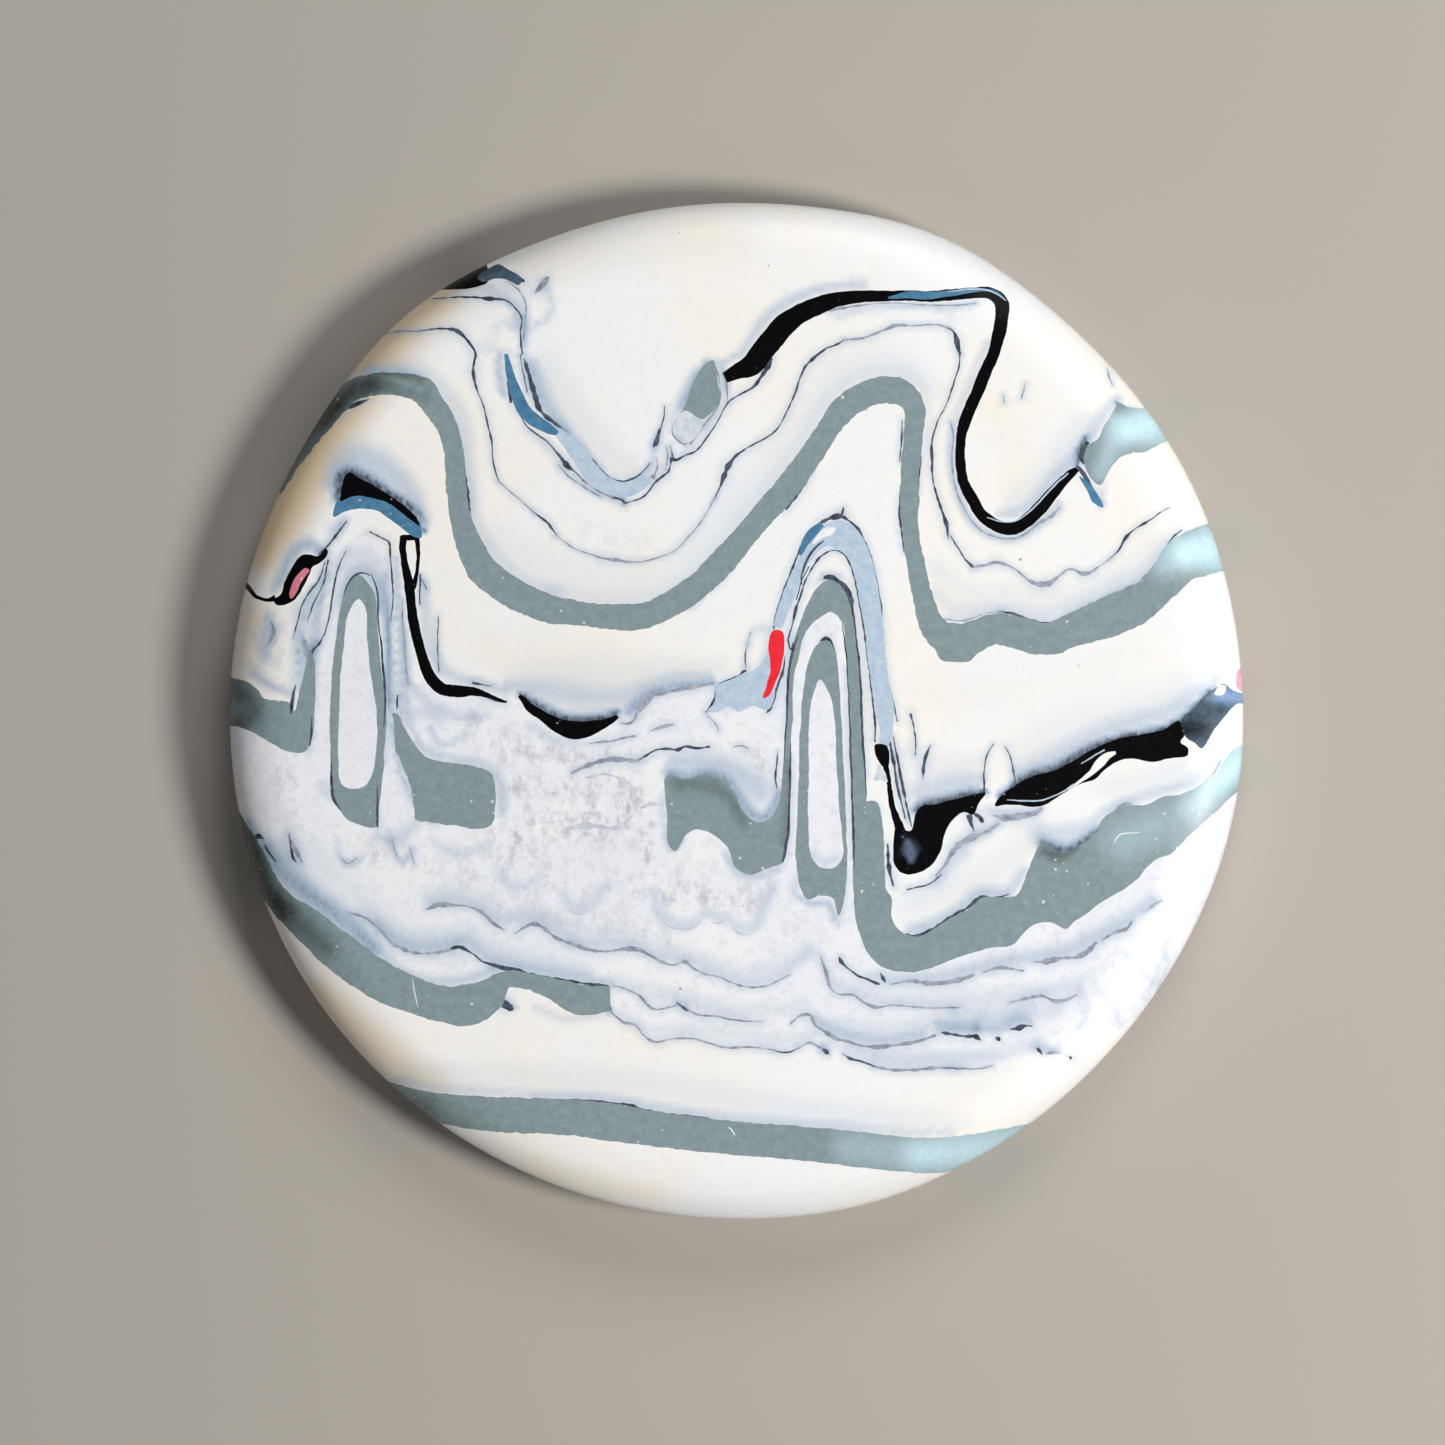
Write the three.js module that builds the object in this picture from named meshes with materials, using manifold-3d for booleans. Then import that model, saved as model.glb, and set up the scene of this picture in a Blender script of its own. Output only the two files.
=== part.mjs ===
// A round marbled coaster, pressed from folded streams of coloured plastic.
//
// Every coloured stream, every chip and every layer of white between them is its own
// solid and runs through the full thickness of the slab. Millimetres, +Z up; the
// coaster lies flat on z = 0 with its centre on the Z axis.

import * as THREE from 'three';
import { mergeVertices } from 'three/addons/utils/BufferGeometryUtils.js';
import Module from 'manifold-3d';

const RADIUS = 50;
const THICKNESS = 9;
const TOP_ROUND = { width: 6, height: 3.8, steps: 4 };
const BOTTOM_ROUND = { width: 2.8, height: 2.6, steps: 2 };
const RIM_SEGMENTS = 60;

// Slow swells and hollows of the hand-finished rim: rise in mm around an angle in degrees.
const RIM_SWELLS = [
  { angle: 67, rise: 0.8, halfWidth: 12 },
  { angle: 130, rise: 0.85, halfWidth: 13 },
  { angle: 212, rise: 0.25, halfWidth: 22 },
  { angle: 284, rise: 0.2, halfWidth: 10 },
  { angle: 322, rise: -0.4, halfWidth: 24 },
  { angle: 8, rise: -0.3, halfWidth: 14 },
];

const GAP = 0.3;          // clearance between neighbouring pieces
const PARTING = 0.3;      // width of the parting between two layers of white
const SAG = 0.13;         // largest distance between a curve and its chords
const STEPS_PER_KNOT = 6; // samples of a curve for each of its knots
const OVERRUN = 1;        // how far a cutting prism stands out above and below the slab

const LOOKS = {
  white: { color: 0xf4f1ea, roughness: 0.5 },
  cloud: { color: 0xe2e2e4, roughness: 0.55 },
  grey: { color: 0x87938f, roughness: 0.5 },
  black: { color: 0x0c1018, roughness: 0.42 },
  slate: { color: 0x3c4d5f, roughness: 0.45 },
  blue: { color: 0x4b7da0, roughness: 0.45 },
  paleBlue: { color: 0xa9c1dc, roughness: 0.5 },
  red: { color: 0xf01e2d, roughness: 0.42 },
  pink: { color: 0xd9788c, roughness: 0.45 },
};

const wasm = await Module();
wasm.setup();

// ---------------------------------------------------------------------------
// Solids

function toSolid(geometry) {
  geometry.deleteAttribute('normal');
  geometry.deleteAttribute('uv');
  const welded = mergeVertices(geometry, 1e-4);
  return new wasm.Manifold(new wasm.Mesh({
    numProp: 3,
    vertProperties: new Float32Array(welded.attributes.position.array),
    triVerts: new Uint32Array(welded.index.array),
  }));
}

function toMesh(solid, name, look) {
  const { vertProperties, triVerts } = solid.getMesh();
  const geometry = new THREE.BufferGeometry();
  geometry.setAttribute('position', new THREE.BufferAttribute(vertProperties, 3));
  geometry.setIndex(new THREE.BufferAttribute(triVerts, 1));
  geometry.computeVertexNormals();
  const mesh = new THREE.Mesh(geometry, new THREE.MeshStandardMaterial({ metalness: 0, ...look }));
  mesh.name = name;
  return mesh;
}

// The biggest body of a solid: a cut can leave crumbs beside it.
function mainBody(solid) {
  const bodies = solid.decompose();
  return bodies.reduce((best, body) => (body.volume() > best.volume() ? body : best));
}

// ---------------------------------------------------------------------------
// The slab

function rimRadius(angle) {
  let radius = RADIUS;
  for (const swell of RIM_SWELLS) {
    const turn = THREE.MathUtils.euclideanModulo(angle - swell.angle + 180, 360) - 180;
    radius += swell.rise * Math.exp(-((turn / swell.halfWidth) ** 2));
  }
  return radius;
}

function slabProfile() {
  const profile = [new THREE.Vector2(0, 0)];
  for (let i = 0; i <= BOTTOM_ROUND.steps; i += 1) {
    const turn = (i / BOTTOM_ROUND.steps) * Math.PI / 2;
    profile.push(new THREE.Vector2(
      RADIUS - BOTTOM_ROUND.width * (1 - Math.sin(turn)),
      BOTTOM_ROUND.height * (1 - Math.cos(turn)),
    ));
  }
  for (let i = 0; i <= TOP_ROUND.steps; i += 1) {
    const turn = (i / TOP_ROUND.steps) * Math.PI / 2;
    profile.push(new THREE.Vector2(
      RADIUS - TOP_ROUND.width * (1 - Math.cos(turn)),
      THICKNESS - TOP_ROUND.height * (1 - Math.sin(turn)),
    ));
  }
  profile.push(new THREE.Vector2(0, THICKNESS));
  return profile;
}

function makeSlab() {
  const lathe = new THREE.LatheGeometry(slabProfile(), RIM_SEGMENTS);
  lathe.rotateX(Math.PI / 2);
  const { position } = lathe.attributes;
  for (let i = 0; i < position.count; i += 1) {
    const x = position.getX(i);
    const y = position.getY(i);
    const scale = rimRadius(THREE.MathUtils.radToDeg(Math.atan2(y, x))) / RADIUS;
    position.setXY(i, x * scale, y * scale);
  }
  return toSolid(lathe);
}

// ---------------------------------------------------------------------------
// Streams: outlines drawn on the face of the slab, [x, y] or [x, y, width] in mm

// The distance of a point from the straight line between two others.
function sagOf(point, start, end) {
  const foot = new THREE.Line3(start, end).closestPointToPoint(point, true, new THREE.Vector3());
  return foot.distanceTo(point);
}

// The points of a path that it needs to keep within the sag, without its last one.
function thin(points) {
  const start = points[0];
  const end = points[points.length - 1];
  let worst = 0;
  let at = 0;
  for (let i = 1; i < points.length - 1; i += 1) {
    const sag = sagOf(points[i], start, end);
    if (sag > worst) {
      worst = sag;
      at = i;
    }
  }
  if (worst < SAG) {
    return [start];
  }
  return [...thin(points.slice(0, at + 1)), ...thin(points.slice(at))];
}

// A smooth curve through the knots, as the fewest straight steps that follow it.
function trace(knots, closed) {
  const curve = new THREE.CatmullRomCurve3(
    knots.map(([x, y, width = 0]) => new THREE.Vector3(x, y, width)),
    closed,
    'centripetal',
  );
  const points = curve.getPoints(STEPS_PER_KNOT * knots.length);
  if (closed) {
    const half = Math.floor(points.length / 2);
    return [...thin(points.slice(0, half + 1)), ...thin(points.slice(half))];
  }
  return [...thin(points), points[points.length - 1]];
}

function flat(point) {
  return new THREE.Vector2(point.x, point.y);
}

function distanceToPath(point, path, closed, margin) {
  let nearest = Infinity;
  const count = closed ? path.length : path.length - 1;
  for (let i = 0; i < count; i += 1) {
    const from = path[i];
    const to = path[(i + 1) % path.length];
    const along = flat(to).sub(flat(from));
    const t = THREE.MathUtils.clamp(
      flat(point).sub(flat(from)).dot(along) / along.lengthSq(), 0, 1,
    );
    const foot = flat(from).addScaledVector(along, t);
    const reach = THREE.MathUtils.lerp(from.z, to.z, t) / 2 + margin;
    nearest = Math.min(nearest, foot.distanceTo(point) - reach);
  }
  return nearest;
}

// The outline of a band along a path whose z is its width, made wider by the margin.
function bandOutline(knots, margin) {
  const path = trace(knots, false);
  const left = [];
  const right = [];
  path.forEach((point, i) => {
    const before = flat(path[Math.max(i - 1, 0)]);
    const after = flat(path[Math.min(i + 1, path.length - 1)]);
    const along = after.sub(before).normalize();
    const across = new THREE.Vector2(-along.y, along.x);
    const reach = point.z / 2 + margin;
    const centre = flat(point);
    if (i === 0) {
      centre.addScaledVector(along, -margin);
    }
    if (i === path.length - 1) {
      centre.addScaledVector(along, margin);
    }
    left.push(centre.clone().addScaledVector(across, reach));
    right.push(centre.clone().addScaledVector(across, -reach));
  });
  const isClear = (point) => distanceToPath(point, path, false, margin) > -0.06;
  return [...left.filter(isClear), ...right.filter(isClear).reverse()];
}

// A closed outline through the knots, pushed outwards by the margin.
function patchOutline(knots, margin) {
  const path = trace(knots, true).map(flat);
  if (THREE.ShapeUtils.isClockWise(path)) {
    path.reverse();
  }
  if (margin === 0) {
    return path;
  }
  const grown = path.map((point, i) => {
    const before = path[(i + path.length - 1) % path.length];
    const after = path[(i + 1) % path.length];
    const along = point.clone().sub(before).normalize();
    const onward = after.clone().sub(point).normalize();
    const outward = new THREE.Vector2(along.y + onward.y, -along.x - onward.x).normalize();
    const lean = Math.max(outward.dot(new THREE.Vector2(along.y, -along.x)), 0.6);
    return point.clone().addScaledVector(outward, margin / lean);
  });
  const rim = path.map((point) => new THREE.Vector3(point.x, point.y, 0));
  return grown.filter((point) => distanceToPath(point, rim, true, margin) > -0.03);
}

function prism(outline) {
  const extrusion = new THREE.ExtrudeGeometry(new THREE.Shape(outline), {
    depth: THICKNESS + 2 * OVERRUN,
    bevelEnabled: false,
  });
  return toSolid(extrusion.translate(0, 0, -OVERRUN));
}

const band = (...knots) => (margin) => prism(bandOutline(knots, margin));
const patch = (...knots) => (margin) => prism(patchOutline(knots, margin));

function join(shapes, margin) {
  return shapes.map((shape) => shape(margin)).reduce((sum, solid) => sum.add(solid));
}

// ---------------------------------------------------------------------------
// The coloured streams and the folded whites between them. An earlier piece
// keeps its full outline, and a later one stops short of it.

const STREAMS = [
  {
    name: 'red_chip',
    look: LOOKS.red,
    shapes: [patch(
      [3.5, 7.9], [4.35, 7.8], [4.55, 6.6], [4.4, 5.2], [4.1, 4], [3.6, 2.6], [3, 1.5],
      [2.5, 1.3], [2.8, 2.4], [3.1, 3.8], [3.1, 5], [2.95, 6.4], [3.1, 7.3],
    )],
  },
  {
    name: 'pink_left_chip',
    look: LOOKS.pink,
    shapes: [patch(
      [-44, 11.3], [-43.8, 12.3], [-43, 13.5], [-42.4, 14], [-42, 13.8], [-42.7, 12.8],
      [-43.3, 11.6], [-43.8, 11],
    )],
  },
  {
    name: 'pink_rim_chip',
    look: LOOKS.pink,
    shapes: [patch([48.9, 2.4], [48.9, 4.3], [51, 5.2], [51, 1.8])],
  },
  {
    name: 'slate_vein_tip',
    look: LOOKS.slate,
    shapes: [patch(
      [43.5, -0.9], [44.5, 0.1], [45.8, 1.5], [46.8, 2.2], [47.6, 2.7], [48.6, 2], [51, 1.4],
      [51, 0.6], [49.1, 0.7], [47.9, -0.4], [46.8, -1.7], [45.4, -3.7], [44.7, -3.1], [43.9, -2.6],
    )],
  },
  {
    name: 'black_right_vein',
    look: LOOKS.black,
    shapes: [patch(
      [25.2, -9.3], [25.9, -8.2], [27.5, -7.1], [29.3, -6.3], [30.9, -5.9], [32.5, -5],
      [34.4, -3.9], [36.2, -3.1], [38, -2.55], [40.1, -2.2], [41.7, -1.9], [43.3, -1.05],
      [43.9, -2.2], [44.1, -4.4], [42.4, -4.6], [40.6, -5], [38.5, -4.7], [37.1, -5],
      [36.2, -5.6], [35, -6.7], [33.4, -7.25], [31.8, -8.2], [30.2, -9.1], [28.9, -9.4],
      [27.5, -9.2], [26.1, -9.2],
    )],
  },
  {
    name: 'black_right_hook',
    look: LOOKS.black,
    shapes: [
      patch([13.45, -3.3], [14.6, -3.4], [14.7, -5.6], [14.2, -5.5], [13.6, -4.6]),
      band([14.35, -4.8, 0.5], [14.9, -7.3, 0.5], [15.2, -9.5, 0.6], [16, -12, 1]),
      patch(
        [15.5, -11.4], [15.3, -13.7], [15.5, -15.3], [16.4, -16], [17.5, -15.9], [19, -15.1],
        [19.9, -13.7], [20.2, -12.1], [21, -10.7], [22.2, -10], [23.1, -10.2], [23.6, -9.1],
        [24.3, -8], [22.9, -8.2], [21.3, -8.7], [19.4, -9.1], [18.1, -9.3], [17.4, -10.2],
        [16.9, -11.8],
      ),
    ],
  },
  {
    name: 'black_upper_vein',
    look: LOOKS.black,
    shapes: [band(
      [-1.3, 32.7, 1], [0, 33.3, 1.5], [1.3, 33.9, 2.1], [2.2, 35, 2.2], [3.3, 36.4, 2.3],
      [4.5, 37.8, 2.2], [6, 38.9, 1.9], [8, 39.8, 1.7], [10.5, 40.5, 1.3], [14, 40.7, 1.1],
      [19.5, 40.7, 1.1], [22.8, 41, 1.1], [24.7, 41, 1.2], [25.8, 40.2, 1.4], [25.9, 38.7, 1.3],
      [25.6, 37, 1.3], [25, 35, 1.1], [24.2, 33, 1.2], [23.3, 31, 1.2], [22.5, 29, 1.2],
      [21.9, 27, 1], [21.8, 25, 1], [22, 23, 1], [22.7, 21.2, 1.1], [23.9, 19.2, 1.2],
      [25.3, 18.2, 1.2], [26.8, 17.9, 1.3], [28.4, 18.7, 1.4], [29.9, 20.2, 1.3],
      [31.2, 21.8, 1.1], [32.6, 23.2, 0.9], [33.3, 23.7, 0.5],
    )],
  },
  {
    name: 'blue_tail_wedge',
    look: LOOKS.blue,
    shapes: [patch([33.5, 23], [34.3, 21.5], [34.8, 20.5], [35.9, 20], [35.5, 21], [34.6, 22.2])],
  },
  {
    name: 'dark_blue_valley_streak',
    look: LOOKS.blue,
    shapes: [band(
      [-22.7, 35, 0.4], [-22.4, 33, 0.8], [-21.7, 31, 1.1], [-20.8, 29.3, 1.3],
      [-19.5, 28.2, 1.2], [-18.5, 27.6, 0.9], [-17.7, 27.2, 0.4],
    )],
  },
  {
    name: 'pale_valley_ribbon',
    look: LOOKS.paleBlue,
    shapes: [band(
      [-17.6, 27.4, 0.9], [-16, 25.6, 1.5], [-14.5, 23.6, 1.7], [-13, 22.3, 1.6],
      [-11.3, 21.7, 1.5], [-10, 22, 1.4], [-8.7, 23, 1.2],
    )],
  },
  {
    name: 'slate_rim_chip',
    look: LOOKS.slate,
    shapes: [patch(
      [-25.5, 42.6], [-24.5, 43.4], [-23.5, 43.8], [-22.5, 43.2], [-21, 42.3], [-21.5, 41.2],
      [-22.3, 41.6], [-23.5, 42.3], [-25, 42.2],
    )],
  },
  {
    name: 'black_rim_wedge',
    look: LOOKS.black,
    shapes: [patch(
      [-30.5, 41.6], [-29, 41.5], [-27, 41.4], [-25.5, 41.7], [-24.5, 42.3], [-25, 44.5],
      [-27, 46], [-31, 44],
    )],
  },
  {
    name: 'grey_leaf',
    look: LOOKS.grey,
    shapes: [patch(
      [-2.4, 34.4], [-2.2, 33.6], [-1.9, 32], [-1.7, 30.6], [-2.4, 29.5], [-3.3, 28.6],
      [-5.1, 26.1], [-6.5, 27.2], [-6.3, 28.1], [-5.1, 30], [-4.5, 32], [-3.3, 33.9],
    )],
  },
  {
    name: 'grey_rim_fan',
    look: LOOKS.grey,
    shapes: [patch(
      [34.4, 26.1], [33.9, 25.1], [34, 24], [34.8, 22.6], [35.6, 22.2], [36.2, 23.3],
      [37.3, 24.7], [38.7, 25.3], [40.1, 25.5], [41.7, 26.3], [45, 27.8], [43, 32.5],
      [40.5, 30], [38.5, 29.8], [37.3, 30.3], [36.9, 29.5], [36, 28.1], [35.3, 26.7],
    )],
  },
  {
    name: 'black_left_rim_vein',
    look: LOOKS.black,
    shapes: [
      band([-50.5, 14.5, 0.6], [-48.3, 12.3, 0.6], [-47.3, 11.2, 0.6], [-46.3, 10.9, 0.7],
        [-45, 11.3, 1]),
      patch(
        [-45.6, 11.2], [-44.8, 12.3], [-44.2, 14], [-43, 15.7], [-42.3, 15.8], [-41, 15.2],
        [-40.7, 14.8], [-41.3, 14.3], [-42, 13], [-43, 11.5], [-44.2, 10.3], [-45.4, 10.4],
      ),
    ],
  },
  {
    name: 'black_crescent',
    look: LOOKS.black,
    shapes: [patch(
      [-39, 20.6], [-38.3, 23.4], [-37, 22.8], [-35.5, 22], [-34, 21], [-32.5, 20],
      [-31.5, 19], [-31.2, 18.2], [-33, 19.4], [-34, 20.2], [-35.5, 20.8], [-37, 21.1], [-38, 21],
    )],
  },
  {
    name: 'blue_crescent',
    look: LOOKS.blue,
    shapes: [patch(
      [-39.7, 19], [-39.2, 20.8], [-38, 21.5], [-35.5, 21.3], [-34, 20.7], [-32.5, 19.6],
      [-31.2, 18.4], [-31.1, 17], [-32, 17.2], [-33.8, 18.6], [-34.8, 19.3], [-36, 19.8],
      [-37.5, 19.8], [-38.5, 19.6],
    )],
  },
  {
    name: 'black_left_leg',
    look: LOOKS.black,
    shapes: [band(
      [-32.3, 17.3, 1.2], [-32.5, 14.5, 0.9], [-32.2, 12, 1], [-32, 10, 0.9], [-31.7, 8, 1],
      [-31.2, 6, 1], [-30.6, 4.3, 1.1], [-29.9, 3, 1.2], [-29, 2.2, 1.2], [-27.5, 1.9, 1.1],
      [-26, 1.9, 0.8], [-24, 1.3, 0.6], [-22.7, 0.8, 0.4],
    )],
  },
  {
    name: 'black_centre_lens',
    look: LOOKS.black,
    shapes: [band(
      [-21.5, 1.5, 0.4], [-20.3, 0.3, 0.9], [-19, -0.6, 1], [-17.5, -1.5, 1.5],
      [-16, -1.9, 1.8], [-14.5, -1.7, 1.4], [-13, -1.2, 0.8], [-11.8, -0.5, 0.4],
    )],
  },
  {
    name: 'pale_blue_arch',
    look: LOOKS.paleBlue,
    shapes: [band(
      [3.9, 8.2, 0.9], [4.7, 10.5, 1.2], [5.5, 12.8, 1.2], [6.6, 15, 1.2], [8.2, 17, 1.9],
      [9.8, 17.3, 2.8], [11.3, 16.2, 2.4], [12.3, 14, 2], [12.9, 11, 2], [13.4, 8, 1.9],
      [13.6, 5, 1.8], [14, 2.5, 1.8], [14.4, 0, 1.8], [14.5, -2, 1.2], [14.3, -3.2, 0.9],
    )],
  },
  {
    name: 'white_foot_lobe',
    look: LOOKS.white,
    shapes: [patch(
      [0.9, 3.7], [0.8, 5], [1, 6.8], [1.7, 8.2], [2.8, 8.2], [3.1, 7], [2.6, 5.3], [1.8, 4.2],
    )],
  },
  {
    name: 'pale_blue_foot',
    look: LOOKS.paleBlue,
    shapes: [patch(
      [-3.1, -0.1], [-2.2, 1], [-2.2, 2.4], [-1, 3], [0.4, 3.65], [1.5, 4.2], [2.4, 5.4],
      [3, 6.3], [3.4, 4], [3.6, 1.5], [2.9, 0.1], [1.5, 0.5], [0.1, -0.1], [-1, 0.5], [-1.9, -0.1],
    )],
  },
  {
    name: 'white_left_core',
    look: LOOKS.cloud,
    shapes: [patch(
      [-37.2, 11], [-38.05, 10], [-38.6, 7.5], [-38.9, 4], [-39.05, 0], [-39.2, -5],
      [-39, -7], [-38, -7.6], [-36.5, -7.3], [-35.8, -6], [-35.45, -3], [-35.5, 0],
      [-36.1, 4], [-36.4, 7], [-36.55, 10],
    )],
  },
  {
    name: 'grey_left_fold',
    look: LOOKS.grey,
    shapes: [patch(
      [-37.4, 13.4], [-38.4, 12.2], [-39, 10], [-39.6, 6], [-39.95, 0], [-40, -5],
      [-39.8, -7.8], [-39.3, -9.2], [-38.5, -10.5], [-37.3, -11.1], [-35.4, -11.3],
      [-35.2, -9], [-34.8, -6], [-34.7, -4], [-34.5, 0], [-35, 4], [-35.3, 7], [-35.4, 10],
      [-35.9, 12],
    )],
  },
  {
    name: 'grey_left_rim_patch',
    look: LOOKS.grey,
    shapes: [patch(
      [-51.5, 3.2], [-49.3, 3.2], [-48, 2.8], [-47, 2], [-46.5, 1.2], [-45, 1], [-44, 0.8],
      [-43.5, 0], [-43, 2], [-42.5, 4], [-42, 6], [-41.6, 5], [-41.5, 0], [-41.7, -2],
      [-42.5, -4], [-44, -4], [-45.5, -3.3], [-47.5, -2.2], [-48.7, -1.7], [-51.5, -0.9],
    )],
  },
  {
    name: 'grey_left_centre_patch',
    look: LOOKS.grey,
    shapes: [patch(
      [-33.7, 0], [-33.6, -1], [-33.3, -3], [-33, -5], [-32.3, -7], [-31.5, -9], [-30.5, -10],
      [-29.5, -11], [-28, -11], [-26, -11.3], [-24.5, -11.2], [-23.8, -10], [-23.6, -8.5],
      [-24, -7], [-25, -6], [-26.5, -5.5], [-29, -5], [-30.5, -4.8], [-31.5, -3.5],
      [-32.5, -2], [-33.2, 0],
    )],
  },
  {
    name: 'white_left_arch',
    look: LOOKS.cloud,
    shapes: [patch(
      [-36.4, 17.6], [-38.3, 16.4], [-39.4, 14.5], [-40, 10], [-40.8, 7], [-41.3, 3],
      [-41.3, -1], [-41.5, -4.5], [-41, -8], [-39.8, -10.6], [-37.5, -12], [-35, -12.2],
      [-34.3, -9.5], [-34, -6], [-33.9, -2], [-33.9, 2], [-34.1, 6], [-34.2, 11], [-34.5, 15],
    )],
  },
  {
    name: 'white_right_core',
    look: LOOKS.cloud,
    shapes: [patch(
      [8, 3.1], [7.3, 1.5], [7, -0.5], [6.95, -5], [6.9, -10], [7.1, -14], [8, -15.3],
      [9.5, -15.4], [10.3, -14], [9.95, -10], [9.65, -5], [9.4, -0.5], [8.9, 1.8],
    )],
  },
  {
    name: 'grey_inner_fold',
    look: LOOKS.grey,
    shapes: [patch(
      [8.6, 7.1], [7.6, 6.3], [6.8, 4.5], [6.2, 0], [6, -5], [5.8, -10], [5.65, -14],
      [6.1, -17.4], [6.8, -18.5], [7.9, -18.1], [9.3, -18.3], [9.8, -20.1], [10.35, -18.8],
      [10.7, -16], [10.65, -12], [10.5, -8], [10.3, -4], [10.05, 0], [9.85, 4], [9.4, 6.3],
    )],
  },
  {
    name: 'white_right_ring',
    look: LOOKS.cloud,
    shapes: [patch(
      [9.1, 9.7], [7.8, 9], [6.6, 7.5], [5.9, 5], [5.45, 3], [5.35, 0], [5.2, -4], [5.05, -8],
      [4.9, -12], [4.9, -15.5], [5.5, -18.3], [7, -19.4], [9, -19.4], [9.8, -20.9],
      [11.2, -19.5], [11.15, -15], [11.15, -10], [11.1, -4], [10.85, 0], [10.75, 3],
      [10.6, 6], [10.2, 8.7],
    )],
  },
  {
    name: 'grey_right_stream',
    look: LOOKS.grey,
    shapes: [
      // the outer fold, over the white ring
      patch(
        [9.1, 13], [7.6, 11.8], [6.6, 10], [5.7, 7.5], [5.2, 5], [4.95, 3], [4.85, 0],
        [4.6, -4], [4.3, -8], [4.4, -12], [12, -12], [12.6, -8], [12.35, -4], [12.15, 0],
        [12.05, 3], [11.8, 6], [11.5, 9], [10.8, 11.6],
      ),
      // the patch at the centre that its left leg grows from
      patch(
        [-7, -6.3], [-5.1, -6.7], [-3.1, -6.3], [-1.5, -6.8], [-0.3, -8.2], [0.8, -10.2],
        [2, -10.9], [3.1, -10.5], [4, -8.9], [4.3, -6.8], [4.6, -4.5], [5, -7.3], [5, -10.7],
        [4.7, -14.1], [4.4, -14.8], [2.7, -15.5], [1, -16], [-0.3, -15.3], [-1, -13.5],
        [-2.4, -12.1], [-4.2, -11.6], [-5.1, -12.1], [-6.1, -13.7], [-6.75, -13.2], [-7, -9.5],
      ),
      // the broad band its right leg runs into
      patch(
        [11.3, -10.7], [11.3, -15.3], [11.4, -19.4], [11.8, -21.5], [12.5, -23.3],
        [13.7, -24.7], [15, -25.4], [17, -25.6], [19, -25.1], [20.6, -24.5], [22.9, -23.8],
        [25.2, -23.2], [27, -22.9], [27.9, -22], [28.9, -21], [30.7, -20.8], [32.1, -21.4],
        [33, -20.7], [34.1, -20], [35.3, -19], [36.7, -18.1], [38, -17.4], [39.2, -16.5],
        [39.9, -15.5], [41.3, -14.4], [42.4, -14.1], [44.2, -12.3], [45.8, -10.9],
        [47.5, -9.3], [50.5, -6.5], [50.8, -3.4], [48.6, -3.8], [47.5, -5.2], [46.3, -6.6],
        [44.9, -7.5], [43.3, -8.2], [41.7, -8.4], [40.3, -9.1], [38.5, -9.3], [36.7, -9.9],
        [35.7, -10.7], [35.3, -11.8], [34.1, -12.8], [32.1, -13.9], [30.9, -13.5],
        [29.8, -13], [29.1, -14.1], [28.5, -15.5], [27.9, -17.1], [27.2, -18.1],
        [25.6, -18.3], [24, -18.3], [22.7, -19.3], [21.3, -20.1], [19.4, -21.2],
        [17.6, -22.1], [16, -21.7], [15.1, -20.4], [15.1, -18.3], [14.6, -17.6],
        [14.4, -14.1], [14.2, -11.4], [13.6, -8.9], [12.4, -9],
      ),
    ],
  },
  {
    name: 'grey_upper_band',
    look: LOOKS.grey,
    shapes: [band(
      [-46.5, 22.5, 4], [-44.6, 25.2, 3.7], [-42.5, 27.6, 3.4], [-40, 30, 3], [-38, 31.4, 2.3],
      [-35.5, 32.1, 2.2], [-33, 32, 2.3], [-31, 31.4, 2.6], [-29.7, 29.8, 2.3],
      [-28.6, 28, 2.1], [-28, 26, 1.9], [-27.7, 23, 2], [-27.4, 20, 1.9], [-26.8, 17.6, 2.3],
      [-26, 15.5, 2.7], [-25, 13.8, 3], [-23.2, 12.3, 3], [-21, 11, 3], [-18, 9.9, 2.7],
      [-15, 9.5, 2.3], [-12, 9.2, 2.5], [-9, 9.4, 2.6], [-6.5, 10.6, 2.6], [-4, 12.2, 2.5],
      [-1.8, 14.3, 2.6], [0, 16.3, 2.4], [1.8, 18.5, 2.3], [4, 21, 2.4], [6, 23.4, 2.4],
      [8, 26.4, 2.2], [9.8, 29, 2.4], [12, 30.8, 2.5], [14.5, 31.5, 2.8], [16.3, 31.1, 2.4],
      [17.3, 29.8, 2.1], [17.2, 27, 1.9], [16.9, 24, 1.8], [16.8, 21, 1.8], [16.9, 18, 1.7],
      [17.4, 14.5, 1.8], [18.2, 11, 2], [19, 8.4, 2.5], [20.6, 7, 3], [23, 7.3, 3.1],
      [25.3, 8.1, 3], [28, 7.5, 3.2], [30.5, 7.1, 3.2], [33.5, 8.2, 3.4], [36.5, 9.3, 4],
      [39.5, 10.6, 3.6], [41.8, 12.7, 3.4], [44, 15, 4.5], [47.5, 16.3, 5], [51, 17.2, 5],
    )],
  },
  {
    name: 'grey_lower_left_band',
    look: LOOKS.grey,
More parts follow.
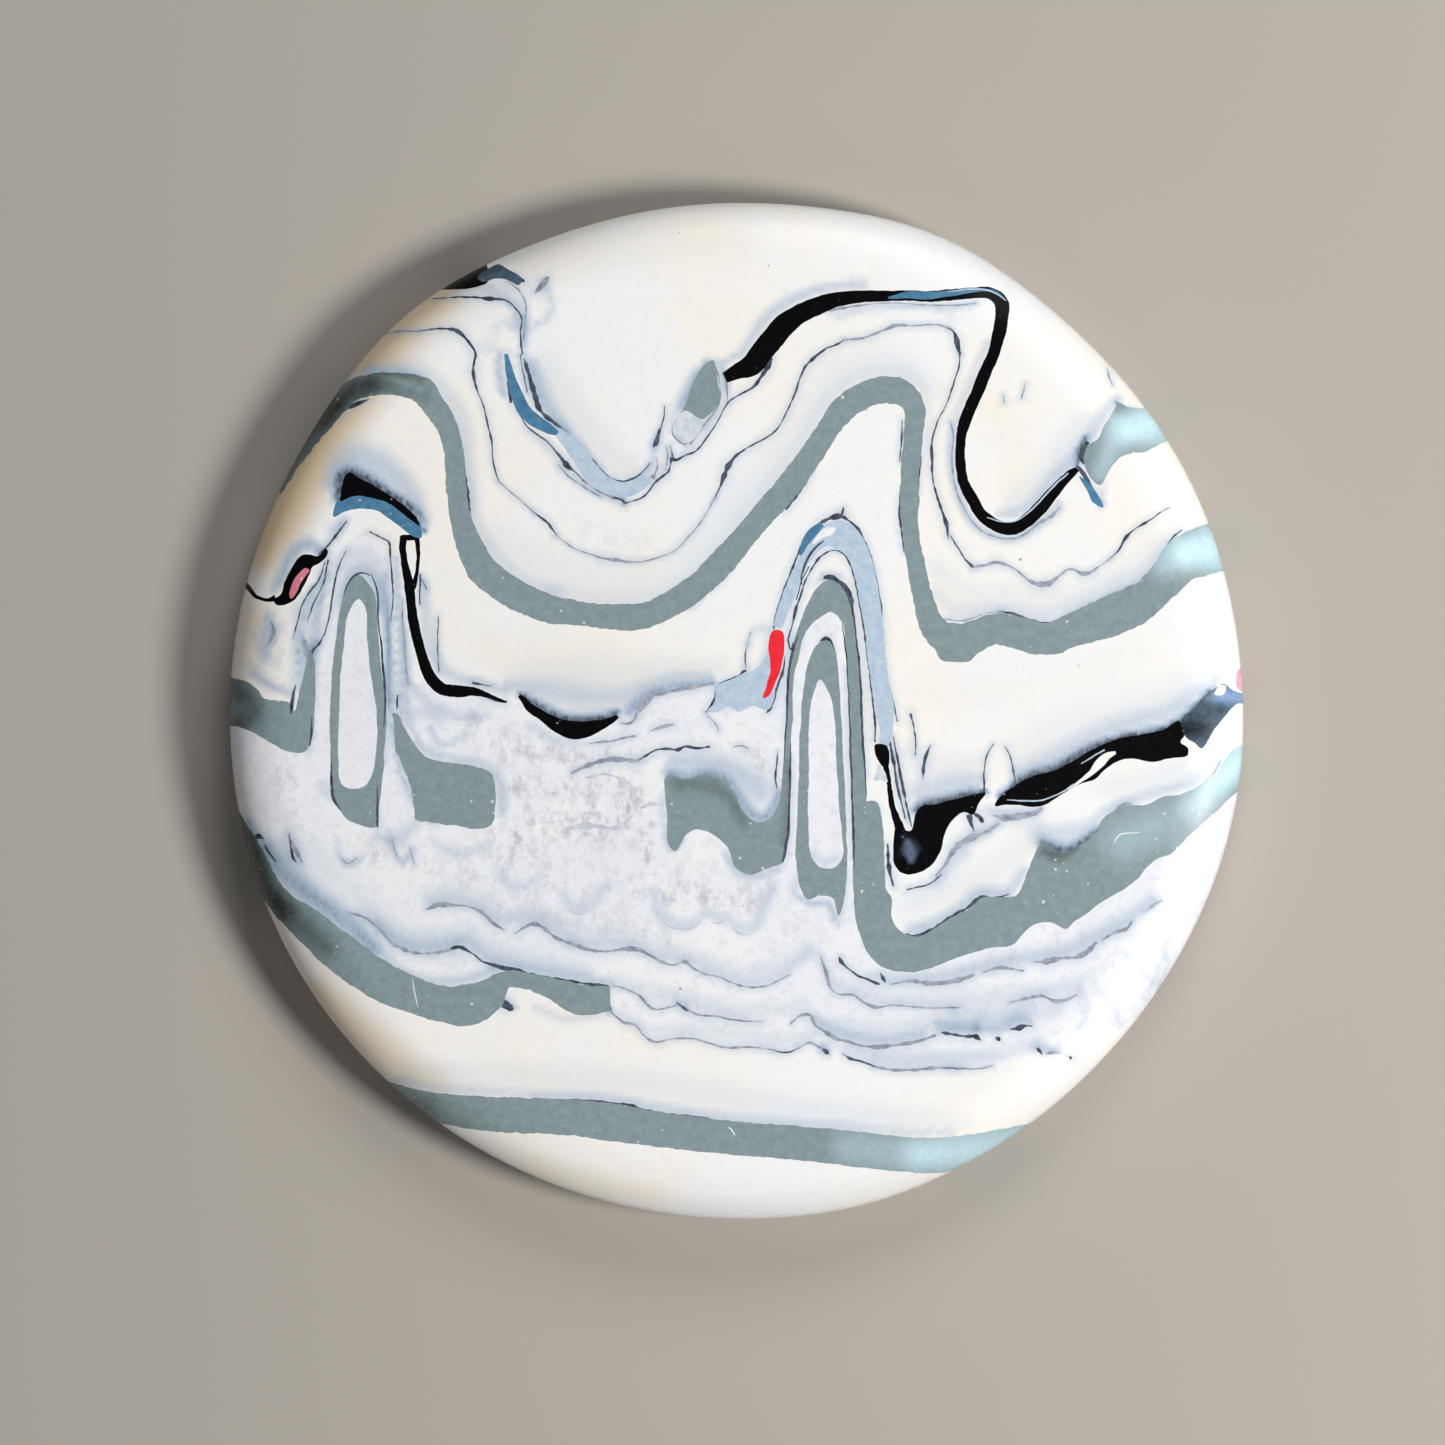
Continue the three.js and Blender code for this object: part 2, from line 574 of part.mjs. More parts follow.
    shapes: [band(
      [-50, -9.5, 1], [-47.8, -13.3, 1.2], [-46.5, -17.3, 2], [-44.8, -19.5, 2.2],
      [-42.5, -21.3, 2.8], [-40.2, -23.3, 3], [-37.5, -25.5, 3.3], [-34.8, -27, 3.4],
      [-32, -28, 3.3], [-29, -28.7, 3.5], [-26.3, -28.8, 4.1], [-24.6, -28, 3.4],
      [-22.8, -26.4, 1.8], [-20.5, -26.5, 1.6], [-18, -27.3, 2.2], [-15.5, -28.3, 3],
      [-12.6, -28.2, 2.4],
    )],
  },
  {
    name: 'grey_bottom_band',
    look: LOOKS.grey,
    shapes: [band(
      [-36, -38.4, 4.4], [-30, -39, 3.2], [-25, -39.5, 3.4], [-20, -39.7, 3.4], [-15, -40, 3.6],
      [-10, -40.7, 3.6], [-5, -41.4, 3.3], [0, -41.9, 3.3], [5, -42.3, 3.3], [10, -42.8, 3.5],
      [15, -43.4, 3.5], [20, -43.6, 3.5], [25, -43, 3.6], [31, -42, 3.6],
    )],
  },
];

// ---------------------------------------------------------------------------
// Partings between the layers of white

const PARTINGS = [
  // through the upper white, from rim to rim
  [
    [-37.5, 37], [-34.5, 37.2], [-31, 37.3], [-29, 37.5], [-27.6, 37.3], [-26.3, 36], [-25.8, 35],
    [-26, 33], [-25.6, 31.5], [-25, 30], [-24.5, 28], [-24.2, 26], [-24, 24], [-23.5, 22.5],
    [-22, 21.2], [-20, 19.5], [-18.5, 18], [-17, 16.5], [-13, 15], [-10.5, 14.5], [-8, 15],
    [-5.6, 16.2], [-4.2, 17.8], [-3.1, 19.4], [-2.2, 21], [-1.1, 23.8], [-0.2, 24.9],
    [1.5, 26.1], [3.3, 27.2], [4.5, 28.6], [5.2, 30], [5.9, 31.8], [6.7, 33.9], [7.9, 35],
    [10.5, 36.4], [14.1, 37.3], [15.8, 37.9], [19.9, 37.8], [21.5, 36.5], [21.6, 34.1],
    [20.9, 31.8], [19.4, 27.9], [19, 25.1], [19.2, 22.6], [19.8, 20.5], [20.6, 18],
    [21.6, 16.2], [23.1, 14.1], [26.1, 14.3], [28.9, 12.6], [30.9, 12.5], [33, 13.9],
    [34.4, 13.4], [37.3, 15.5], [39, 17.8], [42.6, 20.2], [45, 21.8], [48, 23.2],
  ],
  // from the rim chip down to the dark blue streak of the valley
  [[-21.2, 41.7], [-20.9, 40], [-21, 38], [-21.6, 36.4], [-22.6, 35.2], [-22.8, 34.6]],
  // from the pale ribbon of the valley to the leaf
  [[-9, 22.6], [-7.9, 22.9], [-6.8, 24.2], [-6.2, 25.6], [-5.8, 27]],
  // from the leaf to the upper vein, then from the tail of that vein to the rim fan
  [[-1.8, 31], [-1.4, 31.8], [-0.9, 32.6]],
  [[33, 23.4], [33.6, 24], [34.3, 24.2]],
  // between the left rim vein and the crescents
  [[-41.3, 15], [-40.2, 16.3], [-39.3, 17.6], [-38.6, 19.7]],
  // from the left fold to the left leg
  [[-33.4, -0.5], [-32.2, 1.6], [-30.6, 3.4]],
  // from the left leg over the centre lens to the foot of the pale arch
  [[-23.2, 1], [-22.4, 1.1], [-21.2, 1.2]],
  [[-12.3, -0.8], [-11, -0.3], [-9.5, 0.3], [-8.4, 1.5], [-6.5, 1.9], [-4.2, 2.2], [-1.9, 2.2]],
  // at the feet of the right fold
  [[2.6, 7.7], [3.2, 8.1], [3.9, 8.6]],
  [[2.8, 0.6], [4, -1.4], [4.7, -4]],
  // between the hook and the right vein
  [[23.7, -8.7], [24.6, -8.8], [25.6, -8.9]],
  // around the cloudy white in the lower left
  [[-36.8, -11.8], [-35.6, -14.5], [-33.4, -17.6], [-30.6, -19.4]],
  [
    [-49.5, -7.5], [-47, -11.5], [-45, -14.6], [-42, -17.2], [-38.2, -19.7], [-36.4, -20.4],
    [-35, -21.7], [-33.2, -23.1], [-31.3, -23.8], [-29, -23.7], [-27, -23.3], [-25.6, -24],
    [-24.5, -24.8], [-22.4, -25], [-19.9, -25.2], [-16, -26.2], [-12.3, -26.9],
  ],
  // long partings through the lower white
  [
    [-30.6, -19.4], [-27.9, -19.1], [-25.6, -19.4], [-24, -20.8], [-21.9, -22], [-19.9, -21],
    [-18, -22.2], [-15.7, -23], [-11.1, -23.3], [-9.3, -23.6], [-7.7, -24.5], [-5.1, -24.8],
    [-1.9, -26.1], [0.4, -26.9], [2.7, -27], [4, -26.3], [6.3, -25.4], [7.9, -24],
    [8.9, -26.6], [9.5, -27.7], [13.7, -29.1], [18, -29.2], [25.2, -28.9], [29.8, -27.9],
    [33.2, -27.6], [37, -25.8], [41, -23.2], [46, -20],
  ],
  [
    [-12.3, -26.9], [-10.4, -27.5], [-8.4, -29.2], [-5.6, -29.1], [-1.9, -30], [2.7, -30.5],
    [5, -30.9], [6.3, -29.8], [7.9, -30.9], [9.5, -32.1], [14.1, -32.9], [20.1, -31.6],
    [25.4, -32.1], [27.7, -31], [31, -30.6], [36, -28.6], [40.5, -26], [45, -23.6],
  ],
  [
    [-12.5, -29.2], [-10, -30.9], [-7.9, -32.5], [-3.3, -32.4], [1.7, -33], [4.7, -33.5],
    [7, -32.4], [10, -33.7], [16, -35.3], [23.3, -35.2], [27.5, -34.1], [31.5, -33],
    [36, -31.4], [41.5, -29.5],
  ],
  [
    [9.9, -20.6], [9.8, -22.6], [10, -24.4], [10.9, -25.4], [14.1, -26.9], [19.4, -26.8],
    [25.2, -25.4], [29.3, -24.5], [33.9, -23.6], [37.3, -21.3], [40.1, -19.4], [44, -16],
    [50, -11.5],
  ],
];

// The layers the partings leave, each named by a point on its face.
const LAYERS = [
  { name: 'white_top_layer', at: [-11, 36], look: LOOKS.white },
  { name: 'white_valley_layer', at: [-19.5, 23.7], look: LOOKS.white },
  { name: 'white_under_valley_layer', at: [-21.5, 18], look: LOOKS.white },
  { name: 'white_middle_layer', at: [0, 6], look: LOOKS.white },
  { name: 'white_left_rim_layer', at: [-40.8, 12], look: LOOKS.white },
  { name: 'white_left_cloud', at: [-43, -9], look: LOOKS.cloud },
  { name: 'white_centre_cloud', at: [-15, -15], look: LOOKS.cloud },
  { name: 'white_right_fold_layer', at: [24, -14], look: LOOKS.white },
  { name: 'white_under_stream_layer', at: [30, -22.8], look: LOOKS.cloud },
  { name: 'white_lower_left_layer', at: [-29.7, -25.6], look: LOOKS.cloud },
  { name: 'white_lower_right_layer', at: [14, -34], look: LOOKS.cloud },
  { name: 'white_bottom_layer', at: [0, -36], look: LOOKS.white },
  { name: 'white_bottom_segment', at: [0, -46], look: LOOKS.white },
];

// Whether the upper side of a solid covers a point of the face, seen from above.
function coversPoint(solid, [x, y]) {
  const { vertProperties, triVerts } = solid.getMesh();
  const point = new THREE.Vector3(x, y, 0);
  const normal = new THREE.Vector3();
  const corner = (index) => new THREE.Vector3(vertProperties[3 * index], vertProperties[3 * index + 1], 0);
  for (let i = 0; i < triVerts.length; i += 3) {
    const shadow = new THREE.Triangle(corner(triVerts[i]), corner(triVerts[i + 1]), corner(triVerts[i + 2]));
    if (shadow.getNormal(normal).z > 0.5 && shadow.containsPoint(point)) {
      return true;
    }
  }
  return false;
}

// ---------------------------------------------------------------------------
// The coaster

const coaster = new THREE.Group();
coaster.name = 'marbled_coaster';
const slab = makeSlab();

let taken = null;
for (const { name, look, shapes } of STREAMS) {
  let piece = slab.intersect(join(shapes, 0));
  const claim = join(shapes, GAP);
  if (taken) {
    piece = piece.subtract(taken);
  }
  taken = taken ? taken.add(claim) : claim;
  coaster.add(toMesh(mainBody(piece), name, look));
}

let whites = slab.subtract(taken);
for (const knots of PARTINGS) {
  const route = knots.map(([x, y]) => [x, y, PARTING]);
  whites = whites.subtract(prism(bandOutline(route, 0)));
}
const bodies = whites.decompose();
for (const { name, at, look } of LAYERS) {
  const body = bodies.find((candidate) => coversPoint(candidate, at));
  coaster.add(toMesh(body, name, look));
}

export default coaster;
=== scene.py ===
"""A round marbled coaster, seen from straight above on a pale floor.

The face is divided into the folded streams of plastic it was pressed from. Every stream,
vein, chip and layer of white is a closed solid of its own, and the dark films that part
the whites are thin solids between them. Outlines are drawn in millimetres on the face,
with the origin at the middle of the disc, +X to the right and +Y up.
"""

import math

import bpy
import numpy as np
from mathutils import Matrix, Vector, noise
from mathutils.geometry import delaunay_2d_cdt


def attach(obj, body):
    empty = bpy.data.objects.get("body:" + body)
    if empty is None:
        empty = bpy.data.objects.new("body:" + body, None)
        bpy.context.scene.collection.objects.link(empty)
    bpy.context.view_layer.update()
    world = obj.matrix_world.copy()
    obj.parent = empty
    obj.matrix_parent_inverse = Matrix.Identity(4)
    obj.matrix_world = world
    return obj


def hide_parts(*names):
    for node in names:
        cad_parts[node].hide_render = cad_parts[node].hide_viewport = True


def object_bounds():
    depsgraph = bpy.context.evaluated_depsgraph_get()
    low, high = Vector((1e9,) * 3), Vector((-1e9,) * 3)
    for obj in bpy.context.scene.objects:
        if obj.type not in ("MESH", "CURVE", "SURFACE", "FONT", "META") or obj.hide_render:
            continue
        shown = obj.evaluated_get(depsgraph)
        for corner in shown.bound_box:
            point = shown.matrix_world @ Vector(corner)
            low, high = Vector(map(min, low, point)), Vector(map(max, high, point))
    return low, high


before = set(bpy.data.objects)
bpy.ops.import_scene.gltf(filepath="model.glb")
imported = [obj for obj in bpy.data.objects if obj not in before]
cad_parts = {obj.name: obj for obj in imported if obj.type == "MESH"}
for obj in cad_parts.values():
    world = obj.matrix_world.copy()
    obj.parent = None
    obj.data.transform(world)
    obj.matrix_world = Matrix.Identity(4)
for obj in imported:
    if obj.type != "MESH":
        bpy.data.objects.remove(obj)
size_low, size_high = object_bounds()

MM = 0.001
NOISE_SEED = 7

noise.seed_set(NOISE_SEED)   # the waviness of every outline is the same each time

# ---------------------------------------------------------------------------
# The slab

RADIUS = 50.0
THICKNESS = (size_high.z - size_low.z) / MM
TOP_ROUND_WIDTH = 6.0
TOP_ROUND_HEIGHT = 3.8
BOTTOM_ROUND_WIDTH = 2.8
BOTTOM_ROUND_HEIGHT = 2.6

# angle in degrees, rise in mm, half width in degrees
RIM_SWELLS = [
    (67, 0.8, 12),
    (130, 0.85, 13),
    (212, 0.25, 22),
    (284, 0.2, 10),
    (322, -0.4, 24),
    (8, -0.3, 14),
]

# how finely the face is divided, in mm unless said otherwise
RIM_STEPS = 720         # points on the rim
RIM_RINGS = 14          # rings of points over the rounded edge
RIM_SPACING = 0.7       # between points along a ring
GRID_SPACING = 0.62     # between points on the flat face
GRID_MARGIN = 0.4       # between the grid and the rounded edge
POINT_CLEARANCE = 0.16  # between a loose point and any outline
OUTLINE_STEP = 0.3      # between points along an outline
FILM_STEP = 0.22        # between points along the outline of a film
STROKE_STEP = 0.8       # between points along a stroke of stain
SLIMMEST_STROKE = 0.05  # reach below which a stroke of stain doesn't narrow further
RIM_WALL = 0.002        # points no deeper than this are on the rim's wall
SAME_POINT = 1e-5       # points nearer than this are one point


def rim_radius(angle):
    """Radius of the rim in mm at an angle in degrees; works on arrays."""
    radius = RADIUS
    for centre, rise, half_width in RIM_SWELLS:
        turn = (angle - centre + 180) % 360 - 180
        radius = radius + rise * np.exp(-((turn / half_width) ** 2))
    return radius


def rim_depth(points):
    """How far points on the face are inside the rim, in mm, and the outward directions."""
    angle = np.degrees(np.arctan2(points[:, 1], points[:, 0]))
    radius = np.hypot(points[:, 0], points[:, 1])
    outward = points / np.maximum(radius, 1e-6)[:, None]
    return np.maximum(rim_radius(angle) - radius, 0), outward


def rounding(depth, width, height):
    """Drop of a rounded edge and the slope of its surface, at a depth inside the rim."""
    lean = np.clip(1 - depth / width, 0, 1)
    flat = np.sqrt(np.maximum(1 - lean ** 2, 0))
    drop = height * (1 - flat)
    normal_out = height * lean
    normal_up = width * flat
    length = np.maximum(np.hypot(normal_out, normal_up), 1e-9)
    return drop, normal_out / length, normal_up / length


# ---------------------------------------------------------------------------
# Curves


def spline(knots, closed, step):
    """Points along a smooth centripetal curve through the knots."""
    knots = np.array(knots, float)
    if closed:
        padded = np.vstack([knots[-1], knots, knots[0], knots[1]])
    else:
        padded = np.vstack([2 * knots[0] - knots[1], knots, 2 * knots[-1] - knots[-2]])
    pieces = []
    for p0, p1, p2, p3 in zip(padded, padded[1:], padded[2:], padded[3:]):
        t1 = max(math.dist(p0[:2], p1[:2]), 1e-3) ** 0.5
        t2 = t1 + max(math.dist(p1[:2], p2[:2]), 1e-3) ** 0.5
        t3 = t2 + max(math.dist(p2[:2], p3[:2]), 1e-3) ** 0.5
        count = max(2, round(math.dist(p1[:2], p2[:2]) / step))
        t = np.linspace(t1, t2, count, endpoint=False)[:, None]
        a1 = (t1 - t) / t1 * p0 + t / t1 * p1
        a2 = (t2 - t) / (t2 - t1) * p1 + (t - t1) / (t2 - t1) * p2
        a3 = (t3 - t) / (t3 - t2) * p2 + (t - t2) / (t3 - t2) * p3
        b1 = (t2 - t) / t2 * a1 + t / t2 * a2
        b2 = (t3 - t) / (t3 - t1) * a2 + (t - t1) / (t3 - t1) * a3
        pieces.append((t2 - t) / (t2 - t1) * b1 + (t - t1) / (t2 - t1) * b2)
    points = np.vstack(pieces)
    return points if closed else np.vstack([points, knots[-1]])


def distance_to_path(points, path):
    """Distance of each point to a path, and the path's third value at the nearest place."""
    starts, ends = path[:-1], path[1:]
    along = ends[:, :2] - starts[:, :2]
    length2 = np.maximum((along ** 2).sum(1), 1e-12)
    best = np.full(len(points), np.inf)
    value = np.zeros(len(points))
    for start, end, step, square in zip(starts, ends, along, length2):
        t = np.clip(((points - start[:2]) @ step) / square, 0, 1)
        foot = start[:2] + t[:, None] * step
        distance = np.hypot(*(points - foot).T)
        closer = distance < best
        best[closer] = distance[closer]
        if path.shape[1] > 2:
            value[closer] = (start[2] + t * (end[2] - start[2]))[closer]
    return best, value


def across(path):
    """Unit normals to the left of a path."""
    along = np.gradient(path[:, :2], axis=0)
    along /= np.maximum(np.hypot(*along.T), 1e-9)[:, None]
    return np.column_stack([-along[:, 1], along[:, 0]])


SWELL_LENGTH = 0.55             # mm along a film from one thick place to the next
SWELL_REACH = 0.9               # how strongly a film swells and thins
SWELL_LIMITS = (0.5, 1.6)       # its thinnest and thickest places, as shares of its width
FOLD_SHARE = 0.93               # edge points nearer the path than this share are in a fold


def band_outline(knots, step, uneven=False):
    """The closed outline of a band whose knots are (x, y, width)."""
    path = spline(knots, False, step)
    if uneven:
        places = path[:, :2] / SWELL_LENGTH
        swell = [noise.noise(Vector((x, y, 11.3))) for x, y in places]
        path[:, 2] *= np.clip(1 + SWELL_REACH * np.array(swell), *SWELL_LIMITS)
    side = across(path)
    half = path[:, 2:3] / 2
    edges = []
    for sign in (1, -1):
        edge = path[:, :2] + sign * side * half
        distance, width = distance_to_path(edge, path)
        edges.append(edge[distance > FOLD_SHARE * width / 2])
    return np.vstack([edges[0], edges[1][::-1]])


WARP = [(2.6, 0.10), (0.9, 0.045)]   # wavelength and reach of the waviness, in mm
FRAY_LENGTH = 0.42                   # wavelength of the fray, in mm


def warp(points, rag=0.0):
    """Bends outlines a little, as pressed plastic flows; rag is the reach of a fine fray."""
    moved = []
    for x, y in points:
        shift = Vector((0, 0, 0))
        for wavelength, reach in WARP:
            place = Vector((x / wavelength, y / wavelength, 3.1 * wavelength))
            shift += reach * noise.noise_vector(place)
        if rag:
            place = Vector((x / FRAY_LENGTH, y / FRAY_LENGTH, 7.7))
            shift += rag * noise.noise_vector(place)
        moved.append((x + shift.x, y + shift.y))
    return np.array(moved)


EDGE_RAG = 0.05                      # reach of the fray on streams and chips, in mm
FILM_RAG = 0.03                      # and on films


def band(*knots, rag=EDGE_RAG):
    """A shape that follows a path of (x, y, width)."""
    return ("band", knots, rag)


def patch(*knots, rag=EDGE_RAG):
    """A shape inside a closed curve through points."""
    return ("patch", knots, rag)


def outline(shape, step=OUTLINE_STEP):
    """The closed outline of a shape, counter-clockwise."""
    kind, knots, rag = shape
    if kind == "patch":
        points = spline(knots, True, step)
    else:
        points = band_outline(knots, step, kind == "film")
    points = warp(points, rag)
    following = np.roll(points, -1, axis=0)
    area = (points[:, 0] * following[:, 1] - following[:, 0] * points[:, 1]).sum()
    return points if area > 0 else points[::-1]


# ---------------------------------------------------------------------------
# Streams, veins and chips: name, slot, shapes. An earlier one lies over a later one.

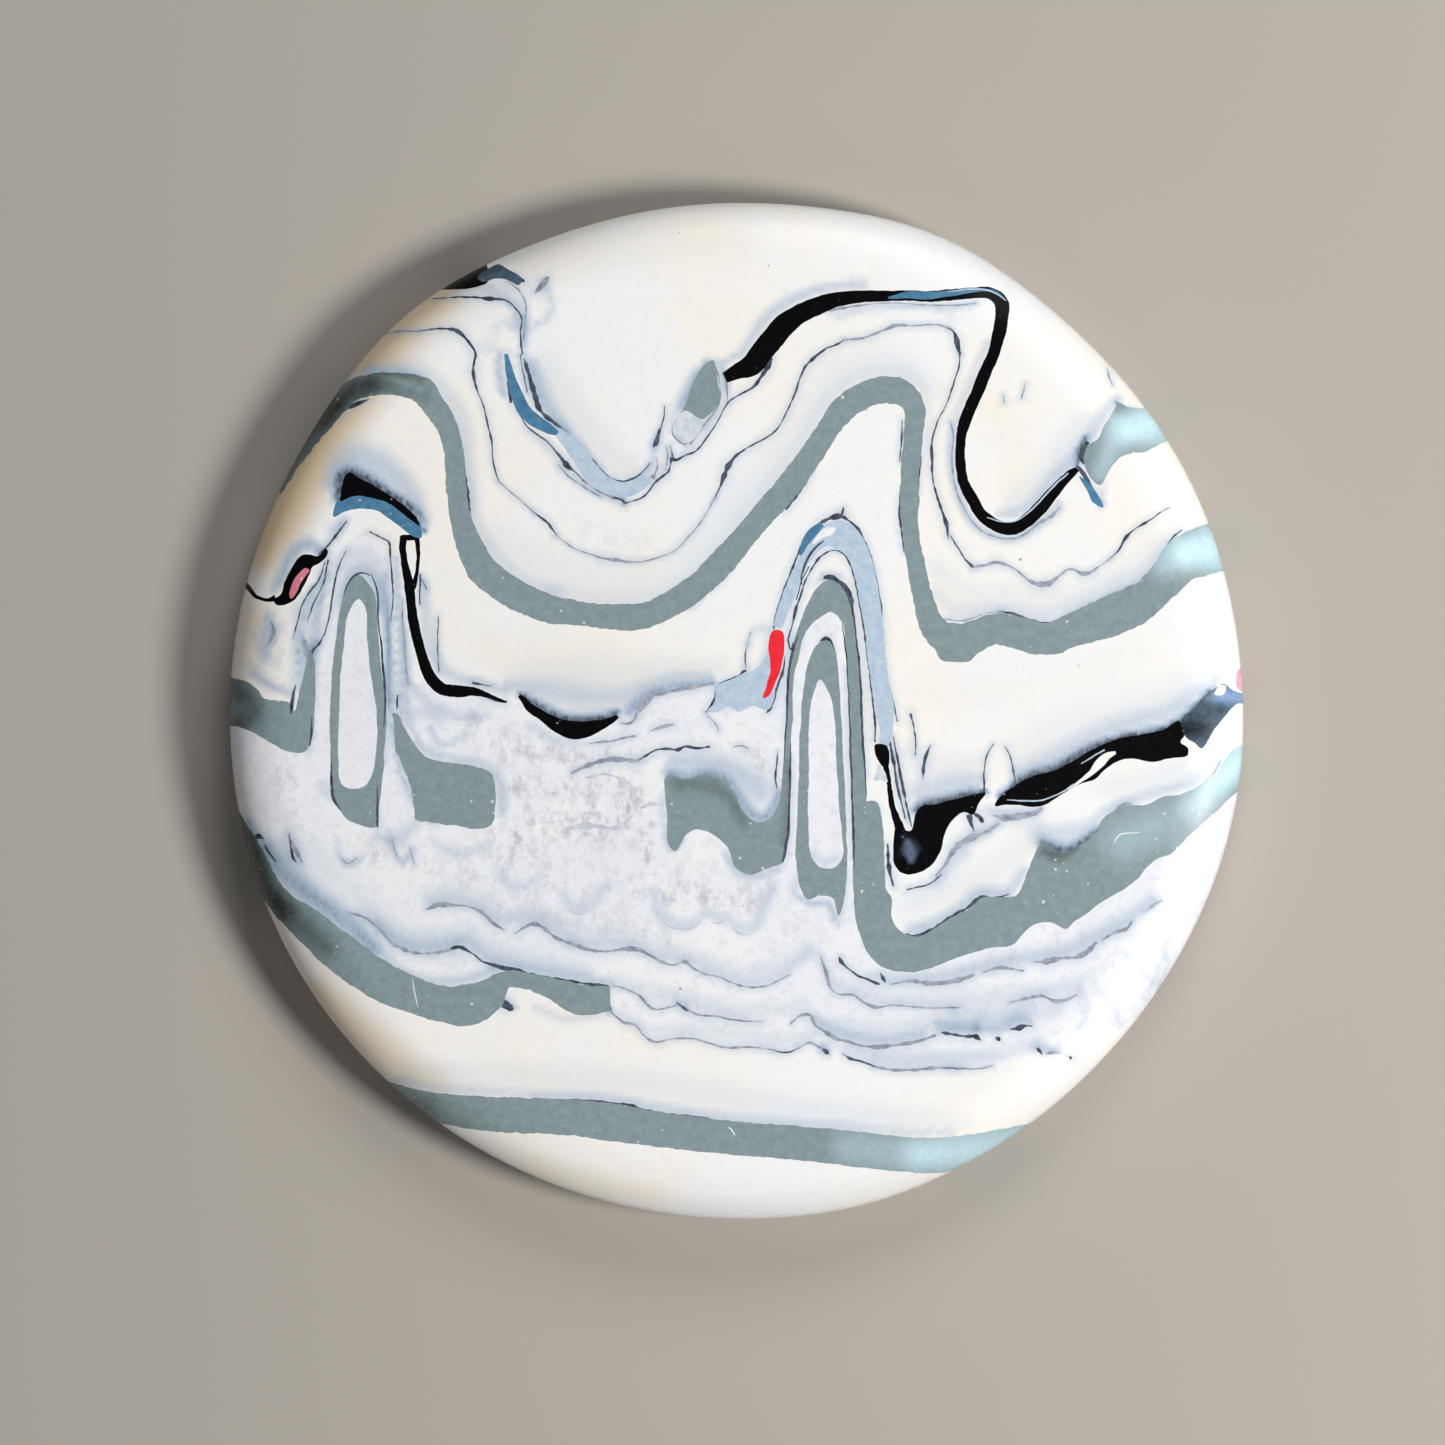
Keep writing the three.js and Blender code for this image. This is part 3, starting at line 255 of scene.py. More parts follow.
STREAMS = [
    ("pale_vein_line", "pale_blue", [
        band((20.6, 41.1, 0.08), (22.5, 41.4, 0.14), (24.2, 41.35, 0.14), (25.4, 40.95, 0.12),
             (26.3, 40.3, 0.1), rag=0.02),
        band((24.4, 18.95, 0.08), (26, 18.55, 0.14), (27.5, 18.8, 0.12), (29, 19.9, 0.16),
             (30.2, 21.2, 0.16), (31.3, 22.4, 0.18), (32.4, 23.3, 0.14), rag=0.02),
        band((26.4, -8.7, 0.08), (28, -8.8, 0.14), (29.8, -8.7, 0.14), (31.6, -8.1, 0.14),
             (33, -7.2, 0.2), rag=0.03),
        band((33.6, -5.1, 0.08), (34.8, -4.4, 0.14), (36, -3.8, 0.16), rag=0.03)]),
    ("white_vein_sliver", "white", [band(
        (32.4, -7.7, 0.14), (33.6, -6.9, 0.3), (34.6, -6.1, 0.5), (35.5, -5.1, 0.9),
        (36.4, -4.3, 0.6), (37, -4.1, 0.24), rag=0.03)]),
    ("white_tip_glint", "white", [patch(
        (46.7, 1.6), (47.3, 2.6), (47.9, 2.4), (47.6, 1.6), rag=0.02)]),
    ("white_scratches", "white", [
        band((36.9, -13, 0.06), (37.3, -12.3, 0.12), (38, -12, 0.1), (39.4, -11.9, 0.06),
             rag=0.02),
        band((40.2, -12.4, 0.06), (40.6, -12, 0.14), rag=0.02),
        band((35, -14, 0.08), (35.5, -13.8, 0.12), rag=0.02),
        band((-0.9, -40.8, 0.1), (-0.6, -41.1, 0.14), (-0.3, -41.6, 0.1), rag=0.02),
        band((0.8, -40.9, 0.14), (0.9, -41.5, 0.08), rag=0.02),
        band((1.6, -40.7, 0.08), (2.2, -41.2, 0.08), rag=0.02),
        band((6.9, -41.5, 0.08), (7.2, -41.1, 0.12), rag=0.02),
        band((-32, -26, 0.06), (-31.7, -27.6, 0.1), (-31.4, -29, 0.06), rag=0.02)]),
    ("dark_fold_lines", "film_dark", [
        band((8.3, 12.9, 0.1), (9.1, 13.05, 0.26), (10, 12.5, 0.2), (10.8, 11.5, 0.36),
             (11.15, 10.4, 0.3), (11.45, 8.5, 0.16), (11.75, 6, 0.16), (12, 3, 0.2),
             (12.1, 0, 0.24), (12.3, -3.5, 0.22), (12.5, -6.5, 0.14), (12.6, -8.4, 0.06),
             rag=0.03),
        band((10.2, 8.6, 0.06), (10.6, 6, 0.14), (10.75, 3, 0.12), (10.9, 0, 0.14),
             (11.05, -4, 0.2), (11.2, -8, 0.18), (11.3, -12, 0.24), (11.35, -15.4, 0.1),
             rag=0.03),
        band((5.9, 7.4, 0.08), (5.2, 5.2, 0.3), (5, 3.8, 0.18), (4.85, 1, 0.2),
             (4.7, -2, 0.16), (4.5, -5, 0.08), rag=0.03),
        band((5.2, -3, 0.06), (5.1, -6, 0.24), (5.02, -9, 0.2), (4.85, -12, 0.3),
             (4.5, -14.4, 0.24), (4.3, -14.9, 0.08), rag=0.03),
        band((8.1, 6.9, 0.1), (8.6, 7.15, 0.4), (9.1, 6.9, 0.2), (9.5, 6, 0.1), rag=0.03),
        band((-39.9, -5, 0.06), (-39.9, -7.4, 0.3), (-39.6, -8.8, 0.3), (-39, -9.8, 0.1),
             rag=0.03),
        band((-35.9, 13.4, 0.08), (-35.4, 11.6, 0.2), (-35.25, 9, 0.16), (-35, 6, 0.2),
             (-34.7, 3, 0.26), (-34.6, 0.4, 0.2), (-34.8, -1.6, 0.08), rag=0.03),
        band((-38.4, 15.8, 0.06), (-39.3, 13.8, 0.16), (-39.7, 12, 0.2), (-40.1, 9.4, 0.16),
             (-40.6, 7.4, 0.08), rag=0.03),
        band((-38.7, 11.2, 0.06), (-38.3, 12.4, 0.16), (-37.6, 13.2, 0.22),
             (-36.8, 13.5, 0.16), (-36, 13.2, 0.08), rag=0.03),
        band((-43.4, 2.6, 0.06), (-43.7, 1.2, 0.34), (-43.8, 0.1, 0.3), (-43.9, -0.3, 0.1),
             rag=0.03),
        band((-41.8, -0.6, 0.06), (-41.9, -2.2, 0.24), (-42, -3.4, 0.16), rag=0.03),
        band((-35.4, -7.6, 0.08), (-35.4, -9.6, 0.24), (-35.3, -11.4, 0.2), rag=0.03)]),
    ("pale_hook_patch", "pale_grey", [patch(
        (13.7, -5.2), (14.1, -5.5), (14.5, -6.2), (14.7, -7), (14, -6.8), (13.4, -6.9),
        (13.5, -6), rag=0.04)]),
    ("blue_arch_accent", "blue", [band(
        (6.1, 15.3, 0.3), (6.6, 16.4, 0.7), (7.3, 17.4, 0.9), (8.3, 18.3, 0.5), rag=0.03)]),
    ("dark_arch_line", "film_dark", [
        band((6.3, 12.3, 0.1), (6.2, 13.2, 0.16), (6.6, 14.4, 0.24), (7.2, 15.5, 0.24),
             (7.9, 16.3, 0.2), (8.4, 16.7, 0.08), rag=0.03),
        band((5.7, 10.9, 0.1), (6.3, 12.9, 0.14), (7, 14.2, 0.12), rag=0.02)]),
    ("white_arch_glint", "white", [band(
        (7.4, 16.4, 0.14), (8.1, 17.2, 0.6), (9, 17.7, 0.8), (9.5, 17.9, 0.3), rag=0.03)]),
    ("pale_leaf_end", "pale_grey", [patch(
        (-5.2, 29.4), (-3.5, 28.6), (-2.5, 29.4), (-3.3, 28.3), (-5, 26.2), (-6.4, 27.3),
        (-6.2, 28.2))]),
    ("red_chip", "red", [patch(
        (3.5, 7.9), (4.35, 7.8), (4.55, 6.6), (4.4, 5.2), (4.1, 4), (3.6, 2.6), (3, 1.5),
        (2.5, 1.3), (2.8, 2.4), (3.1, 3.8), (3.1, 5), (2.95, 6.4), (3.1, 7.3))]),
    ("pink_left_chip", "pink", [patch(
        (-44, 11.3), (-43.8, 12.3), (-43, 13.5), (-42.4, 14), (-42, 13.8), (-42.7, 12.8),
        (-43.3, 11.6), (-43.8, 11))]),
    ("pink_rim_chip", "pale_pink", [patch((49, 2.3), (49.1, 3.9), (51, 5), (51, 1.8))]),
    ("slate_vein_tip", "slate", [patch(
        (43.5, -0.9), (44.5, 0.1), (45.8, 1.5), (46.8, 2.2), (47.6, 2.7), (48.6, 2), (51, 1.4),
        (51, 0.6), (49.1, 0.7), (47.9, -0.4), (46.8, -1.7), (45.4, -3.7), (44.7, -3.1),
        (43.9, -2.6))]),
    ("black_right_vein", "black", [patch(
        (25.2, -9.3), (25.9, -8.2), (27.5, -7.1), (29.3, -6.3), (30.9, -5.9), (32.5, -5),
        (34.4, -3.9), (36.2, -3.1), (38, -2.55), (40.1, -2.2), (41.7, -1.9), (43.3, -1.05),
        (43.8, -2.3), (43.4, -3.1), (44.1, -3.6), (44, -4.4), (42.4, -4.6), (40.6, -5),
        (38.5, -4.7), (37.1, -5), (36.2, -5.6), (35, -6.7), (33.4, -7.25), (31.8, -8.2),
        (30.2, -9.1), (28.9, -9.4), (27.5, -9.2), (26.1, -9.2))]),
    ("black_right_hook", "black", [
        patch((13.45, -3.3), (14.6, -3.4), (14.7, -5.6), (14.2, -5.5), (13.6, -4.6)),
        band((14.35, -4.8, 0.5), (14.9, -7.3, 0.5), (15.2, -9.5, 0.6), (16, -12, 1)),
        patch(
            (15.5, -11.4), (15.3, -13.7), (15.5, -15.3), (16.4, -16), (17.5, -15.9),
            (19, -15.1), (19.9, -13.7), (20.2, -12.1), (21, -10.7), (22.2, -10),
            (23.1, -10.2), (23.6, -9.1), (24.3, -8), (22.9, -8.2), (21.3, -8.7),
            (19.4, -9.1), (18.1, -9.3), (17.4, -10.2), (16.9, -11.8))]),
    ("blue_upper_streak", "blue", [band(
        (14.8, 40.5, 0.2), (16.4, 40.75, 0.7), (18.3, 40.75, 0.8), (20.6, 40.9, 0.55),
        (22.9, 41.2, 0.3), (25.2, 41.2, 0.25), (26.1, 40.5, 0.2), rag=0.03)]),
    ("black_upper_vein", "black", [band(
        (-1.3, 32.7, 1), (0, 33.3, 1.5), (1.3, 33.9, 2.1), (2.2, 35, 2.2), (3.3, 36.4, 2.3),
        (4.5, 37.8, 2.2), (6, 38.9, 1.9), (8, 39.8, 1.7), (10.5, 40.5, 1.3), (14, 40.7, 1.1),
        (19.5, 40.7, 1.1), (22.8, 41, 1.1), (24.7, 41, 1.2), (25.8, 40.2, 1.4),
        (25.9, 38.7, 1.3), (25.6, 37, 1.3), (25, 35, 1.1), (24.2, 33, 1.2), (23.3, 31, 1.2),
        (22.5, 29, 1.2), (21.9, 27, 1), (21.8, 25, 1), (22, 23, 1), (22.7, 21.2, 1.1),
        (23.9, 19.2, 1.2), (25.3, 18.2, 1.2), (26.8, 17.9, 1.3), (28.4, 18.7, 1.4),
        (29.9, 20.2, 1.3), (31.2, 21.8, 1.1), (32.6, 23.2, 0.9), (33.3, 23.7, 0.5))]),
    ("blue_tail_wedge", "blue", [patch(
        (33.5, 23), (34.3, 21.5), (34.8, 20.5), (35.9, 20), (35.5, 21), (34.6, 22.2))]),
    ("dark_blue_valley_streak", "blue", [band(
        (-22.7, 35, 0.4), (-22.4, 33, 0.8), (-21.7, 31, 1.1), (-20.8, 29.3, 1.3),
        (-19.5, 28.2, 1.2), (-18.5, 27.6, 0.9), (-17.7, 27.2, 0.4))]),
    ("pale_valley_ribbon", "pale_blue", [band(
        (-17.6, 27.4, 0.9), (-16, 25.6, 1.5), (-14.5, 23.6, 1.7), (-13, 22.3, 1.6),
        (-11.3, 21.7, 1.5), (-10, 22, 1.4), (-8.7, 23, 1.2))]),
    ("slate_rim_chip", "slate", [patch(
        (-25.6, 42.7), (-24.6, 43.5), (-23.6, 43.9), (-22.5, 43.3), (-21.2, 42.4),
        (-21.5, 41.8), (-22.6, 42.3), (-23.8, 42.5), (-25, 42.2))]),
    ("black_rim_wedge", "black", [patch(
        (-30.5, 41.6), (-29, 41.5), (-27, 41.4), (-25.5, 41.7), (-24.5, 42.3), (-25, 44.5),
        (-27, 46), (-31, 44))]),
    ("grey_leaf", "grey", [patch(
        (-2.4, 34.4), (-2.2, 33.6), (-1.9, 32), (-1.7, 30.6), (-2.4, 29.5), (-3.3, 28.6),
        (-5.1, 26.1), (-6.5, 27.2), (-6.3, 28.1), (-5.1, 30), (-4.5, 32), (-3.3, 33.9))]),
    ("grey_rim_fan", "grey", [patch(
        (34.4, 26.1), (33.9, 25.1), (34, 24), (34.8, 22.6), (35.6, 22.2), (36.2, 23.3),
        (37.3, 24.7), (38.7, 25.3), (40.1, 25.5), (41.7, 26.3), (45, 27.8), (43, 32.5),
        (40.5, 30), (38.5, 29.8), (37.3, 30.3), (36.9, 29.5), (36, 28.1), (35.3, 26.7))]),
    ("black_left_rim_vein", "black", [
        band((-50.5, 14.5, 0.5), (-48.3, 12.3, 0.5), (-47.3, 11.2, 0.4), (-46.3, 10.9, 0.36),
             (-45.4, 11.1, 0.7)),
        patch(
            (-45.6, 11), (-44.8, 11.5), (-44.4, 12.8), (-43.6, 14.3), (-42.8, 15.2),
            (-42, 15.3), (-41.2, 15.2), (-40.4, 16), (-40.2, 15.6), (-40.9, 14.6),
            (-41.7, 14.1), (-42, 13.4), (-42.9, 11.7), (-43.6, 10.8), (-44.4, 10.4),
            (-45.4, 10.5))]),
    ("black_crescent", "black", [patch(
        (-39, 20.6), (-38.3, 23.4), (-37, 22.8), (-35.5, 22), (-34, 21), (-32.5, 20),
        (-31.5, 19), (-31.2, 18.2), (-33, 19.4), (-34, 20.2), (-35.5, 20.8), (-37, 21.1),
        (-38, 21))]),
    ("blue_crescent", "blue", [patch(
        (-39.7, 19), (-39.2, 20.8), (-38, 21.5), (-35.5, 21.3), (-34, 20.7), (-32.5, 19.6),
        (-31.2, 18.4), (-31.1, 17), (-32, 17.2), (-33.8, 18.6), (-34.8, 19.3), (-36, 19.8),
        (-37.5, 19.8), (-38.5, 19.6))]),
    ("black_left_leg", "black", [
        band(
            (-32.8, 17.2, 0.7), (-32.9, 15.8, 0.7), (-32.7, 14.5, 0.7), (-32.3, 12.6, 1),
            (-32, 10, 0.9), (-31.7, 8, 1), (-31.2, 6, 1), (-30.6, 4.3, 1.1), (-29.9, 3, 1.2),
            (-29, 2.2, 1.2), (-27.5, 1.9, 1.1), (-26, 1.9, 0.8), (-24, 1.3, 0.4),
            (-22.7, 0.8, 0.2)),
        band((-31.5, 17, 0.5), (-31.3, 15, 0.35), (-31.5, 13.3, 0.4), (-31.9, 12, 0.5)),
        band((-33, 17, 0.6), (-31.4, 17, 0.6))]),
    ("black_centre_lens", "black", [band(
        (-21.5, 1.5, 0.3), (-20.3, 0.3, 0.9), (-19, -0.6, 1), (-17.5, -1.5, 1.5),
        (-16, -1.9, 1.8), (-14.5, -1.7, 1.4), (-13, -1.2, 0.8), (-11.8, -0.5, 0.4))]),
    ("pale_blue_arch", "pale_blue", [band(
        (3.9, 8.2, 0.9), (4.7, 10.5, 1.2), (5.5, 12.8, 1.2), (6.6, 15, 1.2), (8.2, 17, 1.9),
        (9.8, 17.3, 2.8), (11.3, 16.2, 2.4), (12.3, 14, 2), (12.9, 11, 2), (13.4, 8, 1.9),
        (13.6, 5, 1.8), (14, 2.5, 1.8), (14.4, 0, 1.8), (14.5, -2, 1.2), (14.2, -3.9, 0.9))]),
    ("white_foot_lobe", "white", [patch(
        (0.9, 3.7), (0.8, 5), (1, 6.8), (1.7, 8.2), (2.8, 8.2), (3.1, 7), (2.6, 5.3),
        (1.8, 4.2))]),
    ("pale_blue_foot", "pale_blue", [patch(
        (-3.1, -0.1), (-2.2, 1), (-2.2, 2.4), (-1, 3), (0.4, 3.65), (1.5, 4.2), (2.4, 5.4),
        (3, 6.3), (3.4, 4), (3.6, 1.5), (2.9, 0.1), (1.5, 0.5), (0.1, -0.1), (-1, 0.5),
        (-1.9, -0.1))]),
    ("white_left_core", "cloud_white", [patch(
        (-37.2, 11), (-38.05, 10), (-38.6, 7.5), (-38.9, 4), (-39.05, 0), (-39.2, -5),
        (-39, -7), (-38, -7.6), (-36.5, -7.3), (-35.8, -6), (-35.45, -3), (-35.5, 0),
        (-36.1, 4), (-36.4, 7), (-36.55, 10))]),
    ("grey_left_fold", "grey", [patch(
        (-37.4, 13.4), (-38.4, 12.2), (-39, 10), (-39.6, 6), (-39.95, 0), (-40, -5),
        (-39.8, -7.8), (-39.3, -9.2), (-38.5, -10.5), (-37.3, -11.1), (-35.4, -11.3),
        (-35.2, -9), (-34.8, -6), (-34.7, -4), (-34.5, 0), (-35, 4), (-35.3, 7), (-35.4, 10),
        (-35.9, 12))]),
    ("grey_left_rim_patch", "grey", [patch(
        (-51.5, 3.2), (-49.3, 3.2), (-48, 2.8), (-47, 2), (-46.5, 1.2), (-45, 1), (-44, 0.8),
        (-43.5, 0), (-43, 2), (-42.5, 4), (-42, 6), (-41.6, 5), (-41.5, 0), (-41.7, -2),
        (-42.5, -4), (-44, -4), (-45.5, -3.3), (-47.5, -2.2), (-48.7, -1.7), (-51.5, -0.9))]),
    ("grey_left_centre_patch", "grey", [patch(
        (-33.8, -0.2), (-33.7, -2), (-33.5, -4), (-32.8, -5.6), (-32.1, -7.4), (-31.8, -9.2),
        (-31.6, -10.6), (-30.2, -10.9), (-28, -11.2), (-25.8, -11.6), (-24.2, -11.1),
        (-23.8, -9.6), (-23.8, -7.4), (-24.2, -6.1), (-25.6, -5.5), (-27.4, -5.2), (-29, -5),
        (-30.4, -4.6), (-31.6, -3.4), (-32.6, -1.8), (-33.3, -0.4), rag=0.12)]),
    ("white_left_arch", "cloud_white", [patch(
        (-36.4, 17.6), (-38.3, 16.4), (-39.4, 14.5), (-40, 10), (-40.8, 7), (-41.8, 4.5),
        (-42, 0), (-42, -4.5), (-41, -8), (-39.8, -10.6), (-37.5, -12), (-35, -12.2),
        (-33.4, -9.5), (-33.2, -6), (-33.2, -2), (-33.7, 2), (-34.1, 6), (-34.2, 11),
        (-34.5, 15))]),
    ("white_right_core", "cloud_white", [patch(
        (8, 3.1), (7.3, 1.5), (7, -0.5), (6.95, -5), (6.9, -10), (7.1, -14), (8, -15.3),
        (9.5, -15.4), (10.3, -14), (9.95, -10), (9.65, -5), (9.4, -0.5), (8.9, 1.8))]),
    ("grey_inner_fold", "grey", [patch(
        (8.6, 7.1), (7.6, 6.3), (6.8, 4.5), (6.2, 0), (6, -5), (5.8, -10), (5.65, -14),
        (6.1, -17.4), (6.8, -18.5), (7.9, -18.1), (9.3, -18.3), (9.8, -20.1), (10.35, -18.8),
        (10.7, -16), (10.65, -12), (10.5, -8), (10.3, -4), (10.05, 0), (9.85, 4), (9.4, 6.3))]),
    ("white_right_ring", "cloud_white", [patch(
        (9.1, 9.7), (7.8, 9), (6.6, 7.5), (5.9, 5), (5.45, 3), (5.35, 0), (5.2, -4),
        (5.05, -8), (4.9, -12), (4.9, -15.5), (5.5, -18.3), (7, -19.4), (9, -19.4),
        (9.8, -20.9), (11.2, -19.5), (11.15, -15), (11.15, -10), (11.1, -4), (10.85, 0),
        (10.75, 3), (10.6, 6), (10.2, 8.7))]),
    ("grey_right_stream", "grey", [
        patch(
            (9.1, 13), (7.6, 11.8), (6.6, 10), (5.7, 7.5), (5.2, 5), (4.95, 3), (4.85, 0),
            (4.6, -4), (4.3, -8), (4.4, -12), (12, -12), (12.6, -8), (12.35, -4),
            (12.15, 0), (12.05, 3), (11.8, 6), (11.5, 9), (10.8, 11.6)),
        patch(
            (-7, -6.3), (-5.1, -6.7), (-3.1, -6.3), (-1.5, -6.8), (-0.3, -8.2),
            (0.8, -10.2), (2, -10.9), (3.1, -10.5), (4, -8.9), (4.3, -6.8), (4.6, -4.5),
            (5, -7.3), (5, -10.7), (4.7, -14.1), (4.4, -14.8), (2.7, -15.5), (1, -16),
            (-0.3, -15.3), (-1, -13.5), (-2.4, -12.1), (-4.2, -11.6), (-5.1, -12.1),
            (-6.1, -13.7), (-6.75, -13.2), (-7, -9.5)),
        patch(
            (11.3, -10.7), (11.3, -15.3), (11.4, -19.4), (11.8, -21.5), (12.5, -23.3),
            (13.7, -24.7), (15, -25.4), (17, -25.6), (19, -25.1), (20.6, -24.5),
            (22.9, -23.8), (25.2, -23.2), (27, -22.9), (27.9, -22), (28.9, -21),
            (30.7, -20.8), (32.1, -21.4), (33, -20.7), (34.1, -20), (35.3, -19),
            (36.7, -18.1), (38, -17.4), (39.2, -16.5), (39.9, -15.5), (41.3, -14.4),
            (42.4, -14.1), (44.2, -12.3), (45.8, -10.9), (47.5, -9.3), (50.5, -6.5),
            (50.8, -3.4), (48.6, -3.8), (47.5, -5.2), (46.3, -6.6), (44.9, -7.5),
            (43.3, -8.2), (41.7, -8.4), (40.3, -9.1), (38.5, -9.3), (36.7, -9.9),
            (35.7, -10.7), (35.3, -11.8), (34.1, -12.8), (32.1, -13.9), (30.9, -13.5),
            (29.8, -13), (29.1, -14.1), (28.5, -15.5), (27.9, -17.1), (27.2, -18.1),
            (25.6, -18.3), (24, -18.3), (22.7, -19.3), (21.3, -20.1), (19.4, -21.2),
            (17.6, -22.1), (16, -21.7), (15.1, -20.4), (15.1, -18.3), (14.6, -17.6),
            (14.4, -14.1), (14.2, -11.4), (13.6, -8.9), (12.4, -9))]),
    ("grey_upper_band", "grey", [band(
        (-46.5, 22.5, 4), (-44.6, 25.2, 3.7), (-42.5, 27.6, 3.4), (-40, 30, 3),
        (-38, 31.4, 2.3), (-35.5, 32.1, 2.2), (-33, 32, 2.3), (-31, 31.4, 2.6),
        (-29.7, 29.8, 2.3), (-28.6, 28, 2.1), (-28, 26, 1.9), (-27.7, 23, 2),
        (-27.4, 20, 1.9), (-26.8, 17.6, 2.3), (-26, 15.5, 2.7), (-25, 13.8, 3),
        (-23.2, 12.3, 3), (-21, 11, 3), (-18, 9.9, 2.7), (-15, 9.5, 2.3), (-12, 9.2, 2.5),
        (-9, 9.4, 2.6), (-6.5, 10.6, 2.6), (-4, 12.2, 2.5), (-1.8, 14.3, 2.6),
        (0, 16.3, 2.4), (1.8, 18.5, 2.3), (4, 21, 2.4), (6, 23.4, 2.4), (8, 26.4, 2.2),
        (9.8, 29, 2.4), (12, 30.8, 2.5), (14.5, 31.5, 2.8), (16.3, 31.1, 2.4),
        (17.3, 29.8, 2.1), (17.2, 27, 1.9), (16.9, 24, 1.8), (16.8, 21, 1.8),
        (16.9, 18, 1.7), (17.4, 14.5, 1.8), (18.2, 11, 2), (19, 8.4, 2.5), (20.6, 7, 3),
        (23, 7.3, 3.1), (25.3, 8.1, 3), (28, 7.5, 3.2), (30.5, 7.1, 3.2), (33.5, 8.2, 3.4),
        (36.5, 9.3, 4), (39.5, 10.6, 3.6), (41.8, 12.7, 3.4), (44, 15, 4.5),
        (47.5, 16.3, 5), (51, 17.2, 5), rag=0.12),
        patch((18.6, 7.6), (19.3, 6), (19.9, 5), (21.2, 4.8), (22.6, 4.9), (23.4, 5.6),
              (24.6, 6.4), (23.4, 8), (20.4, 8.6))]),
    ("grey_lower_left_band", "grey", [band(
        (-50, -9.5, 1), (-47.95, -13.3, 1.9), (-46.25, -16.9, 2.3), (-44.5, -19.2, 2.7),
        (-42.2, -21, 3.4), (-39.9, -23, 3.8), (-37.2, -25.1, 3.9), (-34.6, -26.7, 3.9),
        (-32, -27.8, 3.6), (-29, -28.7, 3.5), (-26.3, -28.8, 4.1), (-24.6, -28, 3.4),
        (-22.8, -26.4, 1.8), (-20.5, -26.5, 1.6), (-18, -27.3, 2.2), (-15.5, -28.3, 3),
        (-12.6, -28.2, 2.4), rag=0.12)]),
    ("grey_bottom_band", "grey", [band(
        (-36, -38.4, 4.4), (-30, -39, 3.2), (-25, -39.5, 3.4), (-20, -39.7, 3.4),
        (-15, -40, 3.6), (-10, -40.7, 3.6), (-5, -41.4, 3.3), (0, -41.9, 3.3),
        (5, -42.3, 3.3), (10, -42.8, 3.5), (15, -43.4, 3.5), (20, -43.6, 3.5),
        (25, -43, 3.6), (31, -42, 3.6), rag=0.1)]),
]

# ---------------------------------------------------------------------------
# Partings between the layers of white, and a point inside each layer

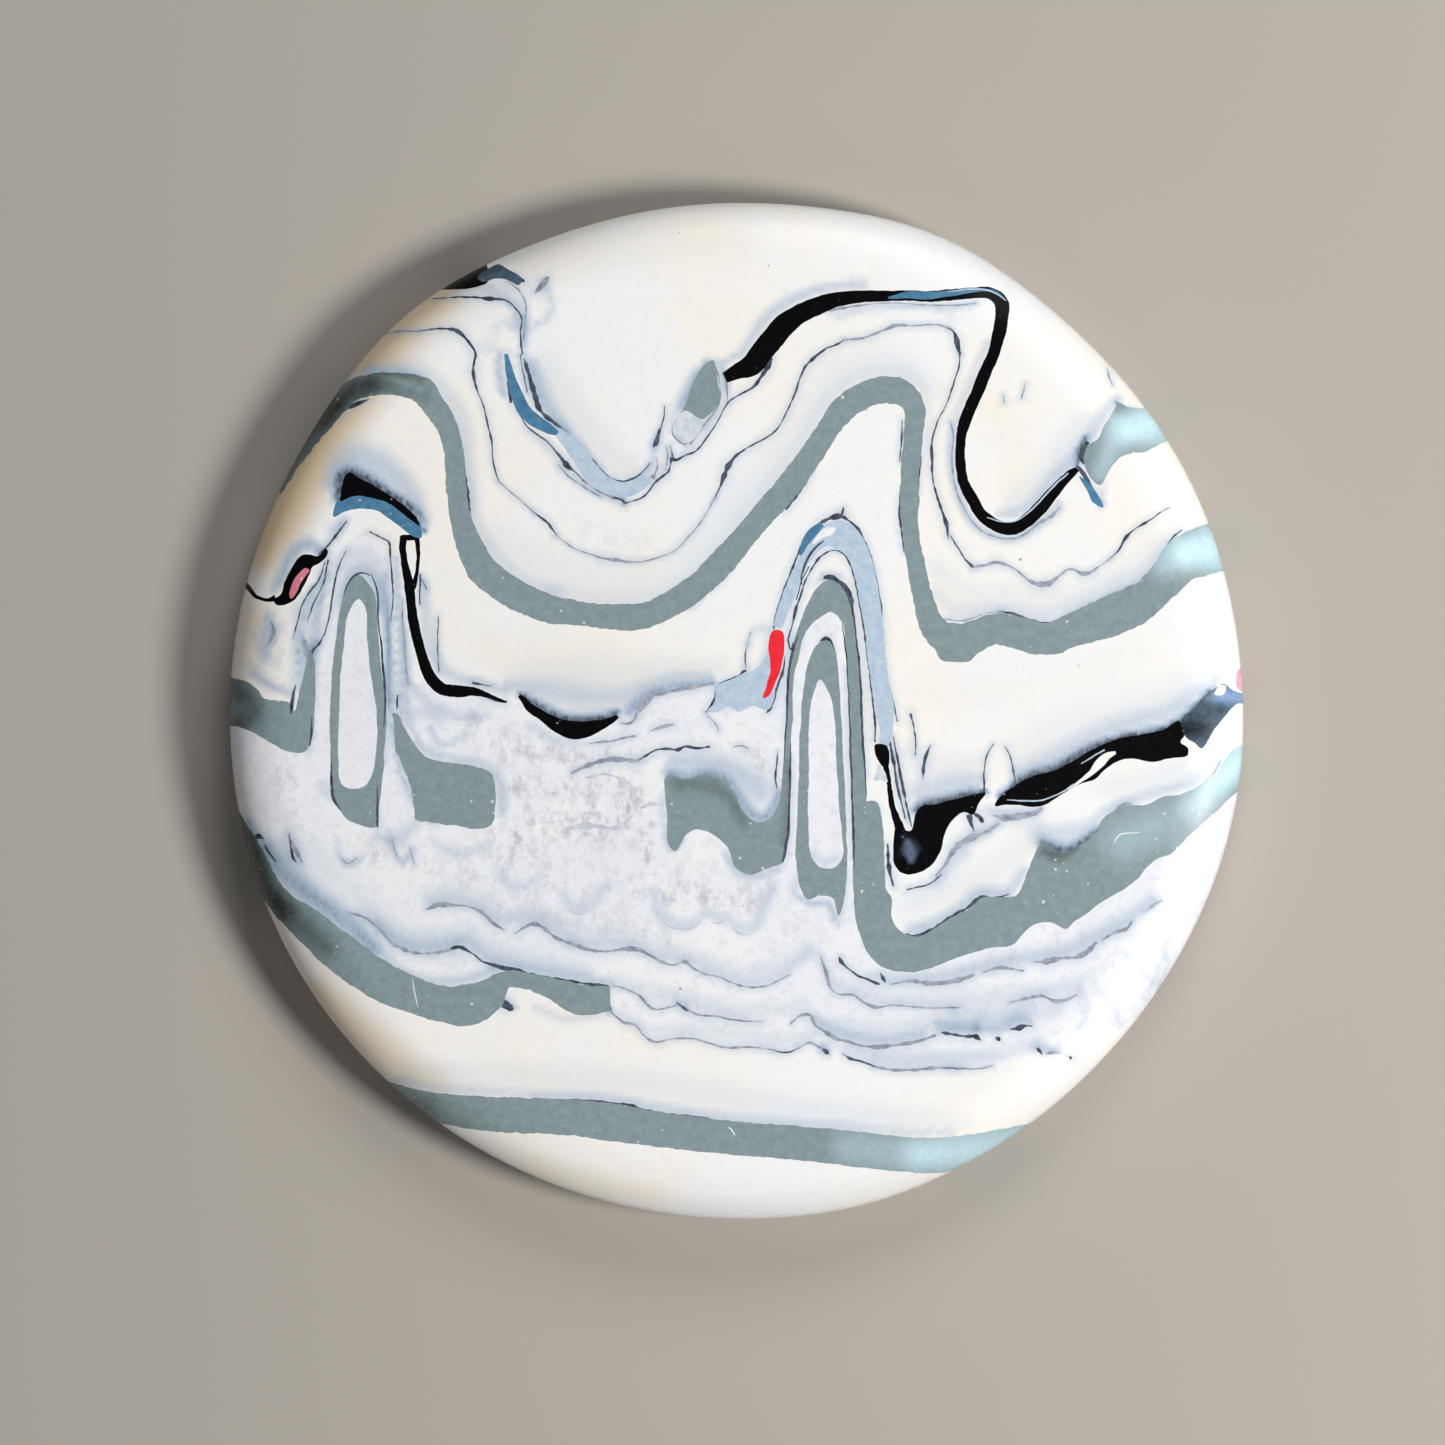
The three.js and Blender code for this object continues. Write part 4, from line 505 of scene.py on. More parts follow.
PARTINGS = [
    [
        (-37.5, 37), (-34.5, 37.2), (-31, 37.3), (-29, 37.5), (-27.6, 37.3), (-26.3, 36),
        (-25.8, 35), (-26, 33), (-25.6, 31.5), (-25, 30), (-24.5, 28), (-24.2, 26), (-24, 24),
        (-23.5, 22.5), (-22, 21.2), (-20, 19.5), (-18.5, 18), (-17, 16.5), (-13, 15),
        (-10.5, 14.5), (-8, 15), (-5.6, 16.2), (-4.2, 17.8), (-3.1, 19.4), (-2.2, 21),
        (-1.1, 23.8), (-0.2, 24.9), (1.5, 26.1), (3.3, 27.2), (4.5, 28.6), (5.2, 30),
        (5.9, 31.8), (6.7, 33.9), (7.9, 35), (10.5, 36.4), (14.1, 37.3), (15.8, 37.9),
        (19.9, 37.8), (21.5, 36.5), (21.6, 34.1), (20.9, 31.8), (19.4, 27.9), (19, 25.1),
        (19.2, 22.6), (19.8, 20.5), (20.6, 18), (21.6, 16.2), (23.1, 14.1), (26.1, 14.3),
        (28.9, 12.6), (30.9, 12.5), (33, 13.9), (34.4, 13.4), (37.3, 15.5), (39, 17.8),
        (42.6, 20.2), (45, 21.8), (48, 23.2),
    ],
    [
        (-22.4, 42.8), (-21.4, 41.9), (-20.9, 40), (-21, 38), (-21.6, 36.4), (-22.6, 35.2),
        (-22.7, 34.5), (-22.6, 33.9),
    ],
    [(-9.2, 22.3), (-7.9, 22.9), (-6.8, 24.2), (-6.2, 25.6), (-5.7, 27.3)],
    [(-2.2, 31), (-1.4, 31.8), (-0.7, 33)],
    [(32.8, 23.2), (33.6, 24), (34.6, 24.4)],
    [(-41.8, 14.8), (-40.2, 16.3), (-39.3, 17.6), (-38.5, 20.2)],
    [(-33.4, -1), (-32.2, 1.6), (-30.3, 3.8)],
    [(-23.6, 1.2), (-22.4, 1), (-20.8, 0.9)],
    [(-12.8, -1), (-11, -0.3), (-9.5, 0.3), (-8.4, 1.5), (-6.5, 1.9), (-4.2, 2.2), (-1.7, 2.1)],
    [(2.3, 7.4), (3.2, 8.1), (4.2, 8.9)],
    [(2.8, 1), (4, -1.4), (4.9, -4)],
    [(23.2, -8.7), (24.6, -8.8), (26.2, -8.8)],
    [(-36.8, -11.5), (-35.6, -14.5), (-33.4, -17.6), (-30.6, -19.4)],
    [
        (-49.9, -7), (-47, -11.5), (-45, -14.6), (-42, -17.2), (-38.2, -19.7), (-36.4, -20.4),
        (-35, -21.7), (-33.2, -23.1), (-31.3, -23.8), (-29, -23.7), (-27, -23.3),
        (-25.6, -24), (-24.5, -24.8), (-22.4, -25), (-19.9, -25.2), (-16, -26.2),
        (-12.9, -27.6),
    ],
    [
        (-30.6, -19.4), (-27.9, -19.1), (-25.6, -19.4), (-24, -20.8), (-21.9, -22),
        (-19.9, -21), (-18, -22.2), (-15.7, -23), (-11.1, -23.3), (-9.3, -23.6),
        (-7.7, -24.5), (-5.1, -24.8), (-1.9, -26.1), (0.4, -26.9), (2.7, -27), (4, -26.3),
        (6.3, -25.4), (7.9, -24), (8.9, -26.6), (9.5, -27.7), (13.7, -29.1), (18, -29.2),
        (25.2, -28.9), (29.8, -27.9), (33.2, -27.6), (37, -25.8), (41, -23.2), (46, -20),
    ],
    [
        (-13, -27.6), (-12.1, -27), (-10.4, -27.5), (-8.4, -29.2), (-5.6, -29.1),
        (-1.9, -30), (2.7, -30.5), (5, -30.9), (6.3, -29.8), (7.9, -30.9), (9.5, -32.1),
        (14.1, -32.9), (20.1, -31.6), (25.4, -32.1), (27.7, -31), (31, -30.6), (36, -28.6),
        (40.5, -26), (45, -23.6),
    ],
    [
        (-12.8, -29), (-10, -30.9), (-7.9, -32.5), (-3.3, -32.4), (1.7, -33), (4.7, -33.5),
        (7, -32.4), (10, -33.7), (16, -35.3), (23.3, -35.2), (27.5, -34.1), (31.5, -33),
        (36, -31.4), (41.5, -29.5),
    ],
    [
        (9.8, -19.8), (9.8, -22.6), (10, -24.4), (10.9, -25.4), (14.1, -26.9), (19.4, -26.8),
        (25.2, -25.4), (29.3, -24.5), (33.9, -23.6), (37.3, -21.3), (40.1, -19.4), (44, -16),
        (50, -11.5),
    ],
]

LAYERS = [
    ("white_top_layer", "white", (-11, 36)),
    ("white_valley_layer", "white", (-19.5, 23.7)),
    ("white_under_valley_layer", "white", (-21.5, 18)),
    ("white_middle_layer", "white", (0, 6)),
    ("white_left_rim_layer", "white", (-45, 6)),
    ("white_left_cloud", "cloud_white", (-43, -9)),
    ("white_centre_cloud", "cloud_white", (-15, -15)),
    ("white_right_fold_layer", "white", (24, -14)),
    ("white_under_stream_layer", "cloud_white", (30, -22.8)),
    ("white_lower_left_layer", "cloud_white", (-29.7, -25.6)),
    ("white_lower_right_layer", "cloud_white", (14, -34)),
    ("white_bottom_layer", "white", (0, -36)),
    ("white_bottom_segment", "white", (0, -46)),
    ("white_leg_island", "white", (-32.1, 15)),
]

# ---------------------------------------------------------------------------
# Dark films between the layers: thin, and of uneven width


def hair(width, *knots):
    """A run of film of a width in mm; a knot with a third number has that width instead."""
    return [(knot[0], knot[1], knot[2] if len(knot) > 2 else width) for knot in knots]


# name, slot of the tone, runs
FILMS = [
    ("film_upper_left", "film_dark", [
        hair(0.18, (-31.4, 37.3, 0.08), (-29, 37.5), (-27.6, 37.3, 0.34), (-26.3, 36, 0.26),
             (-25.8, 35), (-26, 33.4, 0.36), (-25.6, 31.5, 0.14), (-25, 30, 0.14),
             (-24.5, 28), (-24.2, 26), (-24, 24, 0.14), (-23.5, 22.5, 0.08)),
        hair(0.16, (-20, 19.5, 0.1), (-18.7, 18.5, 0.28), (-17.8, 17.2, 0.12)),
        hair(0.14, (-30, 40.5), (-27.8, 40.6), (-25.6, 40.6, 0.2), (-24.4, 40.45, 0.36),
             (-23.3, 40.4, 0.3), (-22.6, 40.2), (-21.9, 39.6), (-21.2, 38.5), (-21.3, 37.3),
             (-21.1, 35)),
        hair(0.16, (-22, 42.8), (-21.5, 42.5, 0.28), (-21, 42.1, 0.24)),
    ]),
    ("film_upper_left_faint", "film_mid", [
        hair(0.14, (-36, 37.1, 0.06), (-34.5, 37.2), (-33, 37.3, 0.2), (-31.4, 37.3)),
        hair(0.14, (-23.5, 22.5, 0.08), (-22, 21.2), (-20.8, 20.2), (-20, 19.5)),
        hair(0.12, (-17.8, 17.2), (-16, 15.9), (-14, 15.2, 0.16), (-13.3, 15, 0.34),
             (-12, 14.8, 0.3), (-10.5, 14.6, 0.2), (-8, 15), (-6.4, 15.6), (-5.4, 16.5),
             (-4.2, 17.8), (-3.1, 19.4, 0.1), (-2.2, 21)),
        hair(0.3, (-19.9, 41), (-19.2, 41.8, 0.5), (-18.6, 42.6, 0.2)),
        hair(0.12, (-22.6, 42.2), (-21.5, 41.3), (-20.8, 40), (-20.9, 38), (-21, 36.5)),
    ]),
    ("film_upper_middle", "film_dark", [
        hair(0.15, (-2.3, 20.7, 0.08), (-1.7, 22, 0.2), (-1.3, 23.2, 0.45), (-1, 24, 0.5),
             (-0.4, 24.8, 0.3), (0.4, 25.4, 0.16), (1.5, 26.1), (3.3, 27.2, 0.14),
             (4.1, 28.1, 0.1), (5, 29.7, 0.12), (5.5, 31, 0.16), (6.3, 33.1, 0.18),
             (6.7, 33.9, 0.24), (7.9, 35, 0.32), (8.6, 35.5, 0.16), (9.6, 35.9, 0.2),
             (10.4, 36.4, 0.16)),
        hair(0.16, (20.6, 37.6, 0.1), (21.1, 37.2), (21.4, 36.5, 0.42), (21.5, 35.8, 0.34),
             (21.75, 35, 0.1)),
        hair(0.15, (21.75, 35.2), (21.7, 34.1), (21.1, 32), (20.4, 30, 0.1),
             (19.5, 28.2, 0.14), (19, 26.3, 0.2), (18.95, 25.1, 0.24), (19.1, 22.9, 0.16),
             (19.6, 20.9, 0.22), (20.1, 19.3, 0.28), (20.5, 17.9, 0.28), (20.6, 16.9, 0.1)),
        hair(0.16, (20.8, 17.2, 0.08), (21.5, 16.2, 0.2), (21.9, 15.6, 0.2), (22.4, 14.8),
             (23.1, 14.1, 0.26)),
        hair(0.12, (-8, 26, 0.2), (-7.6, 27.6), (-7.3, 28.9, 0.12), (-7.2, 29.9, 0.08)),
    ]),
    ("film_upper_right_faint", "film_mid", [
        hair(0.14, (10.4, 36.4), (12.3, 36.6, 0.22), (14.1, 37.3, 0.18), (15.2, 37.8, 0.3),
             (17, 37.8, 0.14), (19.9, 37.8), (20.7, 37.5)),
        hair(0.16, (23.1, 14.1), (24.4, 14.3, 0.24), (25.3, 14.6, 0.34), (26.3, 14.3, 0.26),
             (27.5, 13.6, 0.14), (28.7, 12.7, 0.3), (29.6, 12.4, 0.5), (30.7, 12.6, 0.5),
             (31.5, 13.2, 0.24), (32.4, 13.9, 0.14), (33, 13.9, 0.2), (33.7, 13.5, 0.3),
             (34.5, 13.6, 0.3), (35.5, 14.3, 0.1), (36.5, 15, 0.14)),
        hair(0.14, (20.9, 28.4, 0.06), (21.1, 27, 0.16), (20.95, 25, 0.12), (21.2, 22.6),
             (21.9, 20.4), (22.7, 18.9, 0.1), (23.8, 17.7), (25.4, 17, 0.16), (27, 16.9, 0.12),
             (28.3, 17.4, 0.16), (29.3, 18.2, 0.2), (30.8, 19.2, 0.3), (31.6, 20, 0.14)),
        hair(0.14, (8.8, 39.2, 0.08), (10.5, 39.6, 0.24), (12, 39.8, 0.16), (14.5, 40, 0.1),
             (17, 39.85), (21, 39.8), (23.3, 40)),
        hair(0.16, (36.3, 33.6, 0.08), (36.5, 32.8), (36.8, 32, 0.08)),
        hair(0.16, (28.2, 32.2, 0.06), (28, 31.4), (27.8, 30.6, 0.14)),
        hair(0.14, (26, 31), (26.1, 30.2)),
        hair(0.14, (37, 30.4, 0.2), (38, 29.9, 0.12), (39.2, 29.7, 0.08)),
        hair(0.16, (20, 9, 0.08), (22, 8.9), (24.4, 9.6, 0.1), (25.8, 9.75)),
        hair(0.16, (31.6, 8.8, 0.2), (33, 9.7), (35, 10.5, 0.24), (37, 11.6, 0.16),
             (39.4, 12.7, 0.2), (41, 14.4, 0.24), (42, 16, 0.12)),
    ]),
    ("film_right_rim", "film_dark", [
        hair(0.14, (36.5, 15, 0.08), (37.3, 15.7, 0.16), (38, 16.9, 0.22), (38.9, 17.8, 0.18),
             (40.3, 18.7, 0.18), (41.5, 19.6, 0.12), (42.3, 20, 0.06)),
        hair(0.3, (34.3, 26.4, 0.3), (33.9, 25.6, 0.5), (33.7, 24.8, 0.42), (33.9, 24.2, 0.12)),
        hair(0.2, (33.2, 24.1), (33.9, 23.2, 0.4), (34.5, 22.2, 0.3), (35.1, 21.3, 0.24),
             (35.6, 20.5, 0.14)),
    ]),
    ("film_valley_lower", "film_dark", [
        hair(0.13, (-21.7, 29.5, 0.1), (-20.5, 27.7), (-18.9, 26.5), (-17.6, 25.1, 0.2),
             (-17, 24.3, 0.5), (-16.7, 23.9, 0.44), (-16.2, 23.6, 0.16), (-15, 22.5, 0.1)),
        hair(0.16, (-12.2, 20.9), (-11.3, 20.6, 0.3), (-11.15, 20.4, 0.3), (-10.6, 20.5),
             (-9.3, 21), (-7.9, 22.6, 0.22), (-6.9, 23.4, 0.24), (-6.6, 24.2, 0.14),
             (-6.5, 24.7, 0.44), (-6.1, 24.6, 0.3), (-5.3, 25, 0.18)),
        hair(0.16, (-11.3, 20.7), (-11.2, 20.1, 0.12)),
        hair(0.14, (-5.3, 25), (-4.1, 25.5, 0.16), (-3.1, 26.8), (-1.9, 28.6, 0.1),
             (-1, 30.2, 0.16), (0.1, 31, 0.16), (1.7, 32, 0.22), (2.2, 32.7, 0.4),
             (2.8, 33.6, 0.44), (3.3, 34.6, 0.3)),
        hair(0.14, (-6.4, 24.9), (-6.6, 26, 0.08)),
    ]),
    ("film_valley_upper", "film_dark", [
        hair(0.16, (-18, 28.2, 0.24), (-17, 27.5, 0.14), (-16.4, 26.7, 0.2),
             (-15.6, 25.9, 0.34), (-14.8, 25.1, 0.2), (-13.9, 24.2, 0.2), (-12.9, 23.2, 0.16),
             (-11.8, 22.6, 0.2), (-10.8, 22.6, 0.2), (-9.6, 23.2, 0.16), (-8.6, 24.3, 0.08)),
        hair(0.2, (-8.25, 25.9, 0.3), (-8, 26.8, 0.24), (-7.7, 27.7, 0.14)),
        hair(0.3, (-22.7, 35), (-22.6, 33.6), (-22.5, 32), (-22.2, 30.2, 0.2)),
        hair(0.5, (-20.9, 34.5, 0.2), (-20.6, 33.2), (-20.2, 31.8), (-19.8, 30.6, 0.5),
             (-19.4, 29.5, 0.4), (-18.3, 28.4, 0.3), (-17, 27.5, 0.14)),
        hair(0.12, (-21.3, 35), (-21.1, 33), (-20.7, 31.2, 0.08)),
    ]),
    ("film_valley_faint", "film_mid", [
        hair(0.14, (-15, 22.5), (-13.2, 21.3), (-12.2, 20.9, 0.24), (-11.2, 20.8, 0.1)),
        hair(0.14, (-17.7, 24.2, 0.08), (-16.6, 23), (-15, 21.9, 0.2), (-13.4, 21)),
        hair(0.2, (-8.4, 22.8, 0.5), (-7.9, 23.8, 0.2), (-8, 24.8, 0.1)),
        hair(0.12, (-7.1, 23.6), (-6.9, 24.8), (-7, 26)),
        hair(0.14, (-2.4, 33.8, 0.3), (-2, 33.2, 0.24), (-1.75, 32, 0.1), (-1.8, 30.4, 0.14),
             (-2.4, 29.2, 0.24), (-3.2, 28.5, 0.14), (-4.2, 27.6, 0.3), (-5, 26.6, 0.24),
             (-5.2, 26, 0.1)),
        hair(0.12, (-2.1, 29.9), (-2.8, 28.7, 0.16), (-3.8, 27.5, 0.14), (-4.7, 26.1, 0.2)),
        hair(0.2, (-1.35, 33.1, 0.3), (-1.15, 32, 0.3), (-1.1, 31, 0.14), (-1, 30.3, 0.1)),
    ]),
    ("film_upper_band_side", "film_dark", [
        hair(0.14, (-28.6, 29.5, 0.08), (-27.7, 27.9), (-27, 24.9, 0.2), (-26.7, 22.2, 0.34),
             (-26.4, 20.4, 0.28), (-26.3, 18.9, 0.12)),
        hair(0.2, (-36.2, 30.6, 0.1), (-37.2, 30.2, 0.3), (-38.4, 29.6, 0.3), (-39.6, 28.8)),
        hair(0.14, (4.6, 19.8, 0.24), (5.7, 21.2, 0.34), (6.6, 22.4, 0.26),
             (7.3, 23.4, 0.08)),
        hair(0.14, (-3.6, 11.2, 0.08), (-2.9, 11.9, 0.16), (-1.7, 12.9, 0.2), (-0.9, 13.8)),
        hair(0.14, (-4.9, 10.1, 0.1), (-4.4, 10.5, 0.28), (-3.9, 11, 0.12)),
        hair(0.14, (15.9, 21.5, 0.06), (15.85, 19.5, 0.2), (16, 17.6, 0.16), (16.3, 15.6, 0.1)),
        hair(0.12, (16.1, 28.5, 0.1), (16.05, 26.6, 0.16), (15.9, 24.4, 0.08)),
        hair(0.14, (17.9, 25), (17.75, 23.4, 0.16), (17.65, 21.5, 0.1)),
        hair(0.16, (25.8, 9.75), (26.9, 9.5, 0.24), (28, 9.2, 0.12), (29.4, 8.8, 0.2),
             (31.2, 8.7, 0.2), (32.8, 9.5, 0.16), (34.6, 10.3, 0.2), (36, 11.1, 0.12)),
        hair(0.14, (36.6, 11.4), (38, 12, 0.24), (39.3, 12.6, 0.2), (40, 13.4, 0.1)),
        hair(0.14, (42.2, 16.4, 0.1), (42.9, 17.2, 0.24), (43.6, 17.8, 0.1)),
    ]),
    ("film_left_rim", "film_dark", [
        hair(0.13, (-40.5, 14.6), (-41.2, 12.7), (-42.4, 11.1), (-43.3, 8.4), (-43.7, 7, 0.06)),
        hair(0.13, (-40.2, 14.9, 0.2), (-40.7, 12.5), (-41.6, 10.6), (-42.2, 8.8, 0.06)),
        hair(0.15, (-41.2, 15.3, 0.08), (-40.2, 16.3), (-39.3, 17.4, 0.2), (-38.4, 18.6)),
        hair(0.16, (-38.2, 15.8), (-38.9, 15.3, 0.24), (-39.5, 13.4, 0.2), (-39.8, 10.4),
             (-40.3, 8.4, 0.12), (-41, 6.75, 0.18), (-41.9, 5.6, 0.24), (-42.1, 3.3, 0.16),
             (-42.2, 0), (-42.2, -2.7, 0.3), (-42.4, -3.5, 0.14)),
        hair(0.14, (-36.2, 17.6), (-35, 17), (-34.3, 16.6, 0.22), (-34.1, 14.6),
             (-33.9, 12.3), (-34, 8.8, 0.08)),
        hair(0.3, (-47.6, -12.6, 0.1), (-47.1, -12.3, 0.4), (-46.6, -12.6, 0.14)),
        hair(0.2, (-46.5, -13.2), (-45.9, -14.1), (-45.3, -14.8, 0.12)),
        hair(0.2, (-44, -12, 0.1), (-43.8, -13.4), (-43.6, -14.5, 0.4), (-43.3, -14.9, 0.1)),
        hair(0.14, (-40.9, -7.1), (-40.7, -7.3, 0.4), (-40.2, -8, 0.3), (-39.8, -8.5, 0.12)),
    ]),
    ("film_left_fold", "film_dark", [
        hair(0.14, (-38.8, 8.8, 0.08), (-38.6, 10.6), (-38.2, 12.3), (-37.9, 12.9),
             (-37.3, 13.3, 0.2), (-36.4, 13.2, 0.2), (-35.9, 12.2), (-35.7, 11.1),
             (-35.5, 9.5, 0.08)),
        hair(0.22, (-35.6, -9.5), (-35.5, -10.6, 0.28), (-35.4, -11.6, 0.16)),
        hair(0.13, (-34.8, -5), (-34.55, -1.5, 0.18), (-34.6, 2), (-35.1, 4.4, 0.06)),
        hair(0.16, (-33.4, 1.6), (-33.5, 0.4, 0.24), (-33.6, -0.4, 0.1)),
        hair(0.14, (-31.1, 13.4), (-31.2, 12.2, 0.2), (-31.2, 10.4, 0.08)),
        hair(0.1, (-31.1, 13), (-30.5, 12)),
        hair(0.1, (-29.4, 9.3), (-29.45, 6.6), (-29.3, 3.8)),
        hair(0.16, (-26.1, 2.7, 0.3), (-25.2, 2.55), (-24.1, 2.4, 0.06)),
        hair(0.18, (-25.1, 1.7, 0.3), (-23.8, 1, 0.24), (-22.8, 0.8, 0.1)),
    ]),
    ("film_left_faint", "film_mid", [
        hair(0.5, (-42.7, 7.4, 0.2), (-42.4, 6.2, 0.7), (-42, 5, 0.3)),
        hair(0.3, (-45.8, 8.8, 0.2), (-45.6, 7.6, 0.4), (-46.3, 6.4, 0.2)),
        hair(0.14, (-33.9, -12.6, 0.06), (-33.7, -13.8, 0.16), (-33.3, -14.6, 0.06)),
        hair(0.14, (-32.2, -13.4, 0.06), (-31.9, -14.5, 0.16), (-31.8, -15, 0.06)),
        hair(0.14, (-38.8, -14.6, 0.06), (-38.2, -15, 0.14), (-37.4, -14.4, 0.06)),
        hair(0.3, (-44.1, -12.2, 0.14), (-43.4, -13.6, 0.44), (-42.8, -14.8, 0.14)),
        hair(0.16, (-34.4, 11, 0.08), (-34.2, 7), (-34.3, 3, 0.2), (-34.2, 0.4, 0.1)),
        hair(0.16, (-32.9, 11, 0.06), (-32.8, 8), (-32.6, 5, 0.2), (-32.3, 2.6, 0.1)),
    ]),
    ("film_centre", "film_dark", [
        hair(0.2, (-9.7, -4.8, 0.16), (-8.9, -4.3, 0.28), (-7.9, -3.8, 0.2), (-7, -3.7, 0.24),
             (-5.9, -3.8, 0.28), (-5.1, -3.5, 0.24), (-3.9, -3.65, 0.28), (-2.8, -3.5, 0.2)),
        hair(0.14, (-2.2, 2.4, 0.1), (-2.3, 1.2, 0.2), (-2.7, 0.5, 0.16), (-3.2, -0.2, 0.1)),
        hair(0.2, (-1.9, 2.7, 0.1), (-0.9, 3.1), (0.1, 3.5, 0.16), (0.8, 3.9, 0.4),
             (1.2, 3.75, 0.24), (1.9, 4.1, 0.14), (2.5, 5, 0.2), (2.95, 6.2, 0.24),
             (3.05, 7.2, 0.3)),
        hair(0.14, (0.75, 4.2), (0.7, 5.2), (0.95, 6.6, 0.1)),
        hair(0.2, (4.6, 5.4, 0.08), (4.45, 4.2), (4.1, 3.1, 0.3), (3.7, 1.9, 0.2),
             (3.6, 1.2, 0.16), (3.2, 0.3, 0.2), (2.8, -0.2, 0.12)),
        hair(0.12, (-1.6, 0.2, 0.08), (-1, 0.65), (-0.4, 0.5)),
        hair(0.2, (4.9, 7, 0.1), (5.2, 6, 0.2), (5.6, 6.6, 0.3), (5.9, 7.5, 0.1)),
    ]),
    ("film_centre_faint", "film_mid", [
        hair(0.3, (-16.4, -6.1, 0.2), (-14.3, -5.2, 0.36), (-12.7, -4.8, 0.4),
             (-11.1, -4.8, 0.4), (-10, -4.9, 0.5), (-9.5, -4.7, 0.2)),
        hair(0.2, (-14.6, -3.2, 0.12), (-13.4, -3), (-12.3, -2.9, 0.24), (-11.2, -2.6, 0.28),
             (-10.1, -2.4, 0.12)),
        hair(0.2, (-8.6, -1.9, 0.1), (-7.4, -1.5, 0.3), (-6.3, -1.3, 0.16)),
        hair(0.24, (-11.6, -1.2, 0.1), (-10.4, -1.1, 0.24), (-9.9, -0.2, 0.14)),
        hair(0.5, (-9.9, 0, 0.6), (-9, 0.9, 0.5), (-8.4, 1.5, 0.4), (-7.5, 1.7, 0.24),
             (-6.3, 2, 0.3), (-5, 2.2, 0.34), (-3.7, 2.5, 0.3), (-2.4, 2.7, 0.16)),
        hair(0.14, (0.95, 6.6, 0.1), (1.3, 7.6), (2, 8.1), (2.9, 8.1, 0.24)),
        hair(0.24, (-0.4, -3.5, 0.1), (0.3, -3.4, 0.3), (1, -3.7, 0.1)),
        hair(0.16, (-3.1, -0.5, 0.1), (-2.4, -1.1), (-1.9, -2, 0.1)),
    ]),
    ("film_arch", "film_dark", [
        hair(0.2, (3.5, 8, 0.1), (3.75, 9.2, 0.2), (4.15, 10.8, 0.14), (4.9, 13, 0.24),
             (5.6, 14.8, 0.2), (6.4, 16.4, 0.3), (7.3, 17.6, 0.3), (8.4, 18.6, 0.36),
             (9.2, 19, 0.4), (10.2, 19.1, 0.44), (10.9, 18.6, 0.24), (11.8, 17.7, 0.2),
             (12.5, 16.4, 0.24), (13, 15.2, 0.14), (13.5, 13.2, 0.14), (14, 10.4, 0.2),
             (14.2, 8), (14.15, 6, 0.3), (14.4, 4.4, 0.2), (14.8, 2.6, 0.14), (15.2, 0.9, 0.14),
             (15.6, -1, 0.1)),
        hair(0.2, (10.15, 19.2, 0.3), (10.3, 20, 0.1)),
        hair(0.2, (4.95, 7, 0.1), (5.3, 8.4), (5.75, 10.1, 0.24), (6.35, 12, 0.2),
             (7.1, 13.7, 0.14), (8.1, 15.1, 0.2), (9.2, 15.75, 0.14), (10.2, 15.5, 0.2),
             (11, 14.5, 0.24), (11.4, 13.2, 0.14), (11.9, 10.8, 0.2), (12.35, 8, 0.2),
             (12.75, 4.8, 0.2), (13.05, 2, 0.14), (13.4, -0.8, 0.2), (13.5, -3)),
        hair(0.16, (8.4, 13.05, 0.2), (9.1, 13.2, 0.34), (9.9, 12.8, 0.24), (10.7, 12, 0.34),
             (11.1, 11.1, 0.4), (11.3, 9.8, 0.2), (11.55, 8, 0.14), (11.8, 5.4, 0.2),
             (12, 2.4, 0.24), (12.1, -0.6, 0.24), (12.3, -3.4, 0.2), (12.5, -6.4, 0.1)),
        hair(0.14, (8.2, 6.9, 0.14), (8.7, 7.1, 0.4), (9.1, 6.8, 0.2), (9.5, 5.9, 0.08)),
        hair(0.18, (5, 4.6, 0.08), (4.85, 2.6, 0.2), (4.8, 0, 0.14), (4.65, -2.6, 0.08)),
        hair(0.2, (5.3, 5.4, 0.3), (5.6, 6.3, 0.4), (6, 7.4, 0.1)),
        hair(0.2, (10.5, 4.2, 0.06), (10.75, 0.6, 0.14), (10.9, -3, 0.2), (11.1, -6.8, 0.2),
             (11.25, -10.6, 0.24), (11.3, -14.4, 0.1)),
        hair(0.2, (5.05, -4.5, 0.1), (5.1, -7, 0.3), (5.05, -9, 0.16), (4.9, -12, 0.3),
             (4.5, -14.4, 0.2)),
        hair(0.16, (3.9, -4, 0.1), (3.7, -6.4, 0.16), (3.8, -7.6, 0.08)),
        hair(0.24, (6, -16.2, 0.1), (5.5, -17.4, 0.34), (5.6, -18.2, 0.1)),
        hair(0.24, (10.6, -16, 0.1), (10.2, -18.4, 0.24), (9.8, -21, 0.1)),
    ]),
    ("film_hook", "film_dark", [
        hair(0.18, (15.2, -2.4, 0.08), (15.6, -4.6, 0.2), (16.1, -7.2, 0.24), (16.6, -9.6, 0.2),
             (17, -11.4, 0.1)),
        hair(0.18, (14.2, 0, 0.06), (14.8, -2.6, 0.18), (15.3, -5.4, 0.24), (15.8, -8, 0.2),
             (16.4, -10.6, 0.14)),
        hair(0.13, (16.9, -0.2, 0.2), (17.2, -1.5), (17.4, -3, 0.16), (17.35, -4.3, 0.08)),
        hair(0.24, (18.9, -3.4, 0.06), (18.4, -4.4, 0.24), (18.15, -5.6, 0.3),
             (18.05, -6.7, 0.1)),
        hair(0.13, (24.1, -7.8, 0.16), (24.15, -6), (24.45, -4.2), (25, -3.2, 0.08)),
        hair(0.13, (26.2, -3.4, 0.06), (26.7, -4.5), (27.1, -6.3, 0.2), (27.2, -7, 0.1)),
